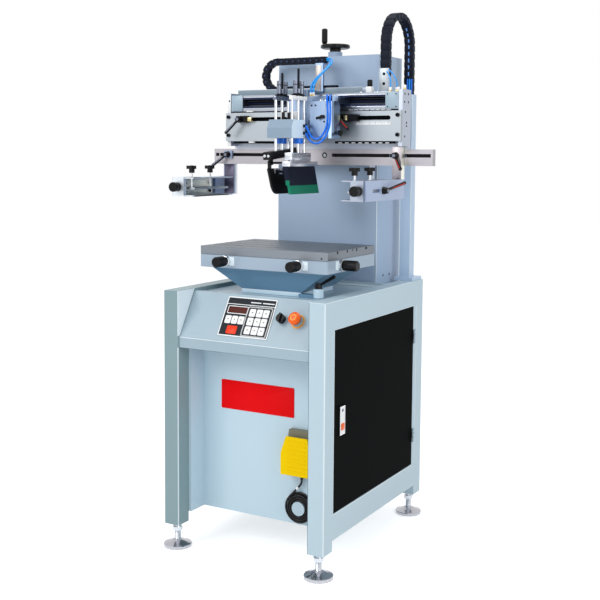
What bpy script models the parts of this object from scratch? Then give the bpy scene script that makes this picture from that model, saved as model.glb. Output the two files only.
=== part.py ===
"""Flat-bed screen printing press on a cabinet, built from named sub-parts.

Metres, +Z up, X to the operator's right, Y to the back. The origin is the centre of the cabinet's
footprint on the floor. Each sub-part is one object, and a moving piece has its origin on its axis.
"""

import math

import bmesh
import bpy
from mathutils import Matrix, Vector

# Fits and cuts
SEAT_GAP = 0.0003
RUN_GAP = 0.0005
OVERRUN = 0.004
WELD_IN = 0.002
STEP_IN = 0.0003

# Facets of round pieces
ROD_SIDES = 12
PIN_SIDES = 8
BORE_SIDES = 16
TURN_STEPS = 16
WHEEL_STEPS = 24
LEVER_STEPS = 8
ARC_STEPS = 5
CORNER_STEPS = 3
SMOOTH_ANGLE = math.radians(35)
MERGE_DISTANCE = 0.00001

# Cabinet: two box-section side frames with a recessed front between them
CABINET_HALF_WIDTH = 0.256
CABINET_HALF_DEPTH = 0.320
CABINET_TOP = 0.737
FRAME_THICK = 0.048
LEG_BOTTOM = 0.068
LEG_DEPTH = 0.050
SKIRT_BOTTOM = 0.097
FRAME_EDGE = 0.002
SIDE_SHEET = 0.0025
DOORWAY_FRONT = -0.267
DOORWAY_BACK = 0.252
DOORWAY_BOTTOM = 0.169
DOORWAY_TOP = 0.661
INNER_HALF_WIDTH = CABINET_HALF_WIDTH - FRAME_THICK - SEAT_GAP
PANEL_SHEET = 0.003
FRONT_FACE_Y = -0.204
CHEEK_FRONT_Y = -0.270
CHEEK_THICK = 0.008
DECK_BOTTOM = 0.719
DECK_TOP = 0.725
DECK_BAR_Y = 0.143
DECK_BAR_DEPTH = 0.007
DECK_BAR_HEIGHT = 0.006
DECK_POST_WIDTH = 0.018

# Levelling feet
FOOT_X = 0.229
FOOT_Y = 0.295
FOOT_DISC_RADIUS = 0.040
FOOT_RIM_HEIGHT = 0.005
FOOT_STEP_RADIUS = 0.024
FOOT_STEP_HEIGHT = 0.0115
FOOT_NECK_HEIGHT = 0.016
FOOT_STEM_RADIUS = 0.008
FOOT_NUT_RADIUS = 0.014
FOOT_NUT_BOTTOM = 0.0475
FOOT_NUT_TOP = 0.0575

# Side door with its butt hinges and strip latch
DOOR_GAP = 0.001
DOOR_THICK = 0.018
DOOR_SHEET = 0.002
DOOR_EDGE = 0.0012
HINGE_RADIUS = 0.004
HINGE_PROUD = 0.0042
HINGE_LEAF_WIDTH = 0.016
HINGE_LEAF_THICK = 0.0015
HINGE_PIN_RADIUS = 0.0017
HINGE_KNUCKLE = 0.014
HINGE_HEIGHTS = (0.262, 0.568)
LATCH_FRONT_Y = -0.2395
LATCH_BACK_Y = -0.2105
LATCH_BOTTOM = 0.375
LATCH_PIVOT_Z = 0.4508
LATCH_HEAD = 0.0013
LATCH_THICK = 0.0035
LATCH_STANDOFF = 0.0012
LATCH_PLATE_THICK = 0.0004
LATCH_PLATE_MARGIN = 0.0045
LATCH_EAR_THICK = 0.0012
LATCH_EAR_REACH = 0.005
LATCH_PIN_RADIUS = 0.0012

# Console between the side frames
CONSOLE_FRONT_Y = -0.315
CONSOLE_BACK_Y = -0.225
CONSOLE_BOTTOM = 0.579
CONSOLE_NOSE_Z = 0.608
CONSOLE_SHOULDER_Z = 0.730
CONSOLE_SHOULDER_Y = -0.240
CONSOLE_SHEET = 0.003
SLOPE_START_Y = -0.312
SLOPE_START_Z = 0.611
KEYPAD_LEFT = -0.0865
KEYPAD_RIGHT = 0.0715
KEYPAD_LOW = 0.014
KEYPAD_HIGH = 0.1305
KEYPAD_PROUD = 0.0015
CONTROL_UP = 0.0755
SELECTOR_X = 0.1017
SELECTOR_RADIUS = 0.0125
SELECTOR_COLLAR_RADIUS = 0.0155
SELECTOR_COLLAR = 0.004
SELECTOR_BODY = 0.0135
SELECTOR_RIDGE_WIDTH = 0.006
SELECTOR_RIDGE_HEIGHT = 0.006
SELECTOR_SHAFT_RADIUS = 0.003
SELECTOR_SHAFT_DEPTH = 0.010
ESTOP_X = 0.149
ESTOP_RING_RADIUS = 0.016
ESTOP_RING = 0.010
ESTOP_HEAD_RADIUS = 0.0175
ESTOP_HEAD_BOTTOM = 0.018
ESTOP_HEAD = 0.012
ESTOP_STEM_RADIUS = 0.010
ESTOP_STEM_START = 0.0065
ESTOP_CROWN_SHARE = 0.6

# Column, chain post and lift screw
COLUMN_HALF_WIDTH = 0.172
COLUMN_FRONT_Y = 0.157
COLUMN_BACK_Y = 0.330
COLUMN_TOP = 1.413
COLUMN_WALL = 0.004
COLUMN_CAP = 0.008
COLUMN_CORNER = 0.008
COLUMN_SLOT_HALF = 0.026
COLUMN_SLOT_BOTTOM = 1.150
COLUMN_SLOT_TOP = 1.255
LIFT_SCREW_Y = 0.210
LIFT_SCREW_RADIUS = 0.007
LIFT_SCREW_END = 1.160
BEARING_RADIUS = 0.022
BEARING_HEIGHT = 0.017
POST_X = 0.218
POST_HALF_WIDTH = 0.018
POST_Y = 0.277
POST_HALF_DEPTH = 0.015
POST_WALL = 0.0025
POST_TOP = 1.300
POST_FLANGE_X = (0.192, 0.252)
POST_FLANGE_Y = (0.245, 0.315)
POST_FLANGE = 0.010

# Handwheel
WHEEL_RADIUS = 0.045
WHEEL_RIM = 0.009
WHEEL_RIM_HEIGHT = 0.012
WHEEL_WEB = 0.005
WHEEL_HUB_RADIUS = 0.017
WHEEL_HUB_HEIGHT = 0.022
GRIP_X = -0.031
GRIP_Y = -0.012
GRIP_RADIUS = 0.009
GRIP_NECK_RADIUS = 0.0065
GRIP_LENGTH = 0.049
GRIP_BOSS_RADIUS = 0.0078
GRIP_ROUND = 0.003

# Worktable
PEDESTAL_HALF_WIDTH = 0.097
PEDESTAL_Y = (-0.165, 0.025)
PEDESTAL_FLANGE = 0.0117
PEDESTAL_TOP_HALF_WIDTH = 0.185
PEDESTAL_TOP_Y = (-0.190, 0.050)
PEDESTAL_TOP = 0.797
TABLE_HALF_WIDTH = 0.205
TABLE_Y = (-0.215, 0.075)
BLOCK_HEIGHT = 0.0357
POCKET_HALF_WIDTH = 0.130
POCKET_Y = (-0.190, 0.050)
POCKET_DEPTH = 0.022
TABLE_THICK = 0.0237
TABLE_EDGE = 0.001
GROOVE_COUNT = 4
GROOVE_SPACING = 0.058
GROOVE_WIDTH = 0.008
GROOVE_DEPTH = 0.008
GROOVE_FIRST_Y = -0.157
SLIDE_HALF_WIDTH = 0.095
SLIDE_Y = (-0.165, 0.025)
SLIDE_FLANGE_HALF_WIDTH = 0.126
SLIDE_FLANGE_DEPTH = 0.015
SLIDE_LUG_X = (0.1065, 0.1115)
SLIDE_LUG_Y = (-0.140, -0.110)
SLIDE_LUG_DROP = 0.018
ADJUSTER_Z = 0.8175
FRONT_ADJUSTER_X = 0.118
SIDE_ADJUSTER_Y = -0.140
ADJUSTER_COLLAR_RADIUS = 0.015
ADJUSTER_COLLAR = 0.010
ADJUSTER_RADIUS = 0.0145
ADJUSTER_GROOVE_RADIUS = 0.0128
ADJUSTER_GROOVE = 0.002
ADJUSTER_GROOVE_COUNT = 1
ADJUSTER_GROOVE_PITCH = 0.006
ADJUSTER_LENGTH = 0.043
ADJUSTER_ROUND = 0.0025
SPINDLE_RADIUS = 0.005
FRONT_SPINDLE_LENGTH = 0.062
SIDE_SPINDLE_LENGTH = 0.078
LOCK_X = 0.1515
LOCK_Y = -0.165
LOCK_BOSS_RADIUS = 0.014
LOCK_BOSS_TOP = 0.752
LOCK_LUG_HALF = 0.011
LOCK_TIP = (0.200, -0.160, 0.789)

# Clamping levers
LEVER_HUB_RADIUS = 0.0105
LEVER_HUB_TOP_RADIUS = 0.008
LEVER_HUB_LENGTH = 0.0145
LEVER_NECK_RADIUS = 0.0035
LEVER_GRIP_RADIUS = 0.0052
LEVER_END_SHARE = 0.55
LEVER_ROUND = 0.003

# Lift saddle on the column's front
SADDLE_HALF_WIDTH = 0.100
SADDLE_THICK = 0.0155
SADDLE_Z = (1.120, 1.300)
RAIL_X = 0.070
RAIL_HALF_WIDTH = 0.0075
RAIL_HEIGHT = 0.0145
NUT_ARM_HALF = 0.020
NUT_ARM_BACK_Y = 0.235
NUT_ARM_Z = (1.190, 1.215)
NUT_CLEARANCE = 0.0006

# Head frame
HEAD_HALF_WIDTH = 0.294
HEAD_BACK_Y = 0.118
HEAD_BACK_THICK = 0.010
HEAD_TOP = 1.300
SIDE_PLATE_THICK = 0.012
SIDE_PLATE_FRONT_Y = 0.0588
SIDE_PLATE_TOP = 1.303
SIDE_PLATE_LOW = 1.1425
LOWER_BAR_TOP = 1.152
BEARING_BLOCK_HALF = 0.022
BEARING_BLOCK_BACK_Y = 0.1385
BEARING_BLOCK_Z = (1.245, 1.295)
TRAY_X = (-0.280, 0.150)
TRAY_Y = (0.0965, 0.126)
TRAY_SHEET = 0.0025
TRAY_LIP_THICK = 0.002
TRAY_LIP_TOP = 1.315
CHAIN_BRACKET_TOP = 1.366
CHAIN_BRACKET_SHEET = 0.004
STOP_ROD_X = 0.165
STOP_ROD_Y = 0.1325
STOP_ROD_RADIUS = 0.009
STOP_ROD_Z = (1.020, 1.160)
STOP_BLOCK_HALF = 0.012
STOP_BLOCK_Z = (1.145, 1.175)

# Front plate, belt module and screen beam
FRONT_PLATE_THICK = 0.0095
FRONT_PLATE_Z = (1.157, 1.243)
PLATE_SLOT_X = (0.075, 0.262)
PLATE_SLOT_Z = 1.223
PLATE_SLOT_HALF = 0.006
MODULE_HALF_LENGTH = 0.281
MODULE_FRONT_Y = 0.0605
MODULE_Z = (1.2475, 1.296)
MODULE_END = 0.041
MODULE_RECESS = 0.002
MODULE_SLOT_Z = (1.262, 1.284)
MODULE_SLOT_DEPTH = 0.0295
BEAM_HALF_LENGTH = 0.371
BEAM_Y = (0.100, 0.120)
BEAM_HEIGHT = 0.047
BEAM_TOP = 1.134
BEAM_SLOT_X = (0.050, 0.365)
BEAM_SLOT_Z = 1.116
BEAM_SLOT_HALF = 0.005
BEAM_HOLE_X = 0.025
BEAM_HOLE_RADIUS = 0.0045
BEAM_SINK_RADIUS = 0.0085
BEAM_SINK_DEPTH = 0.006

# Travel stops on the front plate
STOP_LEFT_X = (-0.245, -0.210)
STOP_RIGHT_X = (0.090, 0.165)
STOP_BODY_Z = (1.213, 1.233)
STOP_BODY_FRONT_Y = 0.030
STOP_STEM_RADIUS = 0.004
STOP_NUT_HALF = 0.007
STOP_NUT_THICK = 0.005
STOP_LEFT_HUB_X = -0.232
STOP_RIGHT_HUB_X = 0.110
STOP_LEFT_TIP = (-0.275, 1.180)
STOP_RIGHT_TIP = (0.147, 1.190)
STOP_HUB_Z = 1.223

# Carriage
CARRIAGE_X = (-0.045, 0.122)
CARRIAGE_Y = (-0.003, 0.009)
CARRIAGE_Z = (1.163, 1.285)
TONGUE_X = (-0.044, 0.115)
TONGUE_BACK_Y = 0.085
TONGUE_CLEARANCE = 0.0015
STRIP_X = (-0.001, 0.024)
STRIP_TOP = 1.3035
STRIP_ARM = 0.006
CHAIN_PLATE_Y = (0.0865, 0.0945)
CHAIN_SHELF = 0.0035
COVER_X = (0.036, 0.1215)
COVER_FRONT_Y = -0.045
COVER_TOP = 1.268
COVER_CORNER = 0.018
REAR_BLOCK_X = (-0.037, 0.035)
REAR_BLOCK_FRONT_Y = -0.0547
REAR_BLOCK_Z = (1.175, 1.205)
TOOL_BOX_X = (-0.036, 0.044)
TOOL_BOX_Y = (-0.131, -0.055)
TOOL_BOX_Z = (1.163, 1.215)
TOOL_BOX_CREASE_Z = 1.1915
TOOL_BOX_LEAN = 0.011
CYLINDER_RADIUS = 0.014
CYLINDER_BOTTOM = 1.148

# Rods that carry the two tools
FLOOD_X = -0.023
SQUEEGEE_X = 0.030
ROD_RADIUS = 0.004
FRONT_ROD_Y = -0.105
REAR_ROD_Y = -0.035
CENTRE_ROD_Y = -0.070
ROD_BOTTOM = 1.113
CROSSHEAD_HALF = 0.0055
CROSSHEAD_END = 0.008
CROSSHEAD_Z = (1.2705, 1.282)
FLANKER_OFFSET = 0.020
FLANKER_RADIUS = 0.0045
FLANKER_TOP = 1.325
STROKE_RADIUS = 0.003
SQUEEGEE_STROKE_TOP = 1.359
FLOOD_STROKE_TOP = 1.348
STROKE_NUT_RADIUS = 0.0075
STROKE_NUT_Z = (1.290, 1.302)

# Squeegee
CARRIER_X = (0.018, 0.042)
CARRIER_Y = (-0.125, -0.015)
CARRIER_Z = (1.1005, 1.122)
TILT_X = 0.038
TILT_Z = 1.0935
TILT_PIN_RADIUS = 0.004
TILT_BORE_RADIUS = 0.0048
TILT_WEB = 0.003
BLADE_Y = (-0.150, 0.010)
HOLDER_BAR_X = (0.0255, 0.050)
HOLDER_BAR_Z = (1.0865, 1.097)
HOLDER_SKIRT_THICK = 0.014
HOLDER_FOOT_X = 0.0507
HOLDER_FOOT_Z = 1.031
RUBBER_BOTTOM_X = 0.0557
RUBBER_BOTTOM_Z = 1.0065
RUBBER_THICK = 0.009

# Flood bar
FLOOD_CARRIER_X = (-0.038, -0.012)
FLOOD_CARRIER_LENGTH = 0.165
FLOOD_CARRIER_Y = -0.0675
FLOOD_CARRIER_Z = 1.120
FLOOD_CARRIER_HEIGHT = 0.022
FLOOD_CARRIER_TILT = math.radians(5.7)
FLOOD_PIVOT_X = -0.025
FLOOD_PIVOT_Z = 1.093
FLOOD_LUG_Y = (-0.128, -0.018)
FLOOD_LUG_THICK = 0.006
FLOOD_LUG_HALF = 0.006
FLOOD_PIN_RADIUS = 0.003
FLOOD_PIN_BORE = 0.0035
FLOOD_EAR_THICK = 0.004
FLOOD_EAR_WIDTH = 0.012
FLOOD_EAR_FRONT = 0.0045
FLOOD_BLADE_THICK = 0.006
FLOOD_BLADE_TOP_X = -0.019
FLOOD_BLADE_TOP_Z = 1.078
FLOOD_BLADE_FOOT_X = -0.0018
FLOOD_BLADE_BOTTOM = 1.007
FLOOD_BLADE_CORNER = 0.022

# Drag chains
CARRIAGE_CHAIN_PITCH = 0.020
CARRIAGE_CHAIN_HALF = 0.010
CARRIAGE_CHAIN_WIDTH = 0.020
CARRIAGE_CHAIN_Y = 0.110
CARRIAGE_CHAIN_RADIUS = 0.0425
CARRIAGE_CHAIN_ARC_X = -0.1437
CARRIAGE_CHAIN_END_X = 0.060
LIFT_CHAIN_PITCH = 0.024
LIFT_CHAIN_HALF = 0.008
LIFT_CHAIN_WIDTH = 0.029
LIFT_CHAIN_START_Z = 1.345
LIFT_CHAIN_ARC_Z = 1.4413
LIFT_CHAIN_END_Z = 1.262
CHAIN_WALL = 0.0022
CHAIN_SIDE = 0.0022
LINK_NOTCH = 0.0022
LINK_NOTCH_DEPTH = 0.0013
LINK_WINDOW_SHARE = 0.34

# Air tube from the carriage chain to the tool box
AIR_TUBE_RADIUS = 0.0025
AIR_TUBE_ROUTE = (
    (0.0250, 0.104, 1.3960),
    (0.040, 0.100, 1.3950),
    (0.056, 0.080, 1.384),
    (0.058, 0.050, 1.366),
    (0.050, 0.022, 1.345),
    (0.040, 0.006, 1.326),
    (0.034, 0.003, 1.311),
    (0.034, 0.003, 1.2855),
)

# Screen clamps
CLAMP_Z = (0.992, 1.048)
CLAMP_FRONT_Y = -0.148
CLAMP_PLATE = 0.0055
CLAMP_SLOT_Y = (-0.110, -0.060)
CLAMP_SLOT_HALF = 0.0045
STUD_RADIUS = 0.004
RIGHT_PLATE_X = 0.285
RIGHT_PLATE_BACK_Y = 0.080
RIGHT_HANGER_X = 0.256
RIGHT_HANGER_DEPTH = 0.023
RIGHT_HANGER_TOP = 1.1412
RIGHT_STUD_X = 0.267
LEFT_PLATE_X = -0.3525
LEFT_HANGER_X = -0.311
LEFT_HANGER_DEPTH = 0.020
LEFT_HANGER_TOP = 1.130
LEFT_STUD_X = -0.317
KEEPER_HALF_WIDTH = 0.015
KEEPER_HALF_HEIGHT = 0.012
KEEPER_THICK = 0.0055
CHANNEL_WEB = 0.0045
CHANNEL_FLANGE = 0.0035
CHANNEL_DEPTH = 0.069
CHANNEL_BACK_Y = 0.062
CHANNEL_CAP_Y = (-0.155, -0.140)
CHANNEL_CAP_WIDTH = 0.039
CLAMP_BAR_Y = (-0.130, 0.050)
CLAMP_BAR_Z = (1.012, 1.018)
CLAMP_BAR_WIDTH = 0.040
CLAMP_BAR_SHIFT = 0.0037
CLAMP_SCREW_OFFSET = 0.0440
CLAMP_SCREW_YS = (-0.120, -0.025)
CLAMP_SCREW_RADIUS = 0.003
STAR_BOTTOM = 1.061
STAR_HUB = 0.0115
STAR_HUB_RADIUS = 0.0085
STAR_RADIUS = 0.016
STAR_LOBE_SHARE = 0.12
STAR_LOBES = 5
STAR_POINTS = 20
STAR_TOP = 0.010
END_KNOB_OFFSET = 0.017
END_KNOB_Z = 1.020
END_KNOB_RADIUS = 0.014
END_KNOB_WAIST_RADIUS = 0.0125
END_KNOB_LENGTH = 0.026
END_KNOB_ROUND = 0.002
RIGHT_LEVER_TIP = (0.293, 1.075)
LEFT_LEVER_TIP = (-0.363, 1.080)
SIDE_LEVER_Y = -0.043
SIDE_LEVER_Z = 1.020
SIDE_LEVER_TIP = (0.060, 1.040)
LEVER_LIFT = 0.006

# Foot switch hung on the front panel
PEDAL_X = 0.130
SWITCH_HALF_WIDTH = 0.0445
SWITCH_Y = (-0.222, -0.2043)
SWITCH_Z = (0.243, 0.366)
SWITCH_TOP_HALF = 0.036
PEDAL_HALF_WIDTH = 0.049
PEDAL_TOP_HALF_WIDTH = 0.033
PEDAL_Z = (0.245, 0.352)
PEDAL_TAPER_Z = 0.305
PEDAL_Y = (-0.245, -0.241)
PEDAL_SKIRT = 0.003
PEDAL_SKIRT_BACK_Y = -0.218
PEDAL_PIVOT_Y = -0.226
PEDAL_PIVOT_Z = 0.252
PEDAL_PIN_RADIUS = 0.003
PEDAL_RIBS = 8
PEDAL_RIB_HALF = 0.028
PEDAL_RIB = 0.0014
PEDAL_RIB_HEIGHT = 0.0035

# Foot switch lead, coiled on its hook
LEAD_RADIUS = 0.003
COIL_X = 0.123
COIL_Z = 0.146
COIL_FRONT_Y = -0.2151
COIL_BACK_Y = -0.2084
COIL_RADIUS = 0.042
COIL_STEP = 0.0067
COIL_TURNS = 3.5
COIL_POINTS = 24
COIL_ANGLE = math.radians(135)
LEAD_ROUTE = (
    (0.131, -0.2138, 0.2427),
    (0.131, -0.2138, 0.2365),
    (0.1310, -0.2139, 0.226),
    (0.1285, -0.2143, 0.216),
    (0.1205, -0.2149, 0.205),
)
PEG_RADIUS = 0.012
PEG_FLANGE_RADIUS = 0.020
PEG_FLANGE = 0.002
HOOK_HALF = 0.016
HOOK_SHEET = 0.0015
GLAND_HALF = 0.008
GLAND_LENGTH = 0.020

# Control box inside the cabinet
BOX_HALF_WIDTH = 0.130
BOX_Y = (0.020, 0.200)
BOX_HEIGHT = 0.300
BOX_LID = 0.004
BOX_LID_LAP = 0.006
BOX_GLAND_RADIUS = 0.010
BOX_GLAND_LENGTH = 0.018
BOX_GLAND_XS = (-0.080, -0.040, 0.040)
BOX_GLAND_Z = 0.150

# Colours, roughness and metallic value of each material
FINISHES = {
    "cabinet_paint": ((0.64, 0.74, 0.79), 0.35, 0.0),
    "column_paint": ((0.52, 0.62, 0.73), 0.35, 0.0),
    "door_black": ((0.015, 0.015, 0.017), 0.5, 0.0),
    "chrome": ((0.80, 0.81, 0.83), 0.10, 1.0),
    "aluminium": ((0.62, 0.62, 0.64), 0.35, 1.0),
    "steel": ((0.70, 0.71, 0.72), 0.22, 1.0),
    "black_plastic": ((0.02, 0.02, 0.022), 0.35, 0.0),
    "chain_black": ((0.035, 0.045, 0.06), 0.45, 0.0),
    "orange_plastic": ((0.90, 0.22, 0.02), 0.25, 0.0),
    "yellow_plastic": ((0.93, 0.70, 0.02), 0.40, 0.0),
    "grey_plastic": ((0.32, 0.32, 0.30), 0.50, 0.0),
    "blue_tube": ((0.02, 0.22, 0.80), 0.15, 0.0),
    "squeegee_rubber": ((0.02, 0.30, 0.18), 0.45, 0.0),
    "holder_navy": ((0.03, 0.03, 0.06), 0.40, 0.0),
    "rubber_black": ((0.02, 0.02, 0.02), 0.30, 0.0),
}

UP = Vector((0, 0, 1))
FORWARD = Vector((0, -1, 0))
RIGHT = Vector((1, 0, 0))
LEVEL = Matrix.Identity(4)


# Scene and materials

for leftover in list(bpy.data.objects):
    bpy.data.objects.remove(leftover, do_unlink=True)

PARTS = bpy.data.collections.new("screen_printing_press")
CUTTERS = bpy.data.collections.new("cutters")
bpy.context.scene.collection.children.link(PARTS)
bpy.context.scene.collection.children.link(CUTTERS)


def make_material(name):
    """Principled material with the piece's colour, roughness and metallic value."""
    colour, roughness, metallic = FINISHES[name]
    material = bpy.data.materials.new(name)
    material.use_nodes = True
    shader = material.node_tree.nodes["Principled BSDF"]
    shader.inputs["Base Color"].default_value = (*colour, 1)
    shader.inputs["Roughness"].default_value = roughness
    shader.inputs["Metallic"].default_value = metallic
    return material


MATERIALS = {name: make_material(name) for name in FINISHES}


# Shapes

def place(name, data, matrix=LEVEL):
    """Link an object to the parts collection at a place in the world."""
    piece = bpy.data.objects.new(name, data)
    piece.matrix_basis = matrix
    PARTS.objects.link(piece)
    return piece


def place_shape(name, shape, matrix):
    """Turn a bmesh into a smooth-shaded object with sharp edges kept sharp."""
    mesh = bpy.data.meshes.new(name)
    shape.to_mesh(mesh)
    shape.free()
    mesh.shade_smooth()
    mesh.set_sharp_from_angle(angle=SMOOTH_ANGLE)
    return place(name, mesh, matrix)


def box(name, x, y, z, frame=LEVEL):
    """Block between a low and a high value along each axis of a frame."""
    shape = bmesh.new()
    bmesh.ops.create_cube(shape, size=1)
    size = Vector([high - low for low, high in (x, y, z)])
    middle = Vector([(low + high) / 2 for low, high in (x, y, z)])
    bmesh.ops.scale(shape, vec=size, verts=shape.verts)
    return place_shape(name, shape, frame @ Matrix.Translation(middle))


def aim(direction):
    """Matrix that turns +Z to a direction."""
    return Vector(direction).to_track_quat("Z", "Y").to_matrix().to_4x4()


def rod(name, start, end, radius, sides=ROD_SIDES, end_radius=None):
    """Cylinder or cone between two points."""
    start, end = Vector(start), Vector(end)
    shape = bmesh.new()
    bmesh.ops.create_cone(
        shape, cap_ends=True, segments=sides, radius1=radius,
        radius2=radius if end_radius is None else end_radius, depth=(end - start).length,
    )
    return place_shape(name, shape, Matrix.Translation((start + end) / 2) @ aim(end - start))


def as_mesh(curve_piece):
    """Replace a curve object by a welded mesh object of the same name and place."""
    bpy.context.view_layer.update()
    depsgraph = bpy.context.evaluated_depsgraph_get()
    mesh = bpy.data.meshes.new_from_object(curve_piece.evaluated_get(depsgraph))
    shape = bmesh.new()
    shape.from_mesh(mesh)
    bmesh.ops.remove_doubles(shape, verts=shape.verts, dist=MERGE_DISTANCE)
    bpy.data.meshes.remove(mesh)
    name = curve_piece.name
    matrix = curve_piece.matrix_world.copy()
    curve = curve_piece.data
    bpy.data.objects.remove(curve_piece, do_unlink=True)
    bpy.data.curves.remove(curve)
    return place_shape(name, shape, matrix)


PLANES = {
    "XY": (LEVEL, 1),
    "XZ": (Matrix.Rotation(math.radians(90), 4, "X"), -1),
    "YZ": (Matrix(((0, 0, 1, 0), (1, 0, 0, 0), (0, 1, 0, 0), (0, 0, 0, 1))), 1),
}


def prism(name, outlines, plane, span, frame=LEVEL):
    """Flat outline, with any holes after it, thickened between two values square to its plane."""
    curve = bpy.data.curves.new(name, "CURVE")
    curve.dimensions = "2D"
    curve.fill_mode = "BOTH"
    curve.extrude = (span[1] - span[0]) / 2
    for outline in outlines:
        spline = curve.splines.new("POLY")
        spline.points.add(len(outline) - 1)
        for point, (across, along) in zip(spline.points, outline):
            point.co = (across, along, 0, 1)
        spline.use_cyclic_u = True
    turn, sign = PLANES[plane]
    middle = Matrix.Translation((0, 0, sign * (span[0] + span[1]) / 2))
    return as_mesh(place(name, curve, frame @ turn @ middle))


def ribbon(name, stations, plane, span):
    """Band through pairs of points on its two sides, thickened square to its plane."""
    turn, sign = PLANES[plane]
    shape = bmesh.new()
    rings = []
    for first, second in stations:
        ring = [(first, span[1]), (first, span[0]), (second, span[0]), (second, span[1])]
        rings.append([shape.verts.new((*point, sign * height)) for point, height in ring])
    shape.faces.new(rings[0])
    for ring, after in zip(rings, rings[1:]):
        for index in range(len(ring)):
            shape.faces.new((ring[index - 1], ring[index], after[index], after[index - 1]))
    shape.faces.new(rings[-1][::-1])
    bmesh.ops.recalc_face_normals(shape, faces=shape.faces)
    return place_shape(name, shape, turn)


def turned(name, profile, base, axis=UP, steps=TURN_STEPS):
    """Profile of radius and height, read from its top down the outer side, spun about an axis."""
    mesh = bpy.data.meshes.new(name)
    edges = [(index, index + 1) for index in range(len(profile) - 1)]
    mesh.from_pydata([(radius, 0, height) for radius, height in profile], edges, [])
    piece = place(name, mesh, Matrix.Translation(base) @ aim(axis))
    spin = piece.modifiers.new("spin", "SCREW")
    spin.steps = steps
    spin.render_steps = steps
    spin.use_merge_vertices = True
    spin.merge_threshold = MERGE_DISTANCE
    return piece


def tube(name, points, radius, resolution):
    """Round wire through points, with closed ends."""
    curve = bpy.data.curves.new(name, "CURVE")
    curve.dimensions = "3D"
    curve.bevel_depth = radius
    curve.bevel_resolution = resolution
    curve.use_fill_caps = True
    spline = curve.splines.new("POLY")
    spline.points.add(len(points) - 1)
    for point, place_on_route in zip(spline.points, points):
        point.co = (*place_on_route, 1)
    return as_mesh(place(name, curve))


def loop_cut(name, shapes):
    """Many closed shapes in one mesh, each given as size and matrix, for one cut."""
    shape = bmesh.new()
    for size, matrix in shapes:
        made = bmesh.ops.create_cube(shape, size=1)
        bmesh.ops.scale(shape, vec=size, verts=made["verts"])
        bmesh.ops.transform(shape, matrix=matrix, verts=made["verts"])
    return place_shape(name, shape, LEVEL)


def combine(piece, operation, tools):
    """Boolean with each tool in turn; the tools become cutters or guides."""
    for tool in tools:
        step = piece.modifiers.new(tool.name, "BOOLEAN")
        step.operation = operation
        step.object = tool
        PARTS.objects.unlink(tool)
        CUTTERS.objects.link(tool)
        tool.hide_render = True
        tool.display_type = "WIRE"


def cut(piece, *tools):
    """Take tools away from a piece."""
    combine(piece, "DIFFERENCE", tools)


def join(piece, *tools):
    """Weld tools to a piece."""
    combine(piece, "UNION", tools)


def bevel(piece, width, segments=1):
    """Round the edges of a piece."""
    step = piece.modifiers.new("edges", "BEVEL")
    step.width = width
    step.segments = segments
    step.limit_method = "ANGLE"


def finish(piece, material, origin=None):
    """Give a piece its material, and its origin where it turns or slides."""
    piece.data.materials.clear()
    piece.data.materials.append(MATERIALS[material])
    if origin is not None:
        shift = piece.matrix_basis.inverted() @ Vector(origin)
        piece.data.transform(Matrix.Translation(-shift))
        piece.matrix_basis = Matrix.Translation(Vector(origin)) @ (
            piece.matrix_basis.to_3x3().to_4x4()
        )
    return piece


# Outlines

def corners(x, y):
    """Four corners of a rectangle."""
    return [(x[0], y[0]), (x[1], y[0]), (x[1], y[1]), (x[0], y[1])]


def mirrored(span):
    """Low and high value of a span on the other side of the middle."""
    return (-span[1], -span[0])


def around(middle, half):
    """Low and high value at equal distances from a middle."""
    return (middle - half, middle + half)


def grown(span, margin):
    """Span with a margin added at both ends."""
    return (span[0] - margin, span[1] + margin)


def circle(centre, radius, steps=BORE_SIDES):
    """Points round a circle."""
    turn = math.tau / steps
    return [
        (centre[0] + radius * math.cos(step * turn), centre[1] + radius * math.sin(step * turn))
        for step in range(steps)
    ]


def stadium(x, middle, half):
    """Slot outline with round ends, along the first axis."""
    points = []
    for centre, start in ((x[1] - half, -math.pi / 2), (x[0] + half, math.pi / 2)):
        for step in range(ARC_STEPS + 1):
            angle = start + math.pi * step / ARC_STEPS
            points.append((centre + half * math.cos(angle), middle + half * math.sin(angle)))
    return points


def rounded(x, y, radius, steps=CORNER_STEPS):
    """Rectangle with round corners."""
    points = []
    quarter = math.pi / 2
    centres = (
        (x[1] - radius, y[1] - radius), (x[0] + radius, y[1] - radius),
        (x[0] + radius, y[0] + radius), (x[1] - radius, y[0] + radius),
    )
    for corner, (across, along) in enumerate(centres):
        for step in range(steps + 1):
            angle = quarter * (corner + step / steps)
            points.append((across + radius * math.cos(angle), along + radius * math.sin(angle)))
    return points


def inset(outline, distance):
    """Outline moved inwards by a distance; the points run anticlockwise."""
    count = len(outline)
    moved = []
    for index in range(count):
        before = Vector(outline[index - 1])
        here = Vector(outline[index])
        after = Vector(outline[(index + 1) % count])
        first = (here - before).normalized()
        second = (after - here).normalized()
        inward_first = Vector((-first.y, first.x))
        inward_second = Vector((-second.y, second.x))
        bisector = (inward_first + inward_second).normalized()
        moved.append(tuple(here + bisector * (distance / bisector.dot(inward_first))))
    return moved


# Cabinet

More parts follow.
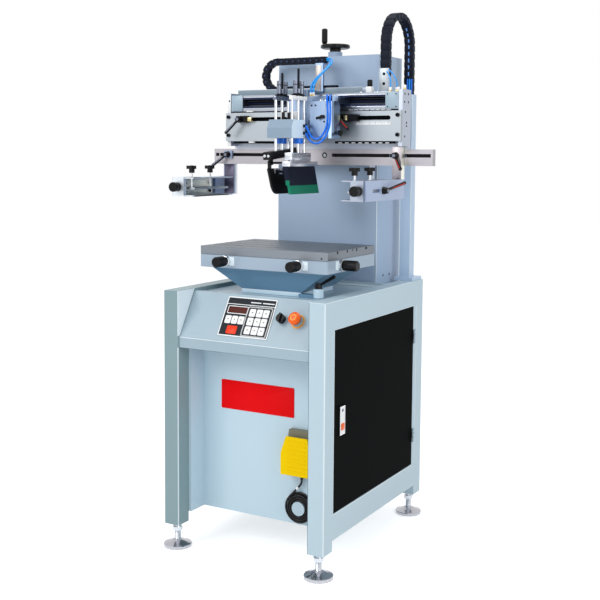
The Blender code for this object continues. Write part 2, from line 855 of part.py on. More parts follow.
def side_frame(name, side):
    """Box-section frame with two legs; the left one is closed by a sheet, the right one by a door."""
    depth, foot = CABINET_HALF_DEPTH, CABINET_HALF_DEPTH - LEG_DEPTH
    outline = [
        (-depth, LEG_BOTTOM), (-foot, LEG_BOTTOM), (-foot, SKIRT_BOTTOM), (foot, SKIRT_BOTTOM),
        (foot, LEG_BOTTOM), (depth, LEG_BOTTOM), (depth, CABINET_TOP), (-depth, CABINET_TOP),
    ]
    inner, outer = CABINET_HALF_WIDTH - FRAME_THICK, CABINET_HALF_WIDTH
    span = (inner, outer) if side > 0 else (-outer, -inner)
    frame = prism(name, [outline], "YZ", span)
    if side > 0:
        opening = (inner - OVERRUN, outer + OVERRUN)
    else:
        opening = (-outer + SIDE_SHEET, -inner + OVERRUN)
    cut(frame, box(f"{name}_opening", opening, (DOORWAY_FRONT, DOORWAY_BACK),
                   (DOORWAY_BOTTOM, DOORWAY_TOP)))
    bevel(frame, FRAME_EDGE)
    return frame


def hinge_axis():
    """Where the door's hinge pins stand."""
    return (CABINET_HALF_WIDTH + HINGE_PROUD, DOORWAY_BACK + RUN_GAP)


def hinge_knuckle(name, low, high, leaf_y, leaf_inner_x):
    """Knuckle of a butt hinge with its leaf."""
    x, y = hinge_axis()
    knuckle = rod(name, (x, y, low), (x, y, high), HINGE_RADIUS, ROD_SIDES)
    face = CABINET_HALF_WIDTH + HINGE_LEAF_THICK
    join(knuckle, box(f"{name}_leaf", (leaf_inner_x, face), leaf_y, (low + RUN_GAP, high - RUN_GAP)))
    return knuckle


def build_side_frames():
    """Left and right side frames; the right one carries the fixed half of the hinges."""
    left = side_frame("side_frame_left", -1)
    finish(left, "cabinet_paint")
    right = side_frame("side_frame_right", 1)
    x, y = hinge_axis()
    leaf = (y, y + HINGE_LEAF_WIDTH)
    root = CABINET_HALF_WIDTH - WELD_IN
    for number, height in enumerate(HINGE_HEIGHTS):
        name = f"hinge_{number}"
        low = (height - HINGE_KNUCKLE * 3 / 2, height - HINGE_KNUCKLE / 2 - RUN_GAP)
        high = (height + HINGE_KNUCKLE / 2 + RUN_GAP, height + HINGE_KNUCKLE * 3 / 2)
        join(
            right,
            hinge_knuckle(f"{name}_low", *low, leaf, root),
            hinge_knuckle(f"{name}_high", *high, leaf, root),
            rod(f"{name}_pin", (x, y, low[0] + WELD_IN), (x, y, high[1] - WELD_IN),
                HINGE_PIN_RADIUS, PIN_SIDES),
        )
    finish(right, "cabinet_paint")


def build_side_door():
    """Pan-shaped door with its hinge knuckles, and the strip latch on its front edge."""
    x, y = hinge_axis()
    outer = CABINET_HALF_WIDTH - SEAT_GAP
    inner = outer - DOOR_THICK
    span_y = (DOORWAY_FRONT + DOOR_GAP, DOORWAY_BACK - DOOR_GAP)
    span_z = (DOORWAY_BOTTOM + DOOR_GAP, DOORWAY_TOP - DOOR_GAP)
    door = box("side_door", (inner, outer), span_y, span_z)
    bevel(door, DOOR_EDGE)
    cut(door, box("door_pan", (inner - OVERRUN, outer - DOOR_SHEET),
                  grown(span_y, -DOOR_SHEET), grown(span_z, -DOOR_SHEET)))
    for number, height in enumerate(HINGE_HEIGHTS):
        low, high = height - HINGE_KNUCKLE / 2, height + HINGE_KNUCKLE / 2
        knuckle = hinge_knuckle(f"door_knuckle_{number}", low, high,
                                (y - HINGE_LEAF_WIDTH, y), CABINET_HALF_WIDTH + SEAT_GAP)
        join(knuckle, box(f"door_leaf_pad_{number}",
                          (outer - DOOR_SHEET / 2, CABINET_HALF_WIDTH + RUN_GAP),
                          (y - HINGE_LEAF_WIDTH + RUN_GAP, span_y[1] - RUN_GAP),
                          (low + 2 * RUN_GAP, high - 2 * RUN_GAP)))
        join(door, knuckle)
        cut(door, rod(f"door_bore_{number}", (x, y, low - OVERRUN), (x, y, high + OVERRUN),
                      HINGE_PIN_RADIUS + RUN_GAP, ROD_SIDES))
    plate_y = grown((LATCH_FRONT_Y, LATCH_BACK_Y), LATCH_PLATE_MARGIN)
    plate_z = grown((LATCH_BOTTOM, LATCH_PIVOT_Z), LATCH_PLATE_MARGIN)
    face = outer + LATCH_PLATE_THICK
    join(door, box("latch_plate", (outer - DOOR_SHEET / 2, face), plate_y, plate_z))
    lever_x = outer + LATCH_STANDOFF
    pivot_x = lever_x + LATCH_THICK / 2
    reach = pivot_x + LATCH_THICK / 2
    for number, (start, side) in enumerate(((LATCH_FRONT_Y, -1), (LATCH_BACK_Y, 1))):
        near = start + side * RUN_GAP
        far = near + side * LATCH_EAR_THICK
        join(door, box(f"latch_ear_{number}", (face - LATCH_PLATE_THICK, reach),
                       (min(near, far), max(near, far)),
                       (LATCH_PIVOT_Z - LATCH_EAR_REACH, LATCH_PIVOT_Z + LATCH_EAR_REACH)))
    ear_end = RUN_GAP + LATCH_EAR_THICK
    cut(door, rod("latch_pin_bore", (pivot_x, LATCH_FRONT_Y - ear_end - OVERRUN, LATCH_PIVOT_Z),
                  (pivot_x, LATCH_BACK_Y + ear_end + OVERRUN, LATCH_PIVOT_Z),
                  LATCH_PIN_RADIUS + SEAT_GAP, ROD_SIDES))
    finish(door, "door_black", (x, y, span_z[0]))

    latch = box("door_latch", (lever_x, reach), (LATCH_FRONT_Y, LATCH_BACK_Y),
                (LATCH_BOTTOM, LATCH_PIVOT_Z + LATCH_HEAD))
    join(latch, rod("latch_pin", (pivot_x, LATCH_FRONT_Y - ear_end, LATCH_PIVOT_Z),
                    (pivot_x, LATCH_BACK_Y + ear_end, LATCH_PIVOT_Z), LATCH_PIN_RADIUS, PIN_SIDES))
    finish(latch, "chrome", (pivot_x, (LATCH_FRONT_Y + LATCH_BACK_Y) / 2, LATCH_PIVOT_Z))


def build_sheets():
    """Recessed front panel, back with floor, and deck."""
    half = INNER_HALF_WIDTH
    inner = half - CHEEK_THICK
    back = FRONT_FACE_Y + PANEL_SHEET
    top = CONSOLE_BOTTOM - SEAT_GAP
    front = [
        (-half, CHEEK_FRONT_Y), (-inner, CHEEK_FRONT_Y), (-inner, FRONT_FACE_Y),
        (inner, FRONT_FACE_Y), (inner, CHEEK_FRONT_Y), (half, CHEEK_FRONT_Y), (half, back),
        (-half, back),
    ]
    finish(prism("front_panel", [front], "XY", (SKIRT_BOTTOM, top)), "cabinet_paint")

    floor_front = back + SEAT_GAP
    depth = CABINET_HALF_DEPTH
    ell = [
        (floor_front, SKIRT_BOTTOM), (depth, SKIRT_BOTTOM), (depth, DECK_BOTTOM - SEAT_GAP),
        (depth - PANEL_SHEET, DECK_BOTTOM - SEAT_GAP),
        (depth - PANEL_SHEET, SKIRT_BOTTOM + PANEL_SHEET),
        (floor_front, SKIRT_BOTTOM + PANEL_SHEET),
    ]
    finish(prism("back_and_floor", [ell], "YZ", (-half, half)), "cabinet_paint")

    deck = box("deck_plate", (-half, half), (CONSOLE_BACK_Y + SEAT_GAP, depth),
               (DECK_BOTTOM, DECK_TOP))
    bar_y = (DECK_BAR_Y, DECK_BAR_Y + DECK_BAR_DEPTH)
    post = (half - DECK_POST_WIDTH, half)
    low = DECK_TOP - WELD_IN
    join(
        deck,
        box("deck_bar", (-half, half), bar_y, (CABINET_TOP - DECK_BAR_HEIGHT, CABINET_TOP)),
        box("deck_post_right", post, bar_y, (low, CABINET_TOP - WELD_IN)),
        box("deck_post_left", mirrored(post), bar_y, (low, CABINET_TOP - WELD_IN)),
    )
    finish(deck, "cabinet_paint")


def build_feet():
    """Four turned levelling feet, each with its lock nut."""
    profile = [
        (0, LEG_BOTTOM - SEAT_GAP), (FOOT_STEM_RADIUS, LEG_BOTTOM - SEAT_GAP),
        (FOOT_STEM_RADIUS, FOOT_NUT_TOP), (FOOT_NUT_RADIUS, FOOT_NUT_TOP),
        (FOOT_NUT_RADIUS, FOOT_NUT_BOTTOM), (FOOT_STEM_RADIUS, FOOT_NUT_BOTTOM),
        (FOOT_STEM_RADIUS, FOOT_NECK_HEIGHT), (FOOT_STEP_RADIUS, FOOT_STEP_HEIGHT),
        (FOOT_DISC_RADIUS, FOOT_RIM_HEIGHT), (FOOT_DISC_RADIUS, 0), (0, 0),
    ]
    for across, x in (("left", -FOOT_X), ("right", FOOT_X)):
        for along, y in (("front", -FOOT_Y), ("back", FOOT_Y)):
            finish(turned(f"foot_{along}_{across}", profile, (x, y, 0)), "chrome")


# Console

SLOPE_ANGLE = math.atan2(CONSOLE_SHOULDER_Z - SLOPE_START_Z, CONSOLE_SHOULDER_Y - SLOPE_START_Y)
SLOPE = (
    Matrix.Translation((0, SLOPE_START_Y, SLOPE_START_Z)) @ Matrix.Rotation(SLOPE_ANGLE, 4, "X")
)
SLOPE_OUT = (SLOPE.to_3x3() @ UP).normalized()


def on_slope(x, out):
    """World point over the console's slope at the height of its two controls."""
    return SLOPE @ Vector((x, CONTROL_UP, out))


def build_console():
    """Folded console with its keypad frame, and the two control collars."""
    outline = [
        (CONSOLE_FRONT_Y, CONSOLE_BOTTOM), (CONSOLE_BACK_Y, CONSOLE_BOTTOM),
        (CONSOLE_BACK_Y, CONSOLE_SHOULDER_Z), (CONSOLE_SHOULDER_Y, CONSOLE_SHOULDER_Z),
        (SLOPE_START_Y, SLOPE_START_Z), (CONSOLE_FRONT_Y, CONSOLE_NOSE_Z),
    ]
    half = INNER_HALF_WIDTH
    console = prism("console_housing", [outline], "YZ", (-half, half))
    hollow = inset(outline, CONSOLE_SHEET)
    inner = (-half + CONSOLE_SHEET, half - CONSOLE_SHEET)
    open_z = (CONSOLE_BOTTOM + CONSOLE_SHEET, CONSOLE_SHOULDER_Z - CONSOLE_SHEET)
    cut(
        console,
        prism("console_hollow", [hollow], "YZ", inner),
        box("console_back", inner, (CONSOLE_BACK_Y - CONSOLE_SHEET - OVERRUN,
                                    CONSOLE_BACK_Y + OVERRUN), open_z),
    )
    join(
        console,
        box("keypad_frame", (KEYPAD_LEFT, KEYPAD_RIGHT), (KEYPAD_LOW, KEYPAD_HIGH),
            (-WELD_IN, KEYPAD_PROUD), SLOPE),
        rod("selector_collar", on_slope(SELECTOR_X, -WELD_IN), on_slope(SELECTOR_X, SELECTOR_COLLAR),
            SELECTOR_COLLAR_RADIUS, BORE_SIDES),
        rod("estop_ring", on_slope(ESTOP_X, -WELD_IN), on_slope(ESTOP_X, ESTOP_RING),
            ESTOP_RING_RADIUS, BORE_SIDES),
    )
    through = CONSOLE_SHEET + OVERRUN
    cut(
        console,
        rod("selector_bore", on_slope(SELECTOR_X, -through),
            on_slope(SELECTOR_X, SELECTOR_COLLAR + OVERRUN), SELECTOR_SHAFT_RADIUS + RUN_GAP),
        rod("estop_bore", on_slope(ESTOP_X, -through), on_slope(ESTOP_X, ESTOP_RING + OVERRUN),
            ESTOP_STEM_RADIUS + RUN_GAP, BORE_SIDES),
    )
    finish(console, "cabinet_paint")


def build_console_controls():
    """Selector knob with a finger ridge, and the mushroom emergency button."""
    base = SELECTOR_COLLAR + RUN_GAP
    top = base + SELECTOR_BODY
    knob = rod("selector_knob", on_slope(SELECTOR_X, base), on_slope(SELECTOR_X, top),
               SELECTOR_RADIUS, BORE_SIDES)
    middle = (SELECTOR_X - SELECTOR_RIDGE_WIDTH / 2, SELECTOR_X + SELECTOR_RIDGE_WIDTH / 2)
    ridge_half = SELECTOR_RADIUS - RUN_GAP
    join(
        knob,
        box("selector_ridge", middle, around(CONTROL_UP, ridge_half),
            (top - WELD_IN, top + SELECTOR_RIDGE_HEIGHT), SLOPE),
        rod("selector_shaft", on_slope(SELECTOR_X, -SELECTOR_SHAFT_DEPTH),
            on_slope(SELECTOR_X, base + WELD_IN), SELECTOR_SHAFT_RADIUS),
    )
    finish(knob, "black_plastic", on_slope(SELECTOR_X, 0))

    crown = ESTOP_HEAD_BOTTOM + ESTOP_HEAD
    crown_radius = ESTOP_HEAD_RADIUS * ESTOP_CROWN_SHARE
    shoulder = ESTOP_HEAD_BOTTOM + ESTOP_HEAD * ESTOP_CROWN_SHARE
    profile = [
        (0, crown), (crown_radius, crown), (ESTOP_HEAD_RADIUS, shoulder),
        (ESTOP_HEAD_RADIUS, ESTOP_HEAD_BOTTOM), (ESTOP_STEM_RADIUS, ESTOP_HEAD_BOTTOM),
        (ESTOP_STEM_RADIUS, ESTOP_STEM_START), (0, ESTOP_STEM_START),
    ]
    finish(turned("estop_button", profile, on_slope(ESTOP_X, 0), SLOPE_OUT), "orange_plastic")


# Column, post and handwheel

def build_column():
    """Rounded sheet column, open below, with the nut slot and the screw bearing."""
    x = (-COLUMN_HALF_WIDTH, COLUMN_HALF_WIDTH)
    y = (COLUMN_FRONT_Y, COLUMN_BACK_Y)
    bottom = DECK_TOP + SEAT_GAP
    column = prism("column_housing", [rounded(x, y, COLUMN_CORNER)], "XY", (bottom, COLUMN_TOP))
    inner_corner = COLUMN_CORNER - COLUMN_WALL
    hollow = rounded(grown(x, -COLUMN_WALL), grown(y, -COLUMN_WALL), inner_corner, 1)
    cut(
        column,
        prism("column_hollow", [hollow], "XY", (bottom - OVERRUN, COLUMN_TOP - COLUMN_CAP)),
        box("column_slot", around(0, COLUMN_SLOT_HALF),
            (COLUMN_FRONT_Y - OVERRUN, COLUMN_FRONT_Y + COLUMN_WALL + OVERRUN),
            (COLUMN_SLOT_BOTTOM, COLUMN_SLOT_TOP)),
    )
    join(column, rod("screw_bearing", (0, LIFT_SCREW_Y, COLUMN_TOP - WELD_IN),
                     (0, LIFT_SCREW_Y, COLUMN_TOP + BEARING_HEIGHT), BEARING_RADIUS, BORE_SIDES))
    cut(column, rod("screw_bore", (0, LIFT_SCREW_Y, COLUMN_TOP - COLUMN_CAP - OVERRUN),
                    (0, LIFT_SCREW_Y, COLUMN_TOP + BEARING_HEIGHT + OVERRUN),
                    LIFT_SCREW_RADIUS + NUT_CLEARANCE, BORE_SIDES))
    finish(column, "column_paint")


def build_chain_post():
    """Square tube that takes the far end of the lift chain."""
    x, y = around(POST_X, POST_HALF_WIDTH), around(POST_Y, POST_HALF_DEPTH)
    bottom = CABINET_TOP + SEAT_GAP
    foot_top = bottom + POST_FLANGE
    post = box("chain_post", x, y, (foot_top - WELD_IN, POST_TOP))
    join(post, box("post_flange", POST_FLANGE_X, POST_FLANGE_Y, (bottom, foot_top)))
    cut(post, box("post_hollow", grown(x, -POST_WALL), grown(y, -POST_WALL),
                  (foot_top, POST_TOP + OVERRUN)))
    finish(post, "column_paint")


def build_handwheel():
    """Dished handwheel in one piece with the lift screw, and its revolving grip."""
    bottom = COLUMN_TOP + BEARING_HEIGHT + RUN_GAP
    top = bottom + WHEEL_HUB_HEIGHT
    rim_low = top - WHEEL_RIM_HEIGHT
    web_top = rim_low + WHEEL_WEB
    rim_inner = WHEEL_RADIUS - WHEEL_RIM
    profile = [
        (0, top), (WHEEL_HUB_RADIUS, top), (WHEEL_HUB_RADIUS, web_top), (rim_inner, web_top),
        (rim_inner + WHEEL_WEB / 2, top), (WHEEL_RADIUS - WHEEL_WEB / 2, top),
        (WHEEL_RADIUS, top - WHEEL_WEB / 2), (WHEEL_RADIUS, rim_low + WHEEL_WEB / 2),
        (WHEEL_RADIUS - WHEEL_WEB, rim_low), (WHEEL_HUB_RADIUS, rim_low),
        (WHEEL_HUB_RADIUS, bottom), (LIFT_SCREW_RADIUS, bottom),
        (LIFT_SCREW_RADIUS, LIFT_SCREW_END), (0, LIFT_SCREW_END),
    ]
    wheel = turned("handwheel", profile, (0, LIFT_SCREW_Y, 0), UP, WHEEL_STEPS)
    grip_y = LIFT_SCREW_Y + GRIP_Y
    join(wheel, rod("grip_boss", (GRIP_X, grip_y, web_top - WELD_IN), (GRIP_X, grip_y, top),
                    GRIP_BOSS_RADIUS))
    finish(wheel, "black_plastic")

    seat = (GRIP_X, grip_y, top + SEAT_GAP)
    grip = [
        (0, GRIP_LENGTH), (GRIP_RADIUS - GRIP_ROUND, GRIP_LENGTH),
        (GRIP_RADIUS, GRIP_LENGTH - GRIP_ROUND), (GRIP_RADIUS, GRIP_RADIUS),
        (GRIP_NECK_RADIUS, GRIP_ROUND), (GRIP_NECK_RADIUS, 0), (0, 0),
    ]
    finish(turned("handwheel_grip", grip, seat, UP, TURN_STEPS), "black_plastic")


# Levers and knobs

def clamp_lever(name, seat, axis, tip, origin=None):
    """Clamping lever: a coned hub on its screw, and an arm that swells towards a round end."""
    seat, axis, tip = Vector(seat), Vector(axis).normalized(), Vector(tip)
    lever = rod(name, seat, seat + axis * LEVER_HUB_LENGTH, LEVER_HUB_RADIUS, ROD_SIDES,
                LEVER_HUB_TOP_RADIUS)
    root = seat + axis * (LEVER_HUB_LENGTH / 2)
    reach = (tip - root).length
    profile = [
        (0, reach), (LEVER_GRIP_RADIUS * LEVER_END_SHARE, reach),
        (LEVER_GRIP_RADIUS, reach - LEVER_ROUND), (LEVER_NECK_RADIUS, 0), (0, 0),
    ]
    join(lever, turned(f"{name}_arm", profile, root, tip - root, LEVER_STEPS))
    return finish(lever, "black_plastic", seat if origin is None else origin)


def adjuster(name, seat, axis, spindle):
    """Turned grip with a bright collar and a spindle that runs into the table."""
    start = RUN_GAP
    collar = start + ADJUSTER_COLLAR
    end = collar + ADJUSTER_LENGTH
    profile = [
        (0, end), (ADJUSTER_RADIUS - ADJUSTER_ROUND, end), (ADJUSTER_RADIUS, end - ADJUSTER_ROUND),
    ]
    for number in reversed(range(ADJUSTER_GROOVE_COUNT)):
        low = collar + ADJUSTER_GROOVE_PITCH * number + ADJUSTER_GROOVE
        high = low + ADJUSTER_GROOVE
        profile += [
            (ADJUSTER_RADIUS, high), (ADJUSTER_GROOVE_RADIUS, high),
            (ADJUSTER_GROOVE_RADIUS, low), (ADJUSTER_RADIUS, low),
        ]
    profile += [
        (ADJUSTER_RADIUS, collar), (ADJUSTER_COLLAR_RADIUS, collar),
        (ADJUSTER_COLLAR_RADIUS, start), (SPINDLE_RADIUS, start), (SPINDLE_RADIUS, -spindle),
        (0, -spindle),
    ]
    return finish(turned(name, profile, seat, axis), "black_plastic")


def star_outline(x, y):
    """Lobed outline of a star knob."""
    points = []
    for step in range(STAR_POINTS):
        angle = math.tau * step / STAR_POINTS
        radius = STAR_RADIUS * (1 - STAR_LOBE_SHARE * (1 - math.cos(STAR_LOBES * angle)))
        points.append((x + radius * math.cos(angle), y + radius * math.sin(angle)))
    return points


# Worktable

def taper(name, low_x, low_y, high_x, high_y, z):
    """Block whose top face is a larger rectangle than its bottom face."""
    piece = box(name, (-1, 1), (-1, 1), z)
    for vertex in piece.data.vertices:
        x, y = (high_x, high_y) if vertex.co.z > 0 else (low_x, low_y)
        vertex.co.x = x[vertex.co.x > 0]
        vertex.co.y = y[vertex.co.y > 0]
    return piece


def build_pedestal():
    """Tapered pedestal on its flange, with the boss that takes the lock lever."""
    bottom = DECK_TOP + SEAT_GAP
    flange_top = bottom + PEDESTAL_FLANGE
    low_x = around(0, PEDESTAL_HALF_WIDTH)
    pedestal = box("table_pedestal", low_x, PEDESTAL_Y, (bottom, flange_top))
    join(
        pedestal,
        taper("pedestal_body", grown(low_x, -WELD_IN), grown(PEDESTAL_Y, -WELD_IN),
              around(0, PEDESTAL_TOP_HALF_WIDTH),
              PEDESTAL_TOP_Y, (flange_top - WELD_IN, PEDESTAL_TOP)),
        box("lock_lug", (PEDESTAL_HALF_WIDTH - WELD_IN, LOCK_X), around(LOCK_Y, LOCK_LUG_HALF),
            (bottom + STEP_IN, flange_top - WELD_IN)),
        rod("lock_boss", (LOCK_X, LOCK_Y, bottom), (LOCK_X, LOCK_Y, LOCK_BOSS_TOP),
            LOCK_BOSS_RADIUS, BORE_SIDES),
    )
    finish(pedestal, "cabinet_paint")
    clamp_lever("table_lock_lever", (LOCK_X, LOCK_Y, LOCK_BOSS_TOP + SEAT_GAP), UP, LOCK_TIP)


def build_table():
    """Table block with its pocket, the cross slide in it, the grooved top and three adjusters."""
    x = around(0, TABLE_HALF_WIDTH)
    bottom = PEDESTAL_TOP + SEAT_GAP
    block_top = bottom + BLOCK_HEIGHT
    floor = block_top - POCKET_DEPTH
    block = box("table_block", x, TABLE_Y, (bottom, block_top))
    bevel(block, TABLE_EDGE)
    cut(block, box("table_pocket", around(0, POCKET_HALF_WIDTH), POCKET_Y,
                   (floor, block_top + OVERRUN)))
    bore = SPINDLE_RADIUS + RUN_GAP
    for side in (-1, 1):
        at = side * FRONT_ADJUSTER_X
        cut(block, rod(f"front_bore_{side}", (at, TABLE_Y[0] - OVERRUN, ADJUSTER_Z),
                       (at, POCKET_Y[0] + OVERRUN, ADJUSTER_Z), bore))
    cut(block, rod("side_bore", (POCKET_HALF_WIDTH - OVERRUN, SIDE_ADJUSTER_Y, ADJUSTER_Z),
                   (TABLE_HALF_WIDTH + OVERRUN, SIDE_ADJUSTER_Y, ADJUSTER_Z), bore))
    finish(block, "cabinet_paint")

    slide_x, flange_x = around(0, SLIDE_HALF_WIDTH), around(0, SLIDE_FLANGE_HALF_WIDTH)
    flange_back = SLIDE_Y[0] + SLIDE_FLANGE_DEPTH
    outline = [
        (flange_x[0], SLIDE_Y[0]), (flange_x[1], SLIDE_Y[0]), (flange_x[1], flange_back),
        (slide_x[1], flange_back), (slide_x[1], SLIDE_Y[1]), (slide_x[0], SLIDE_Y[1]),
        (slide_x[0], flange_back), (flange_x[0], flange_back),
    ]
    slide_low = floor + SEAT_GAP
    slide = prism("cross_slide", [outline], "XY", (slide_low, block_top))
    notch_top = ADJUSTER_Z + SPINDLE_RADIUS + RUN_GAP
    for side in (-1, 1):
        cut(slide, box(f"spindle_notch_{side}", around(side * FRONT_ADJUSTER_X, bore),
                       (SLIDE_Y[0] - OVERRUN, flange_back + OVERRUN),
                       (slide_low - OVERRUN, notch_top)))
    finish(slide, "steel", (0, SLIDE_Y[0], slide_low))

    top_low = block_top + SEAT_GAP
    top_high = top_low + TABLE_THICK
    top = box("table_top", x, TABLE_Y, (top_low, top_high))
    bevel(top, TABLE_EDGE)
    for number in range(GROOVE_COUNT):
        middle = GROOVE_FIRST_Y + GROOVE_SPACING * number
        cut(top, box(f"table_groove_{number}", grown(x, OVERRUN), around(middle, GROOVE_WIDTH / 2),
                     (top_high - GROOVE_DEPTH, top_high + OVERRUN)))
    join(top, box("table_lug", SLIDE_LUG_X, SLIDE_LUG_Y,
                  (top_low - SLIDE_LUG_DROP, top_low + WELD_IN)))
    finish(top, "aluminium", (0, SIDE_ADJUSTER_Y, top_low))

    adjuster("knob_front_left", (-FRONT_ADJUSTER_X, TABLE_Y[0], ADJUSTER_Z), FORWARD,
             FRONT_SPINDLE_LENGTH)
    adjuster("knob_front_right", (FRONT_ADJUSTER_X, TABLE_Y[0], ADJUSTER_Z), FORWARD,
             FRONT_SPINDLE_LENGTH)
    adjuster("knob_side", (TABLE_HALF_WIDTH, SIDE_ADJUSTER_Y, ADJUSTER_Z), RIGHT,
             SIDE_SPINDLE_LENGTH)


# Lift saddle and head

def build_saddle():
    """Plate on the column with two guide rails in front and the screw's nut behind."""
    back = COLUMN_FRONT_Y - RUN_GAP
    front = back - SADDLE_THICK
    saddle = box("lift_saddle", around(0, SADDLE_HALF_WIDTH), (front, back), SADDLE_Z)
    for side in (-1, 1):
        join(saddle, box(f"lift_rail_{side}", around(side * RAIL_X, RAIL_HALF_WIDTH),
                         (front - RAIL_HEIGHT, front + WELD_IN), SADDLE_Z))
    join(saddle, box("nut_arm", around(0, NUT_ARM_HALF), (back - WELD_IN, NUT_ARM_BACK_Y), NUT_ARM_Z))
    cut(saddle, rod("nut_bore", (0, LIFT_SCREW_Y, NUT_ARM_Z[0] - OVERRUN),
                    (0, LIFT_SCREW_Y, NUT_ARM_Z[1] + OVERRUN),
                    LIFT_SCREW_RADIUS + NUT_CLEARANCE, BORE_SIDES))
    finish(saddle, "steel", (0, LIFT_SCREW_Y, NUT_ARM_Z[0]))


HEAD_BOTTOM = BEAM_TOP + SEAT_GAP
BACK_PLATE_FRONT_Y = HEAD_BACK_Y - HEAD_BACK_THICK
TRAY_FLOOR_TOP = HEAD_TOP + TRAY_SHEET
LIFT_CHAIN_X = (POST_X - LIFT_CHAIN_WIDTH / 2, POST_X + LIFT_CHAIN_WIDTH / 2)
CHAIN_BRACKET_BACK_Y = HEAD_BACK_Y - HEAD_BACK_THICK - LIFT_CHAIN_HALF


def build_head_frame():
    """Back plate, side plates, lower bar, rail blocks, chain tray, chain bracket and stop rod."""
    inner = HEAD_HALF_WIDTH - SIDE_PLATE_THICK
    plate_half = inner + WELD_IN
    step_y = BEAM_Y[0] + SEAT_GAP
    back_outline = [
        (step_y, HEAD_BOTTOM), (HEAD_BACK_Y, HEAD_BOTTOM), (HEAD_BACK_Y, HEAD_TOP),
        (BACK_PLATE_FRONT_Y, HEAD_TOP), (BACK_PLATE_FRONT_Y, LOWER_BAR_TOP),
        (step_y, LOWER_BAR_TOP),
    ]
    frame = prism("head_frame", [back_outline], "YZ", (-plate_half, plate_half))
    side_outline = [
        (SIDE_PLATE_FRONT_Y, SIDE_PLATE_LOW), (step_y, SIDE_PLATE_LOW), (step_y, HEAD_BOTTOM),
        (HEAD_BACK_Y, HEAD_BOTTOM), (HEAD_BACK_Y, SIDE_PLATE_TOP),
        (SIDE_PLATE_FRONT_Y, SIDE_PLATE_TOP),
    ]
    for side, span in (("left", (-HEAD_HALF_WIDTH, -inner)), ("right", (inner, HEAD_HALF_WIDTH))):
        join(frame, prism(f"head_side_{side}", [side_outline], "YZ", span))
    for side in (-1, 1):
        middle = side * RAIL_X
        join(frame, box(f"rail_block_{side}", around(middle, BEARING_BLOCK_HALF),
                        (HEAD_BACK_Y - WELD_IN, BEARING_BLOCK_BACK_Y), BEARING_BLOCK_Z))
        rail_front = COLUMN_FRONT_Y - RUN_GAP - SADDLE_THICK - RAIL_HEIGHT
        cut(frame, box(f"rail_groove_{side}", around(middle, RAIL_HALF_WIDTH + RUN_GAP),
                       (rail_front - RUN_GAP, BEARING_BLOCK_BACK_Y + OVERRUN),
                       grown(BEARING_BLOCK_Z, OVERRUN)))
    tray_low = HEAD_TOP - WELD_IN
    tray_inner = grown(TRAY_Y, -TRAY_LIP_THICK)
    tray = [
        (TRAY_Y[0], tray_low), (TRAY_Y[1], tray_low), (TRAY_Y[1], TRAY_LIP_TOP),
        (tray_inner[1], TRAY_LIP_TOP), (tray_inner[1], TRAY_FLOOR_TOP),
        (tray_inner[0], TRAY_FLOOR_TOP), (tray_inner[0], TRAY_LIP_TOP), (TRAY_Y[0], TRAY_LIP_TOP),
    ]
    join(frame, prism("chain_tray", [tray], "YZ", TRAY_X))
    bracket_front_y = CHAIN_BRACKET_BACK_Y - CHAIN_BRACKET_SHEET
    bracket = [
        (bracket_front_y, tray_low), (HEAD_BACK_Y - WELD_IN, tray_low),
        (HEAD_BACK_Y - WELD_IN, TRAY_FLOOR_TOP), (CHAIN_BRACKET_BACK_Y, TRAY_FLOOR_TOP),
        (CHAIN_BRACKET_BACK_Y, CHAIN_BRACKET_TOP), (bracket_front_y, CHAIN_BRACKET_TOP),
    ]
    join(frame, prism("chain_bracket", [bracket], "YZ", LIFT_CHAIN_X))
    join(
        frame,
        box("stop_block", around(STOP_ROD_X, STOP_BLOCK_HALF),
            (HEAD_BACK_Y - WELD_IN, STOP_ROD_Y + STOP_BLOCK_HALF), STOP_BLOCK_Z),
        rod("stop_rod", (STOP_ROD_X, STOP_ROD_Y, STOP_ROD_Z[0]),
            (STOP_ROD_X, STOP_ROD_Y, STOP_ROD_Z[1]), STOP_ROD_RADIUS),
    )
    finish(frame, "aluminium")


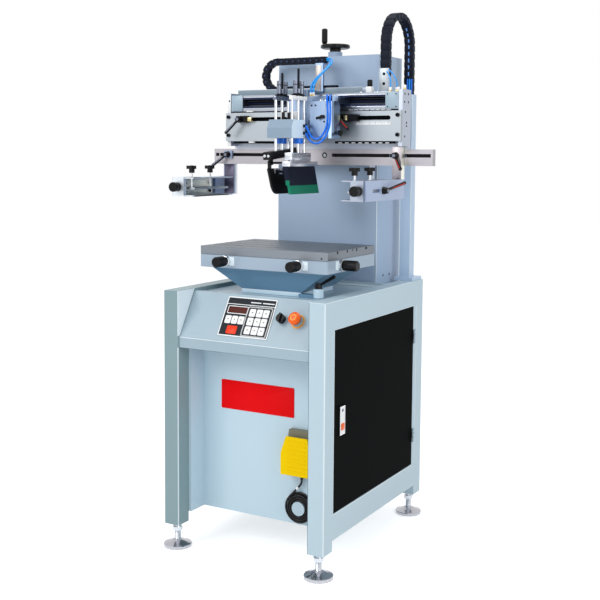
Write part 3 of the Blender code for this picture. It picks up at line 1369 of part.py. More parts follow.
def build_head_plates():
    """Slotted front plate, belt module and the long screen beam."""
    back = SIDE_PLATE_FRONT_Y - SEAT_GAP
    outline = corners(around(0, HEAD_HALF_WIDTH), FRONT_PLATE_Z)
    slots = [
        stadium(PLATE_SLOT_X, PLATE_SLOT_Z, PLATE_SLOT_HALF),
        stadium(mirrored(PLATE_SLOT_X), PLATE_SLOT_Z, PLATE_SLOT_HALF),
    ]
    plate = prism("head_front_plate", [outline, *slots], "XZ", (back - FRONT_PLATE_THICK, back))
    finish(plate, "aluminium")

    half = MODULE_HALF_LENGTH
    module = box("rail_module", around(0, half), (MODULE_FRONT_Y, BACK_PLATE_FRONT_Y - SEAT_GAP),
                 MODULE_Z)
    bay = around(0, half - MODULE_END)
    cut(
        module,
        box("module_recess", bay, (MODULE_FRONT_Y - OVERRUN, MODULE_FRONT_Y + MODULE_RECESS),
            grown(MODULE_Z, OVERRUN)),
        box("module_slot", bay, (MODULE_FRONT_Y - OVERRUN, MODULE_FRONT_Y + MODULE_SLOT_DEPTH),
            MODULE_SLOT_Z),
    )
    finish(module, "aluminium")

    beam = box("screen_beam", around(0, BEAM_HALF_LENGTH), BEAM_Y, (BEAM_TOP - BEAM_HEIGHT, BEAM_TOP))
    slot_z = around(BEAM_SLOT_Z, BEAM_SLOT_HALF)
    through = grown(BEAM_Y, OVERRUN)
    cut(
        beam,
        box("beam_slot_right", BEAM_SLOT_X, through, slot_z),
        box("beam_slot_left", mirrored(BEAM_SLOT_X), through, slot_z),
        rod("beam_hole", (BEAM_HOLE_X, through[0], BEAM_SLOT_Z),
            (BEAM_HOLE_X, through[1], BEAM_SLOT_Z), BEAM_HOLE_RADIUS),
        rod("beam_sink", (BEAM_HOLE_X, through[0], BEAM_SLOT_Z),
            (BEAM_HOLE_X, BEAM_Y[0] + BEAM_SINK_DEPTH, BEAM_SLOT_Z), BEAM_SINK_RADIUS),
    )
    finish(beam, "aluminium")


def travel_stop(name, x, hub_x, tip):
    """Stop block clamped through the front plate's slot by its lever."""
    plate_front = SIDE_PLATE_FRONT_Y - SEAT_GAP - FRONT_PLATE_THICK
    plate_back = SIDE_PLATE_FRONT_Y - SEAT_GAP
    stop = box(name, x, (STOP_BODY_FRONT_Y, plate_front - SEAT_GAP), STOP_BODY_Z)
    nut_y = (plate_back + SEAT_GAP, plate_back + SEAT_GAP + STOP_NUT_THICK)
    lever_seat = (hub_x, STOP_BODY_FRONT_Y + WELD_IN, STOP_HUB_Z)
    lever_tip = (tip[0], STOP_BODY_FRONT_Y - LEVER_HUB_LENGTH, tip[1])
    stem_z = PLATE_SLOT_Z
    join(
        stop,
        rod(f"{name}_stem", (hub_x, plate_front - OVERRUN, stem_z),
            (hub_x, nut_y[1] - STEP_IN, stem_z),
            STOP_STEM_RADIUS),
        box(f"{name}_nut", around(hub_x, STOP_NUT_HALF), nut_y, around(stem_z, STOP_NUT_HALF)),
        clamp_lever(f"{name}_lever", lever_seat, FORWARD, lever_tip),
    )
    finish(stop, "black_plastic", (hub_x, plate_front, stem_z))


def build_travel_stops():
    """One travel stop in each slot of the front plate."""
    travel_stop("travel_stop_left", STOP_LEFT_X, STOP_LEFT_HUB_X, STOP_LEFT_TIP)
    travel_stop("travel_stop_right", STOP_RIGHT_X, STOP_RIGHT_HUB_X, STOP_RIGHT_TIP)


# Carriage

CHAIN_LOW_Z = TRAY_FLOOR_TOP + SEAT_GAP + CARRIAGE_CHAIN_HALF
CHAIN_HIGH_Z = CHAIN_LOW_Z + 2 * CARRIAGE_CHAIN_RADIUS
CHAIN_SHELF_TOP = CHAIN_HIGH_Z - CARRIAGE_CHAIN_HALF - SEAT_GAP


def build_carriage():
    """Carriage plate with its module tongue, round cover, rod block and chain bracket."""
    body = box("carriage_body", CARRIAGE_X, CARRIAGE_Y, CARRIAGE_Z)
    tongue_z = grown(MODULE_SLOT_Z, -TONGUE_CLEARANCE)
    front, back = CARRIAGE_Y[0] + STEP_IN, CARRIAGE_Y[1] - STEP_IN
    arm_bottom = STRIP_TOP - STRIP_ARM
    shelf_bottom = CHAIN_SHELF_TOP - CHAIN_SHELF
    shelf_back = CARRIAGE_CHAIN_Y + CARRIAGE_CHAIN_WIDTH / 2
    bracket = [
        (front, CARRIAGE_Z[1] - WELD_IN), (back, CARRIAGE_Z[1] - WELD_IN), (back, arm_bottom),
        (CHAIN_PLATE_Y[1], arm_bottom), (CHAIN_PLATE_Y[1], shelf_bottom),
        (shelf_back, shelf_bottom), (shelf_back, CHAIN_SHELF_TOP),
        (CHAIN_PLATE_Y[0], CHAIN_SHELF_TOP), (CHAIN_PLATE_Y[0], STRIP_TOP), (front, STRIP_TOP),
    ]
    join(
        body,
        box("module_tongue", TONGUE_X, (CARRIAGE_Y[1] - WELD_IN, TONGUE_BACK_Y), tongue_z),
        prism("chain_bracket", [bracket], "YZ", STRIP_X),
    )
    cover_back = CARRIAGE_Y[0] + COVER_CORNER + WELD_IN
    cover = prism("carriage_cover", [rounded(COVER_X, (COVER_FRONT_Y, cover_back), COVER_CORNER)],
                  "XY", (CARRIAGE_Z[0] + STEP_IN, COVER_TOP))
    cut(cover, box("cover_back", grown(COVER_X, OVERRUN),
                   (CARRIAGE_Y[0] + WELD_IN, cover_back + OVERRUN), grown(CARRIAGE_Z, OVERRUN)))
    join(
        body,
        cover,
        box("rod_block", REAR_BLOCK_X, (REAR_BLOCK_FRONT_Y, CARRIAGE_Y[0] + WELD_IN), REAR_BLOCK_Z),
    )
    for x in (FLOOD_X, SQUEEGEE_X):
        cut(body, rod(f"rear_bore_{x}", (x, REAR_ROD_Y, REAR_BLOCK_Z[0] - OVERRUN),
                      (x, REAR_ROD_Y, REAR_BLOCK_Z[1] + OVERRUN), ROD_RADIUS + RUN_GAP))
    finish(body, "aluminium")

    lean_y = TOOL_BOX_Y[0] + TOOL_BOX_LEAN
    outline = [
        (TOOL_BOX_Y[0], TOOL_BOX_Z[0]), (TOOL_BOX_Y[1], TOOL_BOX_Z[0]),
        (TOOL_BOX_Y[1], TOOL_BOX_Z[1]), (lean_y, TOOL_BOX_Z[1]),
        (TOOL_BOX_Y[0], TOOL_BOX_CREASE_Z),
    ]
    tool_box = prism("tool_box", [outline], "YZ", TOOL_BOX_X)
    for x in (FLOOD_X, SQUEEGEE_X):
        join(tool_box, rod(f"cylinder_{x}", (x, CENTRE_ROD_Y, CYLINDER_BOTTOM),
                           (x, CENTRE_ROD_Y, TOOL_BOX_Z[0] + WELD_IN), CYLINDER_RADIUS,
                           BORE_SIDES))
        for y in (FRONT_ROD_Y, CENTRE_ROD_Y):
            cut(tool_box, rod(f"tool_bore_{x}_{y}", (x, y, CYLINDER_BOTTOM - OVERRUN),
                              (x, y, TOOL_BOX_Z[1] + OVERRUN), ROD_RADIUS + RUN_GAP))
    finish(tool_box, "cabinet_paint")


def tool_rods(name, x, stroke_top, carrier):
    """Two guide rods and a piston rod, tied by a crosshead above and the tool's carrier below."""
    low = ROD_BOTTOM
    head = CROSSHEAD_Z
    for rod_name, y in (("front", FRONT_ROD_Y), ("rear", REAR_ROD_Y), ("centre", CENTRE_ROD_Y)):
        join(carrier, rod(f"{name}_{rod_name}", (x, y, low), (x, y, head[0] + WELD_IN), ROD_RADIUS))
    span = (FRONT_ROD_Y - CROSSHEAD_END, REAR_ROD_Y + CROSSHEAD_END)
    join(carrier, box(f"{name}_crosshead", around(x, CROSSHEAD_HALF), span, head))
    join(carrier, rod(f"{name}_stroke", (x, CENTRE_ROD_Y, head[1] - WELD_IN),
                      (x, CENTRE_ROD_Y, stroke_top), STROKE_RADIUS, PIN_SIDES))
    join(carrier, rod(f"{name}_stroke_nut", (x, CENTRE_ROD_Y, STROKE_NUT_Z[0]),
                      (x, CENTRE_ROD_Y, STROKE_NUT_Z[1]), STROKE_NUT_RADIUS, PIN_SIDES))
    for side in (-1, 1):
        y = CENTRE_ROD_Y + side * FLANKER_OFFSET
        join(carrier, rod(f"{name}_flanker_{side}", (x, y, head[1] - WELD_IN), (x, y, FLANKER_TOP),
                          FLANKER_RADIUS, PIN_SIDES))


def build_squeegee():
    """Squeegee rods with the carrier, the tilting holder and its rubber blade."""
    carrier = box("squeegee_rods", CARRIER_X, CARRIER_Y, CARRIER_Z)
    join(
        carrier,
        box("tilt_web", around(TILT_X, TILT_WEB / 2), CARRIER_Y, (TILT_Z, CARRIER_Z[0] + WELD_IN)),
        rod("tilt_pin", (TILT_X, BLADE_Y[0], TILT_Z), (TILT_X, BLADE_Y[1], TILT_Z),
            TILT_PIN_RADIUS),
    )
    tool_rods("squeegee", SQUEEGEE_X, SQUEEGEE_STROKE_TOP, carrier)
    finish(carrier, "steel", (SQUEEGEE_X, CENTRE_ROD_Y, CARRIER_Z[0]))

    bar_low, bar_high = HOLDER_BAR_Z
    skirt_left = HOLDER_BAR_X[0] + SEAT_GAP
    skirt_right = skirt_left + HOLDER_SKIRT_THICK
    skirt = [
        (skirt_left, bar_low + WELD_IN), (skirt_left, bar_low),
        (HOLDER_FOOT_X - HOLDER_SKIRT_THICK, HOLDER_FOOT_Z), (HOLDER_FOOT_X, HOLDER_FOOT_Z),
        (skirt_right, bar_low), (skirt_right, bar_low + WELD_IN),
    ]
    holder = box("squeegee_holder", HOLDER_BAR_X, BLADE_Y, (bar_low, bar_high))
    skirt_y = grown(BLADE_Y, -SEAT_GAP)
    join(holder, prism("holder_skirt", [skirt], "XZ", skirt_y))
    groove_y = grown(BLADE_Y, OVERRUN)
    cut(holder, rod("tilt_bore", (TILT_X, groove_y[0], TILT_Z), (TILT_X, groove_y[1], TILT_Z),
                    TILT_BORE_RADIUS, BORE_SIDES))
    tilt_axis = (TILT_X, CENTRE_ROD_Y, TILT_Z)
    finish(holder, "holder_navy", tilt_axis)

    top_z = HOLDER_FOOT_Z - SEAT_GAP
    rubber = [
        (HOLDER_FOOT_X - RUBBER_THICK, top_z), (RUBBER_BOTTOM_X - RUBBER_THICK, RUBBER_BOTTOM_Z),
        (RUBBER_BOTTOM_X, RUBBER_BOTTOM_Z), (HOLDER_FOOT_X, top_z),
    ]
    finish(prism("squeegee_blade", [rubber], "XZ", BLADE_Y), "squeegee_rubber", tilt_axis)


def build_flood_bar():
    """Flood rods with their tilted carrier bar, and the blade that hangs on its two lugs."""
    half = FLOOD_CARRIER_LENGTH / 2
    tilted = (
        Matrix.Translation((0, FLOOD_CARRIER_Y, FLOOD_CARRIER_Z))
        @ Matrix.Rotation(FLOOD_CARRIER_TILT, 4, "X")
    )
    carrier = box("flood_rods", FLOOD_CARRIER_X, (-half, half),
                  around(0, FLOOD_CARRIER_HEIGHT / 2), tilted)
    for number, y in enumerate(FLOOD_LUG_Y):
        join(carrier, box(f"flood_lug_{number}", around(FLOOD_PIVOT_X, FLOOD_LUG_HALF),
                          around(y, FLOOD_LUG_THICK / 2),
                          (FLOOD_PIVOT_Z - FLOOD_LUG_HALF, FLOOD_CARRIER_Z)))
    ends = (FLOOD_LUG_Y[0] - FLOOD_LUG_THICK * 2, FLOOD_LUG_Y[1] + FLOOD_LUG_THICK * 2)
    join(carrier, rod("flood_pin", (FLOOD_PIVOT_X, ends[0], FLOOD_PIVOT_Z),
                      (FLOOD_PIVOT_X, ends[1], FLOOD_PIVOT_Z), FLOOD_PIN_RADIUS))
    tool_rods("flood", FLOOD_X, FLOOD_STROKE_TOP, carrier)
    finish(carrier, "black_plastic", (FLOOD_X, CENTRE_ROD_Y, FLOOD_CARRIER_Z))

    slant = math.atan2(FLOOD_BLADE_FOOT_X - FLOOD_BLADE_TOP_X,
                       FLOOD_BLADE_TOP_Z - FLOOD_BLADE_BOTTOM)
    drop = (FLOOD_BLADE_TOP_Z - FLOOD_BLADE_BOTTOM) / math.cos(slant)
    hang = (
        Matrix.Translation((FLOOD_BLADE_TOP_X, 0, FLOOD_BLADE_TOP_Z))
        @ Matrix.Rotation(-slant, 4, "Y")
    )
    above = 2 * FLOOD_BLADE_CORNER
    outline = rounded(BLADE_Y, (-drop, above), FLOOD_BLADE_CORNER)
    flood = prism("flood_bar", [outline], "YZ", (-FLOOD_BLADE_THICK, 0), hang)
    cut(flood, box("flood_top", (-FLOOD_BLADE_CORNER, FLOOD_BLADE_CORNER),
                   grown(BLADE_Y, OVERRUN), (0, above + OVERRUN), hang))
    for number, y in enumerate(FLOOD_LUG_Y):
        side = 1 if number else -1
        start = y + side * (FLOOD_LUG_THICK / 2 + RUN_GAP)
        end = start + side * FLOOD_EAR_THICK
        span = (min(start, end), max(start, end))
        ear_x = (FLOOD_PIVOT_X - FLOOD_EAR_WIDTH / 2, FLOOD_PIVOT_X + FLOOD_EAR_FRONT)
        ear = box(f"flood_ear_{number}", ear_x, span,
                  (FLOOD_BLADE_TOP_Z - FLOOD_EAR_WIDTH, FLOOD_PIVOT_Z + FLOOD_LUG_HALF))
        join(flood, ear)
        cut(flood, rod(f"flood_bore_{number}", (FLOOD_PIVOT_X, span[0] - OVERRUN, FLOOD_PIVOT_Z),
                       (FLOOD_PIVOT_X, span[1] + OVERRUN, FLOOD_PIVOT_Z), FLOOD_PIN_BORE))
    finish(flood, "black_plastic", (FLOOD_PIVOT_X, CENTRE_ROD_Y, FLOOD_PIVOT_Z))


# Drag chains

def chain_route(start, heading, first_leg, radius, side, last_leg):
    """Function that gives a point at a distance along a chain and an offset to its outer side."""
    start, heading = Vector(start), Vector(heading)
    inward = Vector((-heading.y, heading.x)) * side
    centre = start + heading * first_leg + inward * radius
    arc = math.pi * radius

    def point(distance, offset=0):
        if distance <= first_leg:
            return start + heading * distance - inward * offset
        if distance <= first_leg + arc:
            angle = (distance - first_leg) / radius
            spoke = heading * math.sin(angle) - inward * math.cos(angle)
            return centre + spoke * (radius + offset)
        beyond = distance - first_leg - arc
        return centre + inward * (radius + offset) - heading * beyond

    return point, first_leg + arc + last_leg


def drag_chain(name, route, plane, middle, width, half, pitch):
    """Chain of links as one piece: notched side plates, a bore, and windows between the bars."""
    point, length = route
    links = round(length / pitch)
    step = length / links
    stops = []
    for link in range(links):
        begin = link * step
        stops += [
            (begin, LINK_NOTCH_DEPTH), (begin + LINK_NOTCH, 0), (begin + step - LINK_NOTCH, 0),
        ]
    stops.append((length, LINK_NOTCH_DEPTH))
    band = [(point(stop, half - depth), point(stop, depth - half)) for stop, depth in stops]
    chain = ribbon(name, band, plane, around(middle, width / 2))

    bore_stops = [-OVERRUN] + [step * link for link in range(links + 1)] + [length + OVERRUN]
    bore_half = half - CHAIN_WALL
    bore = [(point(stop, bore_half), point(stop, -bore_half)) for stop in bore_stops]
    bore_width = width / 2 - CHAIN_SIDE
    window = step * LINK_WINDOW_SHARE
    turn, _ = PLANES[plane]
    windows = []
    for link in range(1, links):
        here = point(link * step)
        ahead = point(link * step + window / 2) - point(link * step - window / 2)
        angle = math.atan2(ahead.y, ahead.x)
        size = Vector((window, 2 * (half + OVERRUN), 2 * bore_width - CHAIN_SIDE))
        sign = PLANES[plane][1]
        local = Matrix.Translation((here.x, here.y, sign * middle)) @ Matrix.Rotation(angle, 4, "Z")
        windows.append((size, turn @ local))
    cut(
        chain,
        ribbon(f"{name}_bore", bore, plane, around(middle, bore_width)),
        loop_cut(f"{name}_windows", windows),
    )
    return finish(chain, "chain_black")


def build_chains():
    """Carriage chain over the tray, and lift chain from the head's bracket into the post."""
    upper_end = STRIP_X[1]
    route = chain_route(
        (upper_end, CHAIN_HIGH_Z), (-1, 0), upper_end - CARRIAGE_CHAIN_ARC_X,
        CARRIAGE_CHAIN_RADIUS, 1, CARRIAGE_CHAIN_END_X - CARRIAGE_CHAIN_ARC_X,
    )
    drag_chain("carriage_chain", route, "XZ", CARRIAGE_CHAIN_Y, CARRIAGE_CHAIN_WIDTH,
               CARRIAGE_CHAIN_HALF, CARRIAGE_CHAIN_PITCH)
    left_leg = CHAIN_BRACKET_BACK_Y + SEAT_GAP + LIFT_CHAIN_HALF
    radius = (POST_Y - left_leg) / 2
    route = chain_route(
        (left_leg, LIFT_CHAIN_START_Z), (0, 1), LIFT_CHAIN_ARC_Z - LIFT_CHAIN_START_Z,
        radius, -1, LIFT_CHAIN_ARC_Z - LIFT_CHAIN_END_Z,
    )
    drag_chain("lift_chain", route, "YZ", POST_X, LIFT_CHAIN_WIDTH, LIFT_CHAIN_HALF,
               LIFT_CHAIN_PITCH)


def smooth_route(points, spacing):
    """Evenly spaced points on a smooth curve through a route's own points."""
    guides = [Vector(point) for point in points]
    guides = [2 * guides[0] - guides[1], *guides, 2 * guides[-1] - guides[-2]]
    fine = []
    for index in range(1, len(guides) - 2):
        before, start, end, after = guides[index - 1:index + 3]
        pieces = max(2, round((end - start).length / spacing))
        for piece in range(pieces):
            part = piece / pieces
            fine.append(
                start
                + (end - before) * (part / 2)
                + (2 * before - 5 * start + 4 * end - after) * (part ** 2 / 2)
                + (3 * start - before - 3 * end + after) * (part ** 3 / 2)
            )
    fine.append(guides[-2])
    return fine


# Screen clamps

def clamp_arm_right():
    """Right arm: hanger in front of the beam, stud and keeper behind it, and a slotted side plate."""
    inner = RIGHT_PLATE_X - CLAMP_PLATE
    slot = stadium(CLAMP_SLOT_Y, SIDE_LEVER_Z, CLAMP_SLOT_HALF)
    outline = corners((CLAMP_FRONT_Y, RIGHT_PLATE_BACK_Y), CLAMP_Z)
    arm = prism("clamp_arm_right", [outline, slot], "YZ", (inner, RIGHT_PLATE_X))
    hanger_back = BEAM_Y[0] - SEAT_GAP
    hanger = (hanger_back - RIGHT_HANGER_DEPTH, hanger_back)
    keeper = (BEAM_Y[1] + SEAT_GAP, BEAM_Y[1] + SEAT_GAP + KEEPER_THICK)
    join(
        arm,
        box("right_hanger", (RIGHT_HANGER_X, RIGHT_PLATE_X - STEP_IN), hanger,
            (CLAMP_Z[0] + STEP_IN, RIGHT_HANGER_TOP)),
        rod("right_stud", (RIGHT_STUD_X, hanger[1] - WELD_IN, BEAM_SLOT_Z),
            (RIGHT_STUD_X, keeper[0] + WELD_IN, BEAM_SLOT_Z), STUD_RADIUS),
        box("right_keeper", around(RIGHT_STUD_X, KEEPER_HALF_WIDTH), keeper,
            around(BEAM_SLOT_Z, KEEPER_HALF_HEIGHT)),
    )
    finish(arm, "aluminium", (RIGHT_STUD_X, hanger[1], BEAM_SLOT_Z))
    clamp_lever("clamp_right_beam_lever", (RIGHT_STUD_X, hanger[0] - SEAT_GAP, BEAM_SLOT_Z),
                FORWARD, (RIGHT_LEVER_TIP[0], hanger[0] - LEVER_HUB_LENGTH - LEVER_LIFT,
                          RIGHT_LEVER_TIP[1]))
    clamp_lever("clamp_right_side_lever", (RIGHT_PLATE_X + SEAT_GAP, SIDE_LEVER_Y, SIDE_LEVER_Z),
                RIGHT, (RIGHT_PLATE_X + LEVER_HUB_LENGTH + LEVER_LIFT, *SIDE_LEVER_TIP))


def clamp_arm_left():
    """Left arm: hanger behind the beam, stud and keeper in front of it, and a side plate."""
    inner = LEFT_PLATE_X + CLAMP_PLATE
    hanger_front = BEAM_Y[1] + SEAT_GAP
    hanger = (hanger_front, hanger_front + LEFT_HANGER_DEPTH)
    outline = corners((CLAMP_FRONT_Y, hanger[1]), CLAMP_Z)
    arm = prism("clamp_arm_left", [outline], "YZ", (LEFT_PLATE_X, inner))
    keeper = (BEAM_Y[0] - SEAT_GAP - KEEPER_THICK, BEAM_Y[0] - SEAT_GAP)
    join(
        arm,
        box("left_hanger", (inner - WELD_IN, LEFT_HANGER_X), (hanger[0], hanger[1] - STEP_IN),
            (CLAMP_Z[0] + STEP_IN, LEFT_HANGER_TOP)),
        rod("left_stud", (LEFT_STUD_X, keeper[1] - WELD_IN, BEAM_SLOT_Z),
            (LEFT_STUD_X, hanger[0] + WELD_IN, BEAM_SLOT_Z), STUD_RADIUS),
        box("left_keeper", around(LEFT_STUD_X, KEEPER_HALF_WIDTH), keeper,
            around(BEAM_SLOT_Z, KEEPER_HALF_HEIGHT)),
    )
    finish(arm, "aluminium", (LEFT_STUD_X, hanger[0], BEAM_SLOT_Z))
    clamp_lever("clamp_left_beam_lever", (LEFT_STUD_X, keeper[0] - SEAT_GAP, BEAM_SLOT_Z),
                FORWARD, (LEFT_LEVER_TIP[0], keeper[0] - LEVER_HUB_LENGTH - LEVER_LIFT,
                          LEFT_LEVER_TIP[1]))


def clamp_channel(side, word, plate_inner):
    """Channel, its pressure bar on two star-knob screws, and the end knob that shifts it."""
    back = plate_inner - side * SEAT_GAP

    def across(near, far):
        """Span in X between two distances from the channel's back."""
        values = (back - side * near, back - side * far)
        return (min(values), max(values))

    y = (CLAMP_FRONT_Y, CHANNEL_BACK_Y)
    channel = box(f"clamp_{word}_channel", across(0, CHANNEL_DEPTH), y, CLAMP_Z)
    cut(channel, box(f"{word}_mouth", across(CHANNEL_WEB, CHANNEL_DEPTH + OVERRUN),
                     grown(y, OVERRUN), grown(CLAMP_Z, -CHANNEL_FLANGE)))
    join(channel, box(f"{word}_cap", across(STEP_IN, CHANNEL_CAP_WIDTH), CHANNEL_CAP_Y,
                      grown(CLAMP_Z, -STEP_IN)))
    screw_x = back - side * CLAMP_SCREW_OFFSET
    flange = (CLAMP_Z[1] - CHANNEL_FLANGE - OVERRUN, CLAMP_Z[1] + OVERRUN)
    for number, screw_y in enumerate(CLAMP_SCREW_YS):
        cut(channel, rod(f"{word}_screw_bore_{number}", (screw_x, screw_y, flange[0]),
                         (screw_x, screw_y, flange[1]), CLAMP_SCREW_RADIUS + RUN_GAP))
    knob_x = back - side * END_KNOB_OFFSET
    finish(channel, "aluminium", (knob_x, CHANNEL_CAP_Y[0], END_KNOB_Z))

    bar_middle = CLAMP_SCREW_OFFSET - CLAMP_BAR_SHIFT
    bar = box(f"clamp_{word}_screws", across(*around(bar_middle, CLAMP_BAR_WIDTH / 2)),
              CLAMP_BAR_Y, CLAMP_BAR_Z)
    star_low = STAR_BOTTOM + STAR_HUB
    for number, screw_y in enumerate(CLAMP_SCREW_YS):
        join(
            bar,
            rod(f"{word}_stem_{number}", (screw_x, screw_y, CLAMP_BAR_Z[1] - WELD_IN),
                (screw_x, screw_y, STAR_BOTTOM + WELD_IN), CLAMP_SCREW_RADIUS, PIN_SIDES),
            rod(f"{word}_star_hub_{number}", (screw_x, screw_y, STAR_BOTTOM),
                (screw_x, screw_y, star_low + WELD_IN), STAR_HUB_RADIUS),
            prism(f"{word}_star_{number}", [star_outline(screw_x, screw_y)], "XY",
                  (star_low, star_low + STAR_TOP)),
        )
    finish(bar, "black_plastic", (screw_x, CLAMP_SCREW_YS[0], CLAMP_BAR_Z[0]))

    profile = [
        (0, END_KNOB_LENGTH), (END_KNOB_RADIUS - END_KNOB_ROUND, END_KNOB_LENGTH),
        (END_KNOB_RADIUS, END_KNOB_LENGTH - END_KNOB_ROUND),
        (END_KNOB_RADIUS, END_KNOB_LENGTH / 2), (END_KNOB_WAIST_RADIUS, END_KNOB_LENGTH / 3),
        (END_KNOB_RADIUS, END_KNOB_ROUND), (END_KNOB_RADIUS, 0), (0, 0),
    ]
    finish(turned(f"clamp_{word}_end_knob", profile,
                  (knob_x, CHANNEL_CAP_Y[0] - SEAT_GAP, END_KNOB_Z), FORWARD), "black_plastic")


def build_clamps():
    """Both screen clamps."""
    clamp_arm_right()
    clamp_channel(1, "right", RIGHT_PLATE_X - CLAMP_PLATE)
    clamp_arm_left()
    clamp_channel(-1, "left", LEFT_PLATE_X + CLAMP_PLATE)


# Foot switch and its lead

def build_foot_switch():
    """Switch body on the front panel, and the ribbed pedal that hinges at its lower edge."""
    x = around(PEDAL_X, SWITCH_HALF_WIDTH)
    top = around(PEDAL_X, SWITCH_TOP_HALF)
    outline = [
        (x[0], SWITCH_Z[0]), (x[1], SWITCH_Z[0]), (x[1], PEDAL_TAPER_Z), (top[1], SWITCH_Z[1]),
        (top[0], SWITCH_Z[1]), (x[0], PEDAL_TAPER_Z),
    ]
    body = prism("foot_switch_body", [outline], "XZ", SWITCH_Y)
    pin = around(PEDAL_X, PEDAL_HALF_WIDTH + WELD_IN / 2)
    lug_y = (PEDAL_PIVOT_Y - PEDAL_PIN_RADIUS * 2, SWITCH_Y[0] + WELD_IN)
    join(
        body,
        box("pedal_lug", grown(x, -STEP_IN), lug_y, around(PEDAL_PIVOT_Z, PEDAL_PIN_RADIUS * 2)),
        rod("pedal_pin", (pin[0], PEDAL_PIVOT_Y, PEDAL_PIVOT_Z),
            (pin[1], PEDAL_PIVOT_Y, PEDAL_PIVOT_Z), PEDAL_PIN_RADIUS),
    )
    finish(body, "grey_plastic")

    wide = around(PEDAL_X, PEDAL_HALF_WIDTH)
    narrow = around(PEDAL_X, PEDAL_TOP_HALF_WIDTH)
    face = [
        (wide[0], PEDAL_Z[0]), (wide[1], PEDAL_Z[0]), (wide[1], PEDAL_TAPER_Z),
        (narrow[1], PEDAL_Z[1]), (narrow[0], PEDAL_Z[1]), (wide[0], PEDAL_TAPER_Z),
    ]
    pedal = prism("foot_pedal", [face], "XZ", PEDAL_Y)
    skirt_y = (PEDAL_Y[0] + WELD_IN, PEDAL_SKIRT_BACK_Y)
    skirt_z = grown((PEDAL_Z[0], PEDAL_TAPER_Z), -STEP_IN)
    for side in (-1, 1):
        middle = PEDAL_X + side * (PEDAL_HALF_WIDTH - STEP_IN - PEDAL_SKIRT / 2)
        join(pedal, box(f"pedal_skirt_{side}", around(middle, PEDAL_SKIRT / 2), skirt_y, skirt_z))
    cut(pedal, rod("pedal_bore", (wide[0] - OVERRUN, PEDAL_PIVOT_Y, PEDAL_PIVOT_Z),
                   (wide[1] + OVERRUN, PEDAL_PIVOT_Y, PEDAL_PIVOT_Z),
                   PEDAL_PIN_RADIUS + RUN_GAP))
    ribs = []
    pitch = (PEDAL_Z[1] - PEDAL_Z[0]) / (PEDAL_RIBS + 1)
    for number in range(PEDAL_RIBS):
        height = PEDAL_Z[0] + pitch * (number + 1)
        size = Vector((2 * PEDAL_RIB_HALF, 2 * PEDAL_RIB, PEDAL_RIB_HEIGHT))
        ribs.append((size, Matrix.Translation((PEDAL_X, PEDAL_Y[0], height))))
    join(pedal, loop_cut("pedal_ribs", ribs))
    finish(pedal, "yellow_plastic", (PEDAL_X, PEDAL_PIVOT_Y, PEDAL_PIVOT_Z))


def coil_point(radius, angle, y):
    """Point of the coil at a radius and an angle round its hook."""
    return Vector((COIL_X + radius * math.cos(angle), y, COIL_Z + radius * math.sin(angle)))


def coil_points():
    """Lead that spirals in against the panel's front layer and out again in the layer behind."""
    steps = round(COIL_TURNS * COIL_POINTS)
    climb = COIL_POINTS // 4
    turn = math.tau / COIL_POINTS
    points = []
    for step in range(2 * steps + 1):
        inward = step if step <= steps else 2 * steps - step
        radius = COIL_RADIUS - COIL_STEP * inward / COIL_POINTS
        rise = min(1, max(0, (step - steps + climb) / (2 * climb)))
        y = COIL_FRONT_Y + (COIL_BACK_Y - COIL_FRONT_Y) * rise
        points.append(coil_point(radius, COIL_ANGLE + turn * step, y))
    first, last = points[0], points[-1]
    lead_in = Vector((math.sin(COIL_ANGLE), 0, -math.cos(COIL_ANGLE)))
    end_angle = COIL_ANGLE + turn * 2 * steps
    lead_out = Vector((-math.sin(end_angle), 0, math.cos(end_angle)))
    reach = 2 * LEAD_RADIUS
    return [first + lead_in * reach, *points, last + lead_out * reach]


def least_gap(points, radius):
    """Least clear distance between turns of a tube that aren't neighbours along it."""
    least = math.inf
    skip = COIL_POINTS // 2
    for index, here in enumerate(points):
        for other in points[index + skip:]:
            least = min(least, (here - other).length)
    return least - 2 * radius


def build_lead():
    """Lead of the foot switch: its drop, its coil, and the hook and gland that hold it."""
    coil = coil_points()
    print(f"foot_lead_coil: least gap {least_gap(coil, LEAD_RADIUS) * 1000:.2f} mm")
    finish(tube("foot_lead_coil", coil, LEAD_RADIUS, 1), "rubber_black")
    meet = coil[0] + (coil[0] - coil[1]).normalized() * SEAT_GAP
    before = meet + (coil[0] - coil[1]).normalized() * (2 * LEAD_RADIUS)
    drop = smooth_route([*LEAD_ROUTE, before, meet], 2 * LEAD_RADIUS)
    finish(tube("foot_lead", drop, LEAD_RADIUS, 2), "rubber_black")

    plate_front = FRONT_FACE_Y - SEAT_GAP
    peg_front = COIL_FRONT_Y - LEAD_RADIUS - SEAT_GAP
    hook = box("lead_hook", around(COIL_X, HOOK_HALF), (plate_front - HOOK_SHEET / 2, plate_front),
               around(COIL_Z, HOOK_HALF))
    join(
        hook,
        rod("hook_peg", (COIL_X, plate_front - STEP_IN, COIL_Z),
            (COIL_X, peg_front - PEG_FLANGE / 2, COIL_Z),
            PEG_RADIUS, BORE_SIDES),
        rod("hook_flange", (COIL_X, peg_front, COIL_Z), (COIL_X, peg_front - PEG_FLANGE, COIL_Z),
            PEG_FLANGE_RADIUS, BORE_SIDES),
    )
    finish(hook, "cabinet_paint")


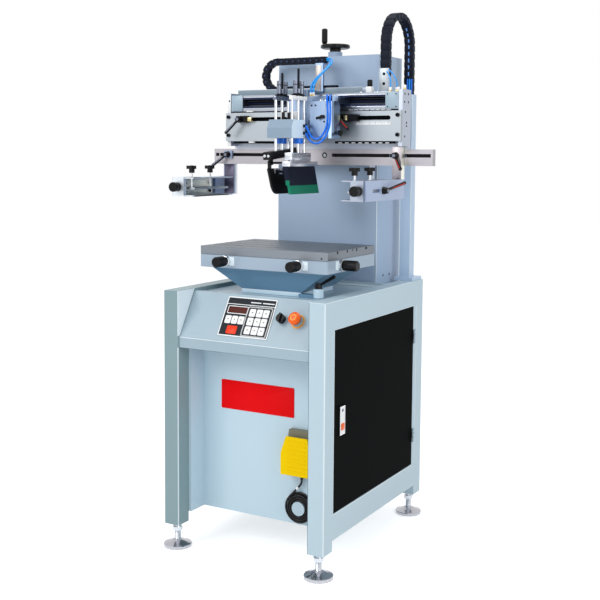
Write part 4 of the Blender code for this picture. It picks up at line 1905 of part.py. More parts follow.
def build_control_box():
    """Control box on the cabinet floor, with a lipped lid and three glands."""
    bottom = SKIRT_BOTTOM + PANEL_SHEET + SEAT_GAP
    x = around(0, BOX_HALF_WIDTH)
    case = box("control_box", x, BOX_Y, (bottom, bottom + BOX_HEIGHT))
    join(case, box("box_lid", grown(x, BOX_LID_LAP), grown(BOX_Y, BOX_LID_LAP),
                   (bottom + BOX_HEIGHT - BOX_LID, bottom + BOX_HEIGHT + BOX_LID)))
    for number, gland_x in enumerate(BOX_GLAND_XS):
        join(case, rod(f"box_gland_{number}", (gland_x, BOX_Y[0] + WELD_IN, BOX_GLAND_Z),
                       (gland_x, BOX_Y[0] - BOX_GLAND_LENGTH, BOX_GLAND_Z), BOX_GLAND_RADIUS))
    finish(case, "grey_plastic")


def build_air_tube():
    """Air tube from the end of the carriage chain down to the fitting on the carriage."""
    route = smooth_route(AIR_TUBE_ROUTE, 5 * AIR_TUBE_RADIUS)
    finish(tube("air_tube", route, AIR_TUBE_RADIUS, 2), "blue_tube")


# What carries what

CARRIERS = {
    "side_frame_right": ("side_door", "foot_front_right", "foot_back_right", "chain_post"),
    "side_frame_left": ("foot_front_left", "foot_back_left", "deck_plate", "front_panel"),
    "side_door": ("door_latch",),
    "deck_plate": ("table_pedestal", "column_housing", "back_and_floor"),
    "back_and_floor": ("control_box",),
    "front_panel": ("console_housing", "foot_switch_body", "lead_hook"),
    "foot_switch_body": ("foot_pedal", "foot_lead"),
    "lead_hook": ("foot_lead_coil",),
    "console_housing": ("selector_knob", "estop_button"),
    "table_pedestal": ("table_block", "table_lock_lever"),
    "table_block": ("cross_slide", "knob_front_left", "knob_front_right", "knob_side"),
    "cross_slide": ("table_top",),
    "column_housing": ("lift_saddle", "handwheel"),
    "handwheel": ("handwheel_grip",),
    "lift_saddle": ("head_frame",),
    "head_frame": ("head_front_plate", "rail_module", "screen_beam", "carriage_body", "lift_chain"),
    "head_front_plate": ("travel_stop_left", "travel_stop_right"),
    "carriage_body": ("tool_box", "carriage_chain", "air_tube", "squeegee_rods", "flood_rods"),
    "squeegee_rods": ("squeegee_holder",),
    "squeegee_holder": ("squeegee_blade",),
    "flood_rods": ("flood_bar",),
    "screen_beam": ("clamp_arm_right", "clamp_arm_left"),
    "clamp_arm_right": (
        "clamp_right_channel", "clamp_right_beam_lever", "clamp_right_side_lever",
    ),
    "clamp_arm_left": ("clamp_left_channel", "clamp_left_beam_lever"),
    "clamp_right_channel": ("clamp_right_screws", "clamp_right_end_knob"),
    "clamp_left_channel": ("clamp_left_screws", "clamp_left_end_knob"),
}


def hang_together():
    """Parent each piece to what carries it, and leave every piece where it stands."""
    bpy.context.view_layer.update()
    places = {piece.name: piece.matrix_world.copy() for piece in PARTS.objects}
    for carrier, carried in CARRIERS.items():
        for name in carried:
            piece = PARTS.objects[name]
            piece.parent = PARTS.objects[carrier]
            piece.matrix_parent_inverse = places[carrier].inverted()
    bpy.context.view_layer.update()


def main():
    """Build the press from the floor up."""
    build_side_frames()
    build_side_door()
    build_sheets()
    build_feet()
    build_console()
    build_console_controls()
    build_control_box()
    build_foot_switch()
    build_lead()
    build_pedestal()
    build_table()
    build_column()
    build_chain_post()
    build_handwheel()
    build_saddle()
    build_head_frame()
    build_head_plates()
    build_travel_stops()
    build_carriage()
    build_squeegee()
    build_flood_bar()
    build_chains()
    build_air_tube()
    build_clamps()
    hang_together()


main()
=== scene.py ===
"""Finishes, fittings and studio of a flat-bed screen printing press, built round its solids.

Metres, in the frame of the solids: +Z up, X to the operator's right, Y to the back. Every piece has
its place in its mesh, and rides on the body that carries it.
"""

import logging
import math
from dataclasses import dataclass
from enum import Enum

import bmesh
import bpy
from mathutils import Matrix, Vector

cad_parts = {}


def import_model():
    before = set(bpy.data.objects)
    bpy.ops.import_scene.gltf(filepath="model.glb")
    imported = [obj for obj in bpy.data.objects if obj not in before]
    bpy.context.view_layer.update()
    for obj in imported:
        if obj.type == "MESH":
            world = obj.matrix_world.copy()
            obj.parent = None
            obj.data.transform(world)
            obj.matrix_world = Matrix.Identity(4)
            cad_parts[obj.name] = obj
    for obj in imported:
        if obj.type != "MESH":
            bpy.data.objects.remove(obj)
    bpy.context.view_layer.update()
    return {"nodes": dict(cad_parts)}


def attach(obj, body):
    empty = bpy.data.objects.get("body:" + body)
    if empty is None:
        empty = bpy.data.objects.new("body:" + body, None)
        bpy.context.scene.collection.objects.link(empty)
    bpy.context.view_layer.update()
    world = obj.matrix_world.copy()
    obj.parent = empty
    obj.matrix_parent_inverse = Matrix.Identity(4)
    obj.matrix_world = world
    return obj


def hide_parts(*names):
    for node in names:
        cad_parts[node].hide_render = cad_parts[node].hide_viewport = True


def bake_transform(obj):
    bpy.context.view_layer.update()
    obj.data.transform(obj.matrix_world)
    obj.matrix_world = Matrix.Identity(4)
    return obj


log = logging.getLogger("press")

Point = tuple[float, float, float]
Span = tuple[float, float]
Block = tuple[float, float, float, float, float, float]
Spot = tuple[Point, Vector, float]
UP, DOWN, RIGHT = Vector((0, 0, 1)), Vector((0, 0, -1)), Vector((1, 0, 0))
FRONT, BACK = Vector((0, -1, 0)), Vector((0, 1, 0))


# Nodes and finishes


def feed(node: bpy.types.Node, inputs: dict[str | int, object]) -> None:
    """Give a node's inputs what each takes: a socket that feeds it, or a plain value.

    Args:
        node: Node to give them to.
        inputs: Socket or value of each input, by name or number.
    """
    for key, value in inputs.items():
        if isinstance(value, bpy.types.NodeSocket):
            node.id_data.links.new(value, node.inputs[key])
        else:
            node.inputs[key].default_value = value


def add_node(tree: bpy.types.NodeTree, kind: str, inputs: dict[str | int, object],
             **settings: object) -> bpy.types.NodeOutputs:
    """Add a node to a tree.

    Args:
        tree: Tree that takes the node.
        kind: Type of the node.
        inputs: Socket or value of each input, by name or number.
        **settings: Value of each property.

    Returns:
        The node's outputs.
    """
    node = tree.nodes.new(kind)
    for key, value in settings.items():
        setattr(node, key, value)
    feed(node, inputs)
    return node.outputs


def linear(colour: tuple[int, int, int]) -> tuple[float, float, float, float]:
    """Turn a colour written as screen bytes into the light values a shader takes."""
    parts = [c / 255 for c in colour]
    return (*[p / 12.92 if p <= 0.04045 else ((p + 0.055) / 1.055) ** 2.4 for p in parts], 1.0)


class Grain(Enum):
    """Way that a finish's fine marks run, as the scale of its noise along X, Y and Z."""

    EVEN = (1.0, 1.0, 1.0)
    ALONG_X = (0.02, 1.0, 1.0)
    ALONG_Y = (1.0, 0.02, 1.0)
    ALONG_Z = (1.0, 1.0, 0.02)


@dataclass(frozen=True)
class Finish:
    """Surface finish with a drifting tone, fine marks in its gloss and a slight relief.

    Attributes:
        name: Name of the material.
        colour: Colour as screen bytes.
        roughness: Middle roughness.
        slot: Material slot of the record; not used.
        metallic: 1 for bare metal, 0 for the rest.
        grain: Way that the fine marks run.
        marks: Fine marks to a metre.
        relief: Strength of the relief of the marks.
        drift: Share by which the tone wanders over the surface.
        gloss_drift: Amount by which the roughness wanders.
        coat: Weight of a clear coat.
        shine: Level of the mirror-like share on what isn't metal.
        glow: Strength of the light it gives off.
    """

    name: str
    colour: tuple[int, int, int]
    roughness: float
    slot: str = "black_plastic"
    metallic: float = 0.0
    grain: Grain = Grain.EVEN
    marks: float = 400.0
    relief: float = 0.04
    drift: float = 0.05
    gloss_drift: float = 0.08
    coat: float = 0.0
    shine: float = 0.3
    glow: float = 0.0

    def material(self) -> bpy.types.Material:
        """Build the finish's nodes on first use.

        Returns:
            The finish's material.
        """
        known = bpy.data.materials.get(self.name)
        if known:
            return known
        material = bpy.data.materials.new(self.name)
        material.use_nodes = True
        tree = material.node_tree
        place = add_node(tree, "ShaderNodeTexCoord", {})["Object"]

        def noise(scale: Point, detail: float) -> bpy.types.NodeSocket:
            """Add noise over the surface.

            Args:
                scale: Scale of the noise along each axis.
                detail: Layers of finer noise.

            Returns:
                Strength of the noise.
            """
            mapped = add_node(tree, "ShaderNodeMapping", {"Scale": scale, "Vector": place})
            return add_node(tree, "ShaderNodeTexNoise", {
                "Scale": 1.0, "Detail": detail, "Vector": mapped["Vector"]})["Fac"]

        fine = noise(tuple(self.marks * share for share in self.grain.value), 3.0)
        wide = noise((7.0, 7.0, 7.0), 4.0)
        mean = add_node(tree, "ShaderNodeMix", {"Factor": 0.5, "A": fine, "B": wide})
        base = linear(self.colour)
        dark, light = [(*[min(1, c * share) for c in base[:3]], 1)
                       for share in (1 - self.drift, 1 + self.drift)]
        tone = add_node(tree, "ShaderNodeMix", {"Factor": mean["Result"], "A": dark, "B": light},
                        data_type="RGBA")
        gloss = add_node(tree, "ShaderNodeMapRange", {
            "Value": fine, "To Min": max(0.02, self.roughness - self.gloss_drift),
            "To Max": min(1.0, self.roughness + self.gloss_drift)})
        bump = add_node(tree, "ShaderNodeBump", {
            "Strength": self.relief, "Distance": 0.0006, "Height": fine})
        shader = tree.nodes["Principled BSDF"]
        feed(shader, {"Metallic": self.metallic, "Coat Weight": self.coat,
                      "Specular IOR Level": self.shine, "Base Color": tone["Result"],
                      "Roughness": gloss["Result"], "Normal": bump["Normal"]})
        if self.glow:
            feed(shader, {"Emission Color": base, "Emission Strength": self.glow})
        return material


@dataclass(frozen=True)
class Enamel(Finish):
    """Sprayed enamel on sheet metal: a fine orange-peel relief under a soft clear layer."""

    slot: str = "cabinet_paint"
    marks: float = 260.0
    relief: float = 0.05
    drift: float = 0.035
    coat: float = 0.08


@dataclass(frozen=True)
class Brushed(Finish):
    """Bare metal with straight brush marks."""

    slot: str = "aluminium"
    metallic: float = 1.0
    marks: float = 900.0
    relief: float = 0.08
    drift: float = 0.08
    gloss_drift: float = 0.10


@dataclass(frozen=True)
class Moulded(Finish):
    """Moulded plastic or rubber with a fine even grain."""

    marks: float = 1400.0
    relief: float = 0.06
    drift: float = 0.12
    shine: float = 0.18


CABINET_PAINT = Enamel("cabinet_enamel", (186, 207, 217), 0.36)
# Painted shade: the side-frame enamel made darker for the left frame, which has the same paint as the
# right.
LEFT_SHADED_PAINT = Enamel("left_frame_enamel", (134, 158, 163), 0.36)
# Painted light: the cabinet enamel made lighter on the front panel, against the console's shadow on it.
PANEL_LIT_PAINT = Enamel("front_panel_enamel", (198, 220, 232), 0.36)
CONSOLE_PAINT = Enamel("console_enamel", (162, 182, 193), 0.34)
TABLE_PAINT = Enamel("table_enamel", (164, 181, 197), 0.34)
# Painted shade: the pedestal's enamel made darker, as its front stands in shadow.
PEDESTAL_SHADED_PAINT = Enamel("pedestal_enamel", (104, 142, 170), 0.34)
TOOL_PAINT = Enamel("tool_box_enamel", (140, 159, 178), 0.34)
# Painted light: the tool box's enamel made near white for its lit side.
TOOL_SIDE_LIT_PAINT = Enamel("tool_box_side_enamel", (224, 242, 254), 0.34)
TRAY_PAINT = Enamel("tray_enamel", (138, 154, 164), 0.38, "aluminium")
CLAMP_PAINT = Enamel("clamp_enamel", (170, 184, 212), 0.32)
# Painted highlight: light enamel for thin strips laid along lit edges, in place of the light they catch.
EDGE_HIGHLIGHT = Enamel("edge_enamel", (226, 238, 244), 0.30)
COLUMN_PAINT = Enamel("column_enamel", (168, 188, 212), 0.38)
POST_PAINT = Enamel("post_enamel", (186, 206, 228), 0.36)
# Painted light: the pedestal's enamel made lighter for its lit flange faces.
FLANGE_LIT_PAINT = Enamel("flange_enamel", (210, 232, 245), 0.34)
# Painted shadow: dark enamel for the shade in the seams between sheets.
SEAM_SHADE_PAINT = Enamel("seam_shadow", (74, 92, 104), 0.60, coat=0.0, shine=0.05)
DOOR_PAINT = Enamel("door_enamel", (14, 15, 15), 0.60, marks=900.0, relief=0.12, drift=0.15,
                    coat=0.0, shine=0.01)
RED_PLATE = Enamel("plate_red", (240, 6, 14), 0.34, coat=0.0, shine=0.08)
# Painted shade: dark blue for the shaded inner face of the left channel.
CHANNEL_BACK_SHADE = Enamel("shaded_blue", (66, 90, 132), 0.40, "aluminium")
CAP_BLUE = Enamel("module_cap_enamel", (164, 184, 198), 0.34)
HEAD_ALUMINIUM = Brushed("head_aluminium", (160, 167, 173), 0.44, grain=Grain.ALONG_X)
MODULE_ALUMINIUM = Brushed("module_aluminium", (150, 156, 166), 0.40, grain=Grain.ALONG_X)
SIDE_ALUMINIUM = Brushed("side_aluminium", (180, 187, 200), 0.44, grain=Grain.ALONG_Z)
CARRIAGE_ALUMINIUM = Brushed("carriage_aluminium", (148, 168, 196), 0.30, grain=Grain.ALONG_Z)
# Painted shade: darker brown-grey aluminium for the shaded face of the chain's bracket.
BRACKET_SHADE_ALUMINIUM = Brushed("bracket_aluminium", (150, 144, 140), 0.36, grain=Grain.ALONG_Z)
BEAM_ALUMINIUM = Brushed("beam_aluminium", (170, 167, 172), 0.40, grain=Grain.ALONG_X)
HANGER_ALUMINIUM = Brushed("hanger_aluminium", (180, 172, 175), 0.42, grain=Grain.ALONG_Z)
# Painted light: near-white aluminium for lit faces, and for a face lightened against shade.
LIT_ALUMINIUM = Brushed("jaw_aluminium", (240, 240, 228), 0.42, grain=Grain.ALONG_Y)
TABLE_ALUMINIUM = Brushed("table_aluminium", (126, 132, 139), 0.44, grain=Grain.ALONG_X)
# Painted light and shade: one channel aluminium, darker on the right clamp and lighter on the left.
RIGHT_CHANNEL_SHADED_ALUMINIUM = Brushed("channel_aluminium", (158, 166, 180), 0.42, grain=Grain.ALONG_Y)
LEFT_CHANNEL_LIT_ALUMINIUM = Brushed("left_channel_aluminium", (214, 220, 226), 0.42,
                                 grain=Grain.ALONG_Y)
TOOL_ALUMINIUM = Brushed("tool_aluminium", (208, 212, 220), 0.26, grain=Grain.ALONG_Y)
PLUM_STEEL = Brushed("arm_steel", (96, 92, 110), 0.40, grain=Grain.ALONG_Z)
BRIGHT_STEEL = Brushed("bright_steel", (222, 225, 230), 0.16, "steel", marks=500.0, relief=0.02)
CHROME = Brushed("foot_chrome", (206, 210, 216), 0.10, "chrome", marks=300.0, relief=0.01)
PAD_CHROME = Brushed("pad_chrome", (184, 184, 190), 0.14, "chrome", marks=300.0, relief=0.01)
RAIL_STEEL = Brushed("rail_steel", (118, 124, 138), 0.28, "steel", grain=Grain.ALONG_X)
DARK_STEEL = Brushed("dark_screw_steel", (30, 31, 36), 0.34, "steel")
BRASS = Brushed("fitting_brass", (214, 198, 146), 0.26, "steel")
BLACK_PLASTIC = Moulded("black_moulding", (14, 14, 16), 0.38)
BLACK_KNOB = Moulded("black_knob", (14, 14, 16), 0.30)
CHAIN_PLASTIC = Moulded("chain_plastic", (20, 25, 38), 0.50, "chain_black", shine=0.10)
CHAIN_DOT = Moulded("chain_dot", (66, 88, 128), 0.40, "chain_black")
LIFT_DOT = Moulded("lift_chain_dot", (112, 156, 226), 0.40, "blue_tube")
RED_INSERT = Moulded("lever_insert", (196, 44, 36), 0.36)
ORANGE = Moulded("button_orange", (242, 96, 6), 0.24, "orange_plastic", coat=0.15, drift=0.06)
AMBER = Moulded("button_amber", (250, 168, 70), 0.30, "orange_plastic")
YELLOW = Moulded("pedal_yellow", (255, 211, 0), 0.44, drift=0.05, shine=0.06)
SWITCH_GREY = Moulded("switch_grey", (136, 132, 112), 0.50, "cabinet_paint")
TUBE_BLUE = Moulded("tube_blue", (30, 156, 246), 0.14, "blue_tube", drift=0.2, coat=0.4)
TUBE_DEEP_BLUE = Moulded("tube_deep_blue", (6, 112, 228), 0.16, "blue_tube", drift=0.25, coat=0.3)
BLADE_GREEN = Moulded("blade_green", (4, 118, 90), 0.42, "squeegee_rubber")
HOLDER_NAVY = Finish("navy_holder", (12, 19, 38), 0.42, marks=900.0, shine=0.12)
LEAD_RUBBER = Moulded("lead_rubber", (18, 18, 20), 0.30, "rubber_black", coat=0.15)
WHITE_PRINT = Finish("white_print", (240, 242, 243), 0.50, "cabinet_paint", marks=700.0)
BLACK_PRINT = Finish("black_print", (34, 38, 44), 0.38, marks=700.0, shine=0.1)
KEY_WHITE = Moulded("key_white", (246, 246, 244), 0.38, "aluminium")
KEY_RED = Moulded("key_red", (238, 60, 26), 0.34, "cabinet_paint")
DISPLAY_RED = Finish("display_red", (70, 24, 18), 0.20, "cabinet_paint", marks=120.0, drift=0.25,
                     shine=0.1, glow=0.35)
# Black for black strips, and painted shade in holes, slots and the gaps between parts.
BLACK_AND_SHADE = Moulded("inner_black", (12, 14, 18), 0.60, shine=0.08)
# Dark blue for the bands at the module slot's lips, and painted shade deep in the slot.
DARK_BLUE_AND_SHADE = Moulded("inner_blue", (34, 44, 78), 0.50, shine=0.1)
# Painted shade: grey lines deep in the module's slot.
MODULE_SHADE_GREY = Moulded("inner_grey", (92, 98, 112), 0.50, shine=0.1)
# Painted shade: dark grey in the beam's slots.
BEAM_SLOT_SHADE = Moulded("slot_grey", (56, 52, 57), 0.50, shine=0.1)
SILENCER_BLACK = Moulded("silencer_black", (18, 18, 20), 0.55, marks=2200.0, relief=0.2)

NODE_FINISHES: dict[Finish, str] = {
    CABINET_PAINT: "side_frame_right back_and_floor deck_plate lead_hook",
    LEFT_SHADED_PAINT: "side_frame_left",
    PANEL_LIT_PAINT: "front_panel",
    CONSOLE_PAINT: "console_housing",
    TABLE_PAINT: "table_block",
    PEDESTAL_SHADED_PAINT: "table_pedestal",
    TOOL_PAINT: "tool_box",
    CLAMP_PAINT: "clamp_arm_right clamp_arm_left",
    COLUMN_PAINT: "column_housing",
    POST_PAINT: "chain_post",
    DOOR_PAINT: "side_door",
    BRIGHT_STEEL: "door_latch cross_slide lift_saddle squeegee_rods",
    CHROME: "foot_front_left foot_front_right foot_back_left foot_back_right",
    TABLE_ALUMINIUM: "table_top",
    SIDE_ALUMINIUM: "head_frame",
    CARRIAGE_ALUMINIUM: "carriage_body",
    HEAD_ALUMINIUM: "head_front_plate",
    MODULE_ALUMINIUM: "rail_module",
    BEAM_ALUMINIUM: "screen_beam",
    RIGHT_CHANNEL_SHADED_ALUMINIUM: "clamp_right_channel",
    LEFT_CHANNEL_LIT_ALUMINIUM: "clamp_left_channel",
    BLACK_KNOB: "selector_knob knob_front_left knob_front_right knob_side table_lock_lever "
                "handwheel handwheel_grip travel_stop_left travel_stop_right clamp_right_screws "
                "clamp_right_end_knob clamp_right_beam_lever clamp_right_side_lever "
                "clamp_left_screws clamp_left_end_knob clamp_left_beam_lever",
    BLACK_PLASTIC: "flood_rods flood_bar",
    CHAIN_PLASTIC: "carriage_chain lift_chain",
    ORANGE: "estop_button",
    YELLOW: "foot_pedal",
    SWITCH_GREY: "foot_switch_body control_box",
    TUBE_BLUE: "air_tube",
    BLADE_GREEN: "squeegee_blade",
    HOLDER_NAVY: "squeegee_holder",
    LEAD_RUBBER: "foot_lead foot_lead_coil",
}


def dress(nodes: dict[str, bpy.types.Object]) -> None:
    """Give each solid of the frame its finish.

    Args:
        nodes: Objects of the solids by name.
    """
    for finish, names in NODE_FINISHES.items():
        for name in names.split():
            mesh = nodes[name].data
            mesh.materials.clear()
            mesh.materials.append(finish.material())
            log.info("%s has %s", name, finish.name)


# Routes, outlines and places


def around(middle: float, half: float) -> Span:
    """Span of a half width to either side of a middle."""
    return middle - half, middle + half


def ring(inner: float, outer: float, low: float, high: float) -> list[Span]:
    """Profile of a plain ring, to be turned hollow."""
    return [(inner, low), (outer, low), (outer, high), (inner, high)]


def frame_of(origin: Point, across: Vector, up: Vector) -> Matrix:
    """Frame with its X across, its Y up and its Z out of the face they span."""
    turn = Matrix((across, up, across.cross(up))).transposed().to_4x4()
    return Matrix.Translation(origin) @ turn


def rounded(x: Span, y: Span, radius: float, steps: int = 5) -> list[Span]:
    """Outline a rectangle with round corners.

    Args:
        x: Low and high value along X.
        y: Low and high value along Y.
        radius: Radius of the corners.
        steps: Steps of a corner.

    Returns:
        Points round it.
    """
    outline = []
    for cx, cy, start, sx, sy in ((x[1], y[0], -90, -1, 1), (x[1], y[1], 0, -1, -1),
                                  (x[0], y[1], 90, 1, -1), (x[0], y[0], 180, 1, 1)):
        for step in range(steps + 1):
            angle = math.radians(start + 90 * step / steps)
            outline.append((cx + sx * radius + radius * math.cos(angle),
                            cy + sy * radius + radius * math.sin(angle)))
    return outline


def route_length(points: list[Vector]) -> float:
    """Length of a route along its points."""
    return sum((b - a).length for a, b in zip(points, points[1:]))


def even(points: list[Vector], count: int) -> list[Vector]:
    """Split a route into equal lengths.

    Args:
        points: Points of the route.
        count: Number of lengths.

    Returns:
        The points between them, and the route's two ends.
    """
    lengths = [0.0]
    for a, b in zip(points, points[1:]):
        lengths.append(lengths[-1] + (b - a).length)
    route, index = [], 0
    for number in range(count + 1):
        want = lengths[-1] * number / count
        while index < len(points) - 2 and lengths[index + 1] < want:
            index += 1
        piece = lengths[index + 1] - lengths[index]
        share = (want - lengths[index]) / piece if piece else 0
        route.append(points[index].lerp(points[index + 1], min(1, share)))
    return route


def smooth_route(points: list[Point], spacing: float) -> list[Vector]:
    """Run a smooth curve through points.

    Args:
        points: Points on the curve.
        spacing: Distance between the points returned.

    Returns:
        Points at an even spacing along it.
    """
    given = [Vector(p) for p in points]
    ends = [2 * given[0] - given[1], *given, 2 * given[-1] - given[-2]]
    fine, steps = [], 24
    for a, b, c, d in zip(ends, ends[1:], ends[2:], ends[3:]):
        for step in range(steps):
            t = step / steps
            fine.append(0.5 * (2 * b + (c - a) * t + (2 * a - 5 * b + 4 * c - d) * t * t
                               + (3 * b - a - 3 * c + d) * t ** 3))
    fine.append(given[-1])
    return even(fine, max(2, round(route_length(fine) / spacing)))


def headings(points: list[Vector]) -> list[tuple[Vector, Vector]]:
    """Each point of a route with the route's direction there."""
    trios = zip([points[0], *points], points, [*points[1:], points[-1]])
    return [(point, (after - before).normalized()) for before, point, after in trios]


# Pieces


def put(name: str, data: bpy.types.ID) -> bpy.types.Object:
    """Make an object of some data and put it in the scene.

    Args:
        name: Name of the object.
        data: Its mesh, camera or light.

    Returns:
        The object.
    """
    made = bpy.data.objects.new(name, data)
    bpy.context.scene.collection.objects.link(made)
    return made


def publish(mesh: bpy.types.Mesh, finish: Finish, body: str | None, replaces: str = "") -> bpy.types.Object:
    """Put a finished mesh in the scene as a piece.

    Args:
        mesh: Mesh with its place in its points.
        finish: Finish of the piece, unless the mesh has its own.
        body: Body that it rides on, or None where it rides on none.
        replaces: Names of the solids that it stands for.

    Returns:
        The piece.
    """
    piece = put(mesh.name, mesh)
    if not mesh.materials:
        mesh.materials.append(finish.material())
    if body:
        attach(piece, body)
    if replaces:
        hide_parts(*replaces.split())
    log.info("%s on %s: %d faces", piece.name, body, len(mesh.polygons))
    return piece


class Form:
    """Mesh in the making: every method adds one closed form to it."""

    def __init__(self) -> None:
        """Start with nothing."""
        self.mesh = bmesh.new()

    def skin(self, rings: list[list[bmesh.types.BMVert]], looped: bool = False) -> None:
        """Join each ring of points to the next.

        Args:
            rings: Rings of points, some of them a single point.
            looped: True where the last joins the first.
        """
        for low, high in zip(rings, [*rings[1:], rings[0]] if looped else rings[1:]):
            count = max(len(low), len(high))
            for here in range(count):
                after = (here + 1) % count
                corners = dict.fromkeys((low[here % len(low)], low[after % len(low)],
                                         high[after % len(high)], high[here % len(high)]))
                if len(corners) > 2:
                    self.mesh.faces.new(list(corners))

    def loft(self, rings: list[list[Vector]], looped: bool = False) -> "Form":
        """Add a skin over rings of points, closed by a face on each end.

        Args:
            rings: Rings of points.
            looped: True where the last joins the first instead.

        Returns:
            The form, for the next one to be added.
        """
        made = [[self.mesh.verts.new(point) for point in points] for points in rings]
        self.skin(made, looped)
        if not looped:
            self.mesh.faces.new(made[0][::-1])
            self.mesh.faces.new(made[-1])
        return self

    def box(self, span: Block, soften: float = 0.0, matrix: Matrix | None = None) -> "Form":
        """Add a block.

        Args:
            span: Low and high value along X, then along Y and Z.
            soften: Width of the rounding of its edges.
            matrix: Place of the block's frame.

        Returns:
            The form, for the next one to be added.
        """
        made = bmesh.ops.create_cube(self.mesh, size=1)["verts"]
        size = Vector([high - low for low, high in zip(span[::2], span[1::2])])
        middle = Vector([(low + high) / 2 for low, high in zip(span[::2], span[1::2])])
        bmesh.ops.scale(self.mesh, vec=size, verts=made)
        bmesh.ops.translate(self.mesh, vec=middle, verts=made)
        if matrix:
            bmesh.ops.transform(self.mesh, matrix=matrix, verts=made)
        if soften:
            edges = list({edge for vert in made for edge in vert.link_edges})
            bmesh.ops.bevel(self.mesh, geom=edges, offset=soften, segments=2, affect="EDGES",
                            profile=0.5, clamp_overlap=True)
        return self

    def turned(self, profile: list[Span], base: Point, axis: Vector = UP, steps: int = 32,
               hexed: tuple[int, ...] = (), hollow: bool = False) -> "Form":
        """Add a profile spun about an axis.

        Args:
            profile: Radius and height of each ring, up the outer side from the base.
            base: Point where the height is zero.
            axis: Direction of the axis.
            steps: Number of sides.
            hexed: Rings that are six-sided, counted from 1.
            hollow: True where the profile closes on itself, False where flat ends close it.

        Returns:
            The form, for the next one to be added.
        """
        place = Matrix.Translation(base) @ Vector(axis).to_track_quat("Z", "Y").to_matrix().to_4x4()
        if not hollow:
            low = [(0, profile[0][1])] if profile[0][0] else []
            high = [(0, profile[-1][1])] if profile[-1][0] else []
            profile = [*low, *profile, *high]
        rings = []
        for number, (radius, height) in enumerate(profile):
            points = []
            for step in range(steps if radius else 1):
                angle, reach = math.tau * step / steps, radius
                if number in hexed:
                    wedge = (angle % (math.pi / 3)) - math.pi / 6
                    reach = radius * math.cos(math.pi / 6) / math.cos(wedge)
                local = Vector((reach * math.cos(angle), reach * math.sin(angle), height))
                points.append(self.mesh.verts.new(place @ local))
            rings.append(points)
        self.skin(rings, hollow)
        return self

    def rod(self, start: Point, end: Point, radius: float, end_radius: float | None = None,
            steps: int = 24) -> "Form":
        """Add a rod with slightly rounded ends between two points.

        Args:
            start: Middle of its first end.
            end: Middle of its last end.
            radius: Its radius.
            end_radius: Radius at its last end, where it tapers.
            steps: Number of sides.

        Returns:
            The form, for the next one to be added.
        """
        start, end = Vector(start), Vector(end)
        length, last = (end - start).length, end_radius or radius
        lip = min(radius, last) * 0.12
        return self.turned([(radius - lip, 0), (radius, lip), (last, length - lip),
                            (last - lip, length)], start, end - start, steps)

    def prism(self, outline: list[Span], depth: Span, matrix: Matrix,
              soften: float = 0.0) -> "Form":
        """Add a flat outline thickened along its frame's Z.

        Args:
            outline: Points round the outline, in the frame's X and Y.
            depth: Low and high value along the frame's Z.
            matrix: Place of the frame.
            soften: Width of the rounding of the upper edge.

        Returns:
            The form, for the next one to be added.
        """
        low, high = [[self.mesh.verts.new(matrix @ Vector((*p, z))) for p in outline]
                     for z in depth]
        self.mesh.faces.new(low[::-1])
        top = self.mesh.faces.new(high)
        self.skin([low, high])
        if soften:
            bmesh.ops.bevel(self.mesh, geom=list(top.edges), offset=soften, segments=2,
                            affect="EDGES", profile=0.5, clamp_overlap=True)
        return self

    def tube(self, points: list[Vector], radius: float, steps: int) -> "Form":
        """Add a round wire through points, with closed ends.

        Args:
            points: Points of its middle line.
            radius: Its radius.
            steps: Number of sides.

        Returns:
            The form, for the next one to be added.
        """
        rings, side = [], None
        for point, ahead in headings(points):
            side = ahead.orthogonal().normalized() if side is None else side
            side = (side - ahead * side.dot(ahead)).normalized()
            across = ahead.cross(side)
            rings.append([point + radius * (side * math.cos(math.tau * s / steps)
                                            + across * math.sin(math.tau * s / steps))
                          for s in range(steps)])
        return self.loft(rings)

    def data(self, name: str, sharp: float = 35.0) -> bpy.types.Mesh:
        """End the form as a mesh with outward faces.

        Args:
            name: Name of the mesh.
            sharp: Angle from which an edge is sharp, in degrees.

        Returns:
            The mesh.
        """
        bmesh.ops.recalc_face_normals(self.mesh, faces=self.mesh.faces)
        mesh = bpy.data.meshes.new(name)
        self.mesh.to_mesh(mesh)
        self.mesh.free()
        mesh.shade_smooth()
        mesh.set_sharp_from_angle(angle=math.radians(sharp))
        return mesh

    def piece(self, name: str, finish: Finish, body: str | None, replaces: str = "",
              slot: str | None = None, sharp: float = 35.0) -> bpy.types.Object:
        """Put the form in the scene as a piece."""
        return publish(self.data(name, sharp), finish, body, replaces)


def blocks(name: str, finish: Finish, body: str, spans: list[Block], soften: float = 0.0002,
           replaces: str = "", slot: str | None = None) -> None:
    """Put straight blocks in the scene as one piece.

    Args:
        name: Name of the piece.
        finish: Its finish.
        body: Body that carries it.
        spans: Low and high value of each block, along X, Y and Z.
        soften: Width of the rounding of their edges.
        replaces: Names of the solids that it stands for.
        slot: Material slot; not used.
    """
    form = Form()
    for span in spans:
        form.box(span, soften)
    form.piece(name, finish, body, replaces, slot)


def tubes(name: str, finish: Finish, body: str, radius: float, routes: list[list[Point]],
          replaces: str = "") -> None:
    """Put round tubes along smooth routes in the scene as one piece.

    Args:
        name: Name of the piece.
        finish: Its finish.
        body: Body that carries it.
        radius: Radius of the tubes.
        routes: Points that each tube runs by.
        replaces: Names of the solids that it stands for.
    """
    form = Form()
    for route in routes:
        form.tube(smooth_route(route, 1.6 * radius), radius, 14)
    form.piece(name, finish, body, replaces, sharp=60)


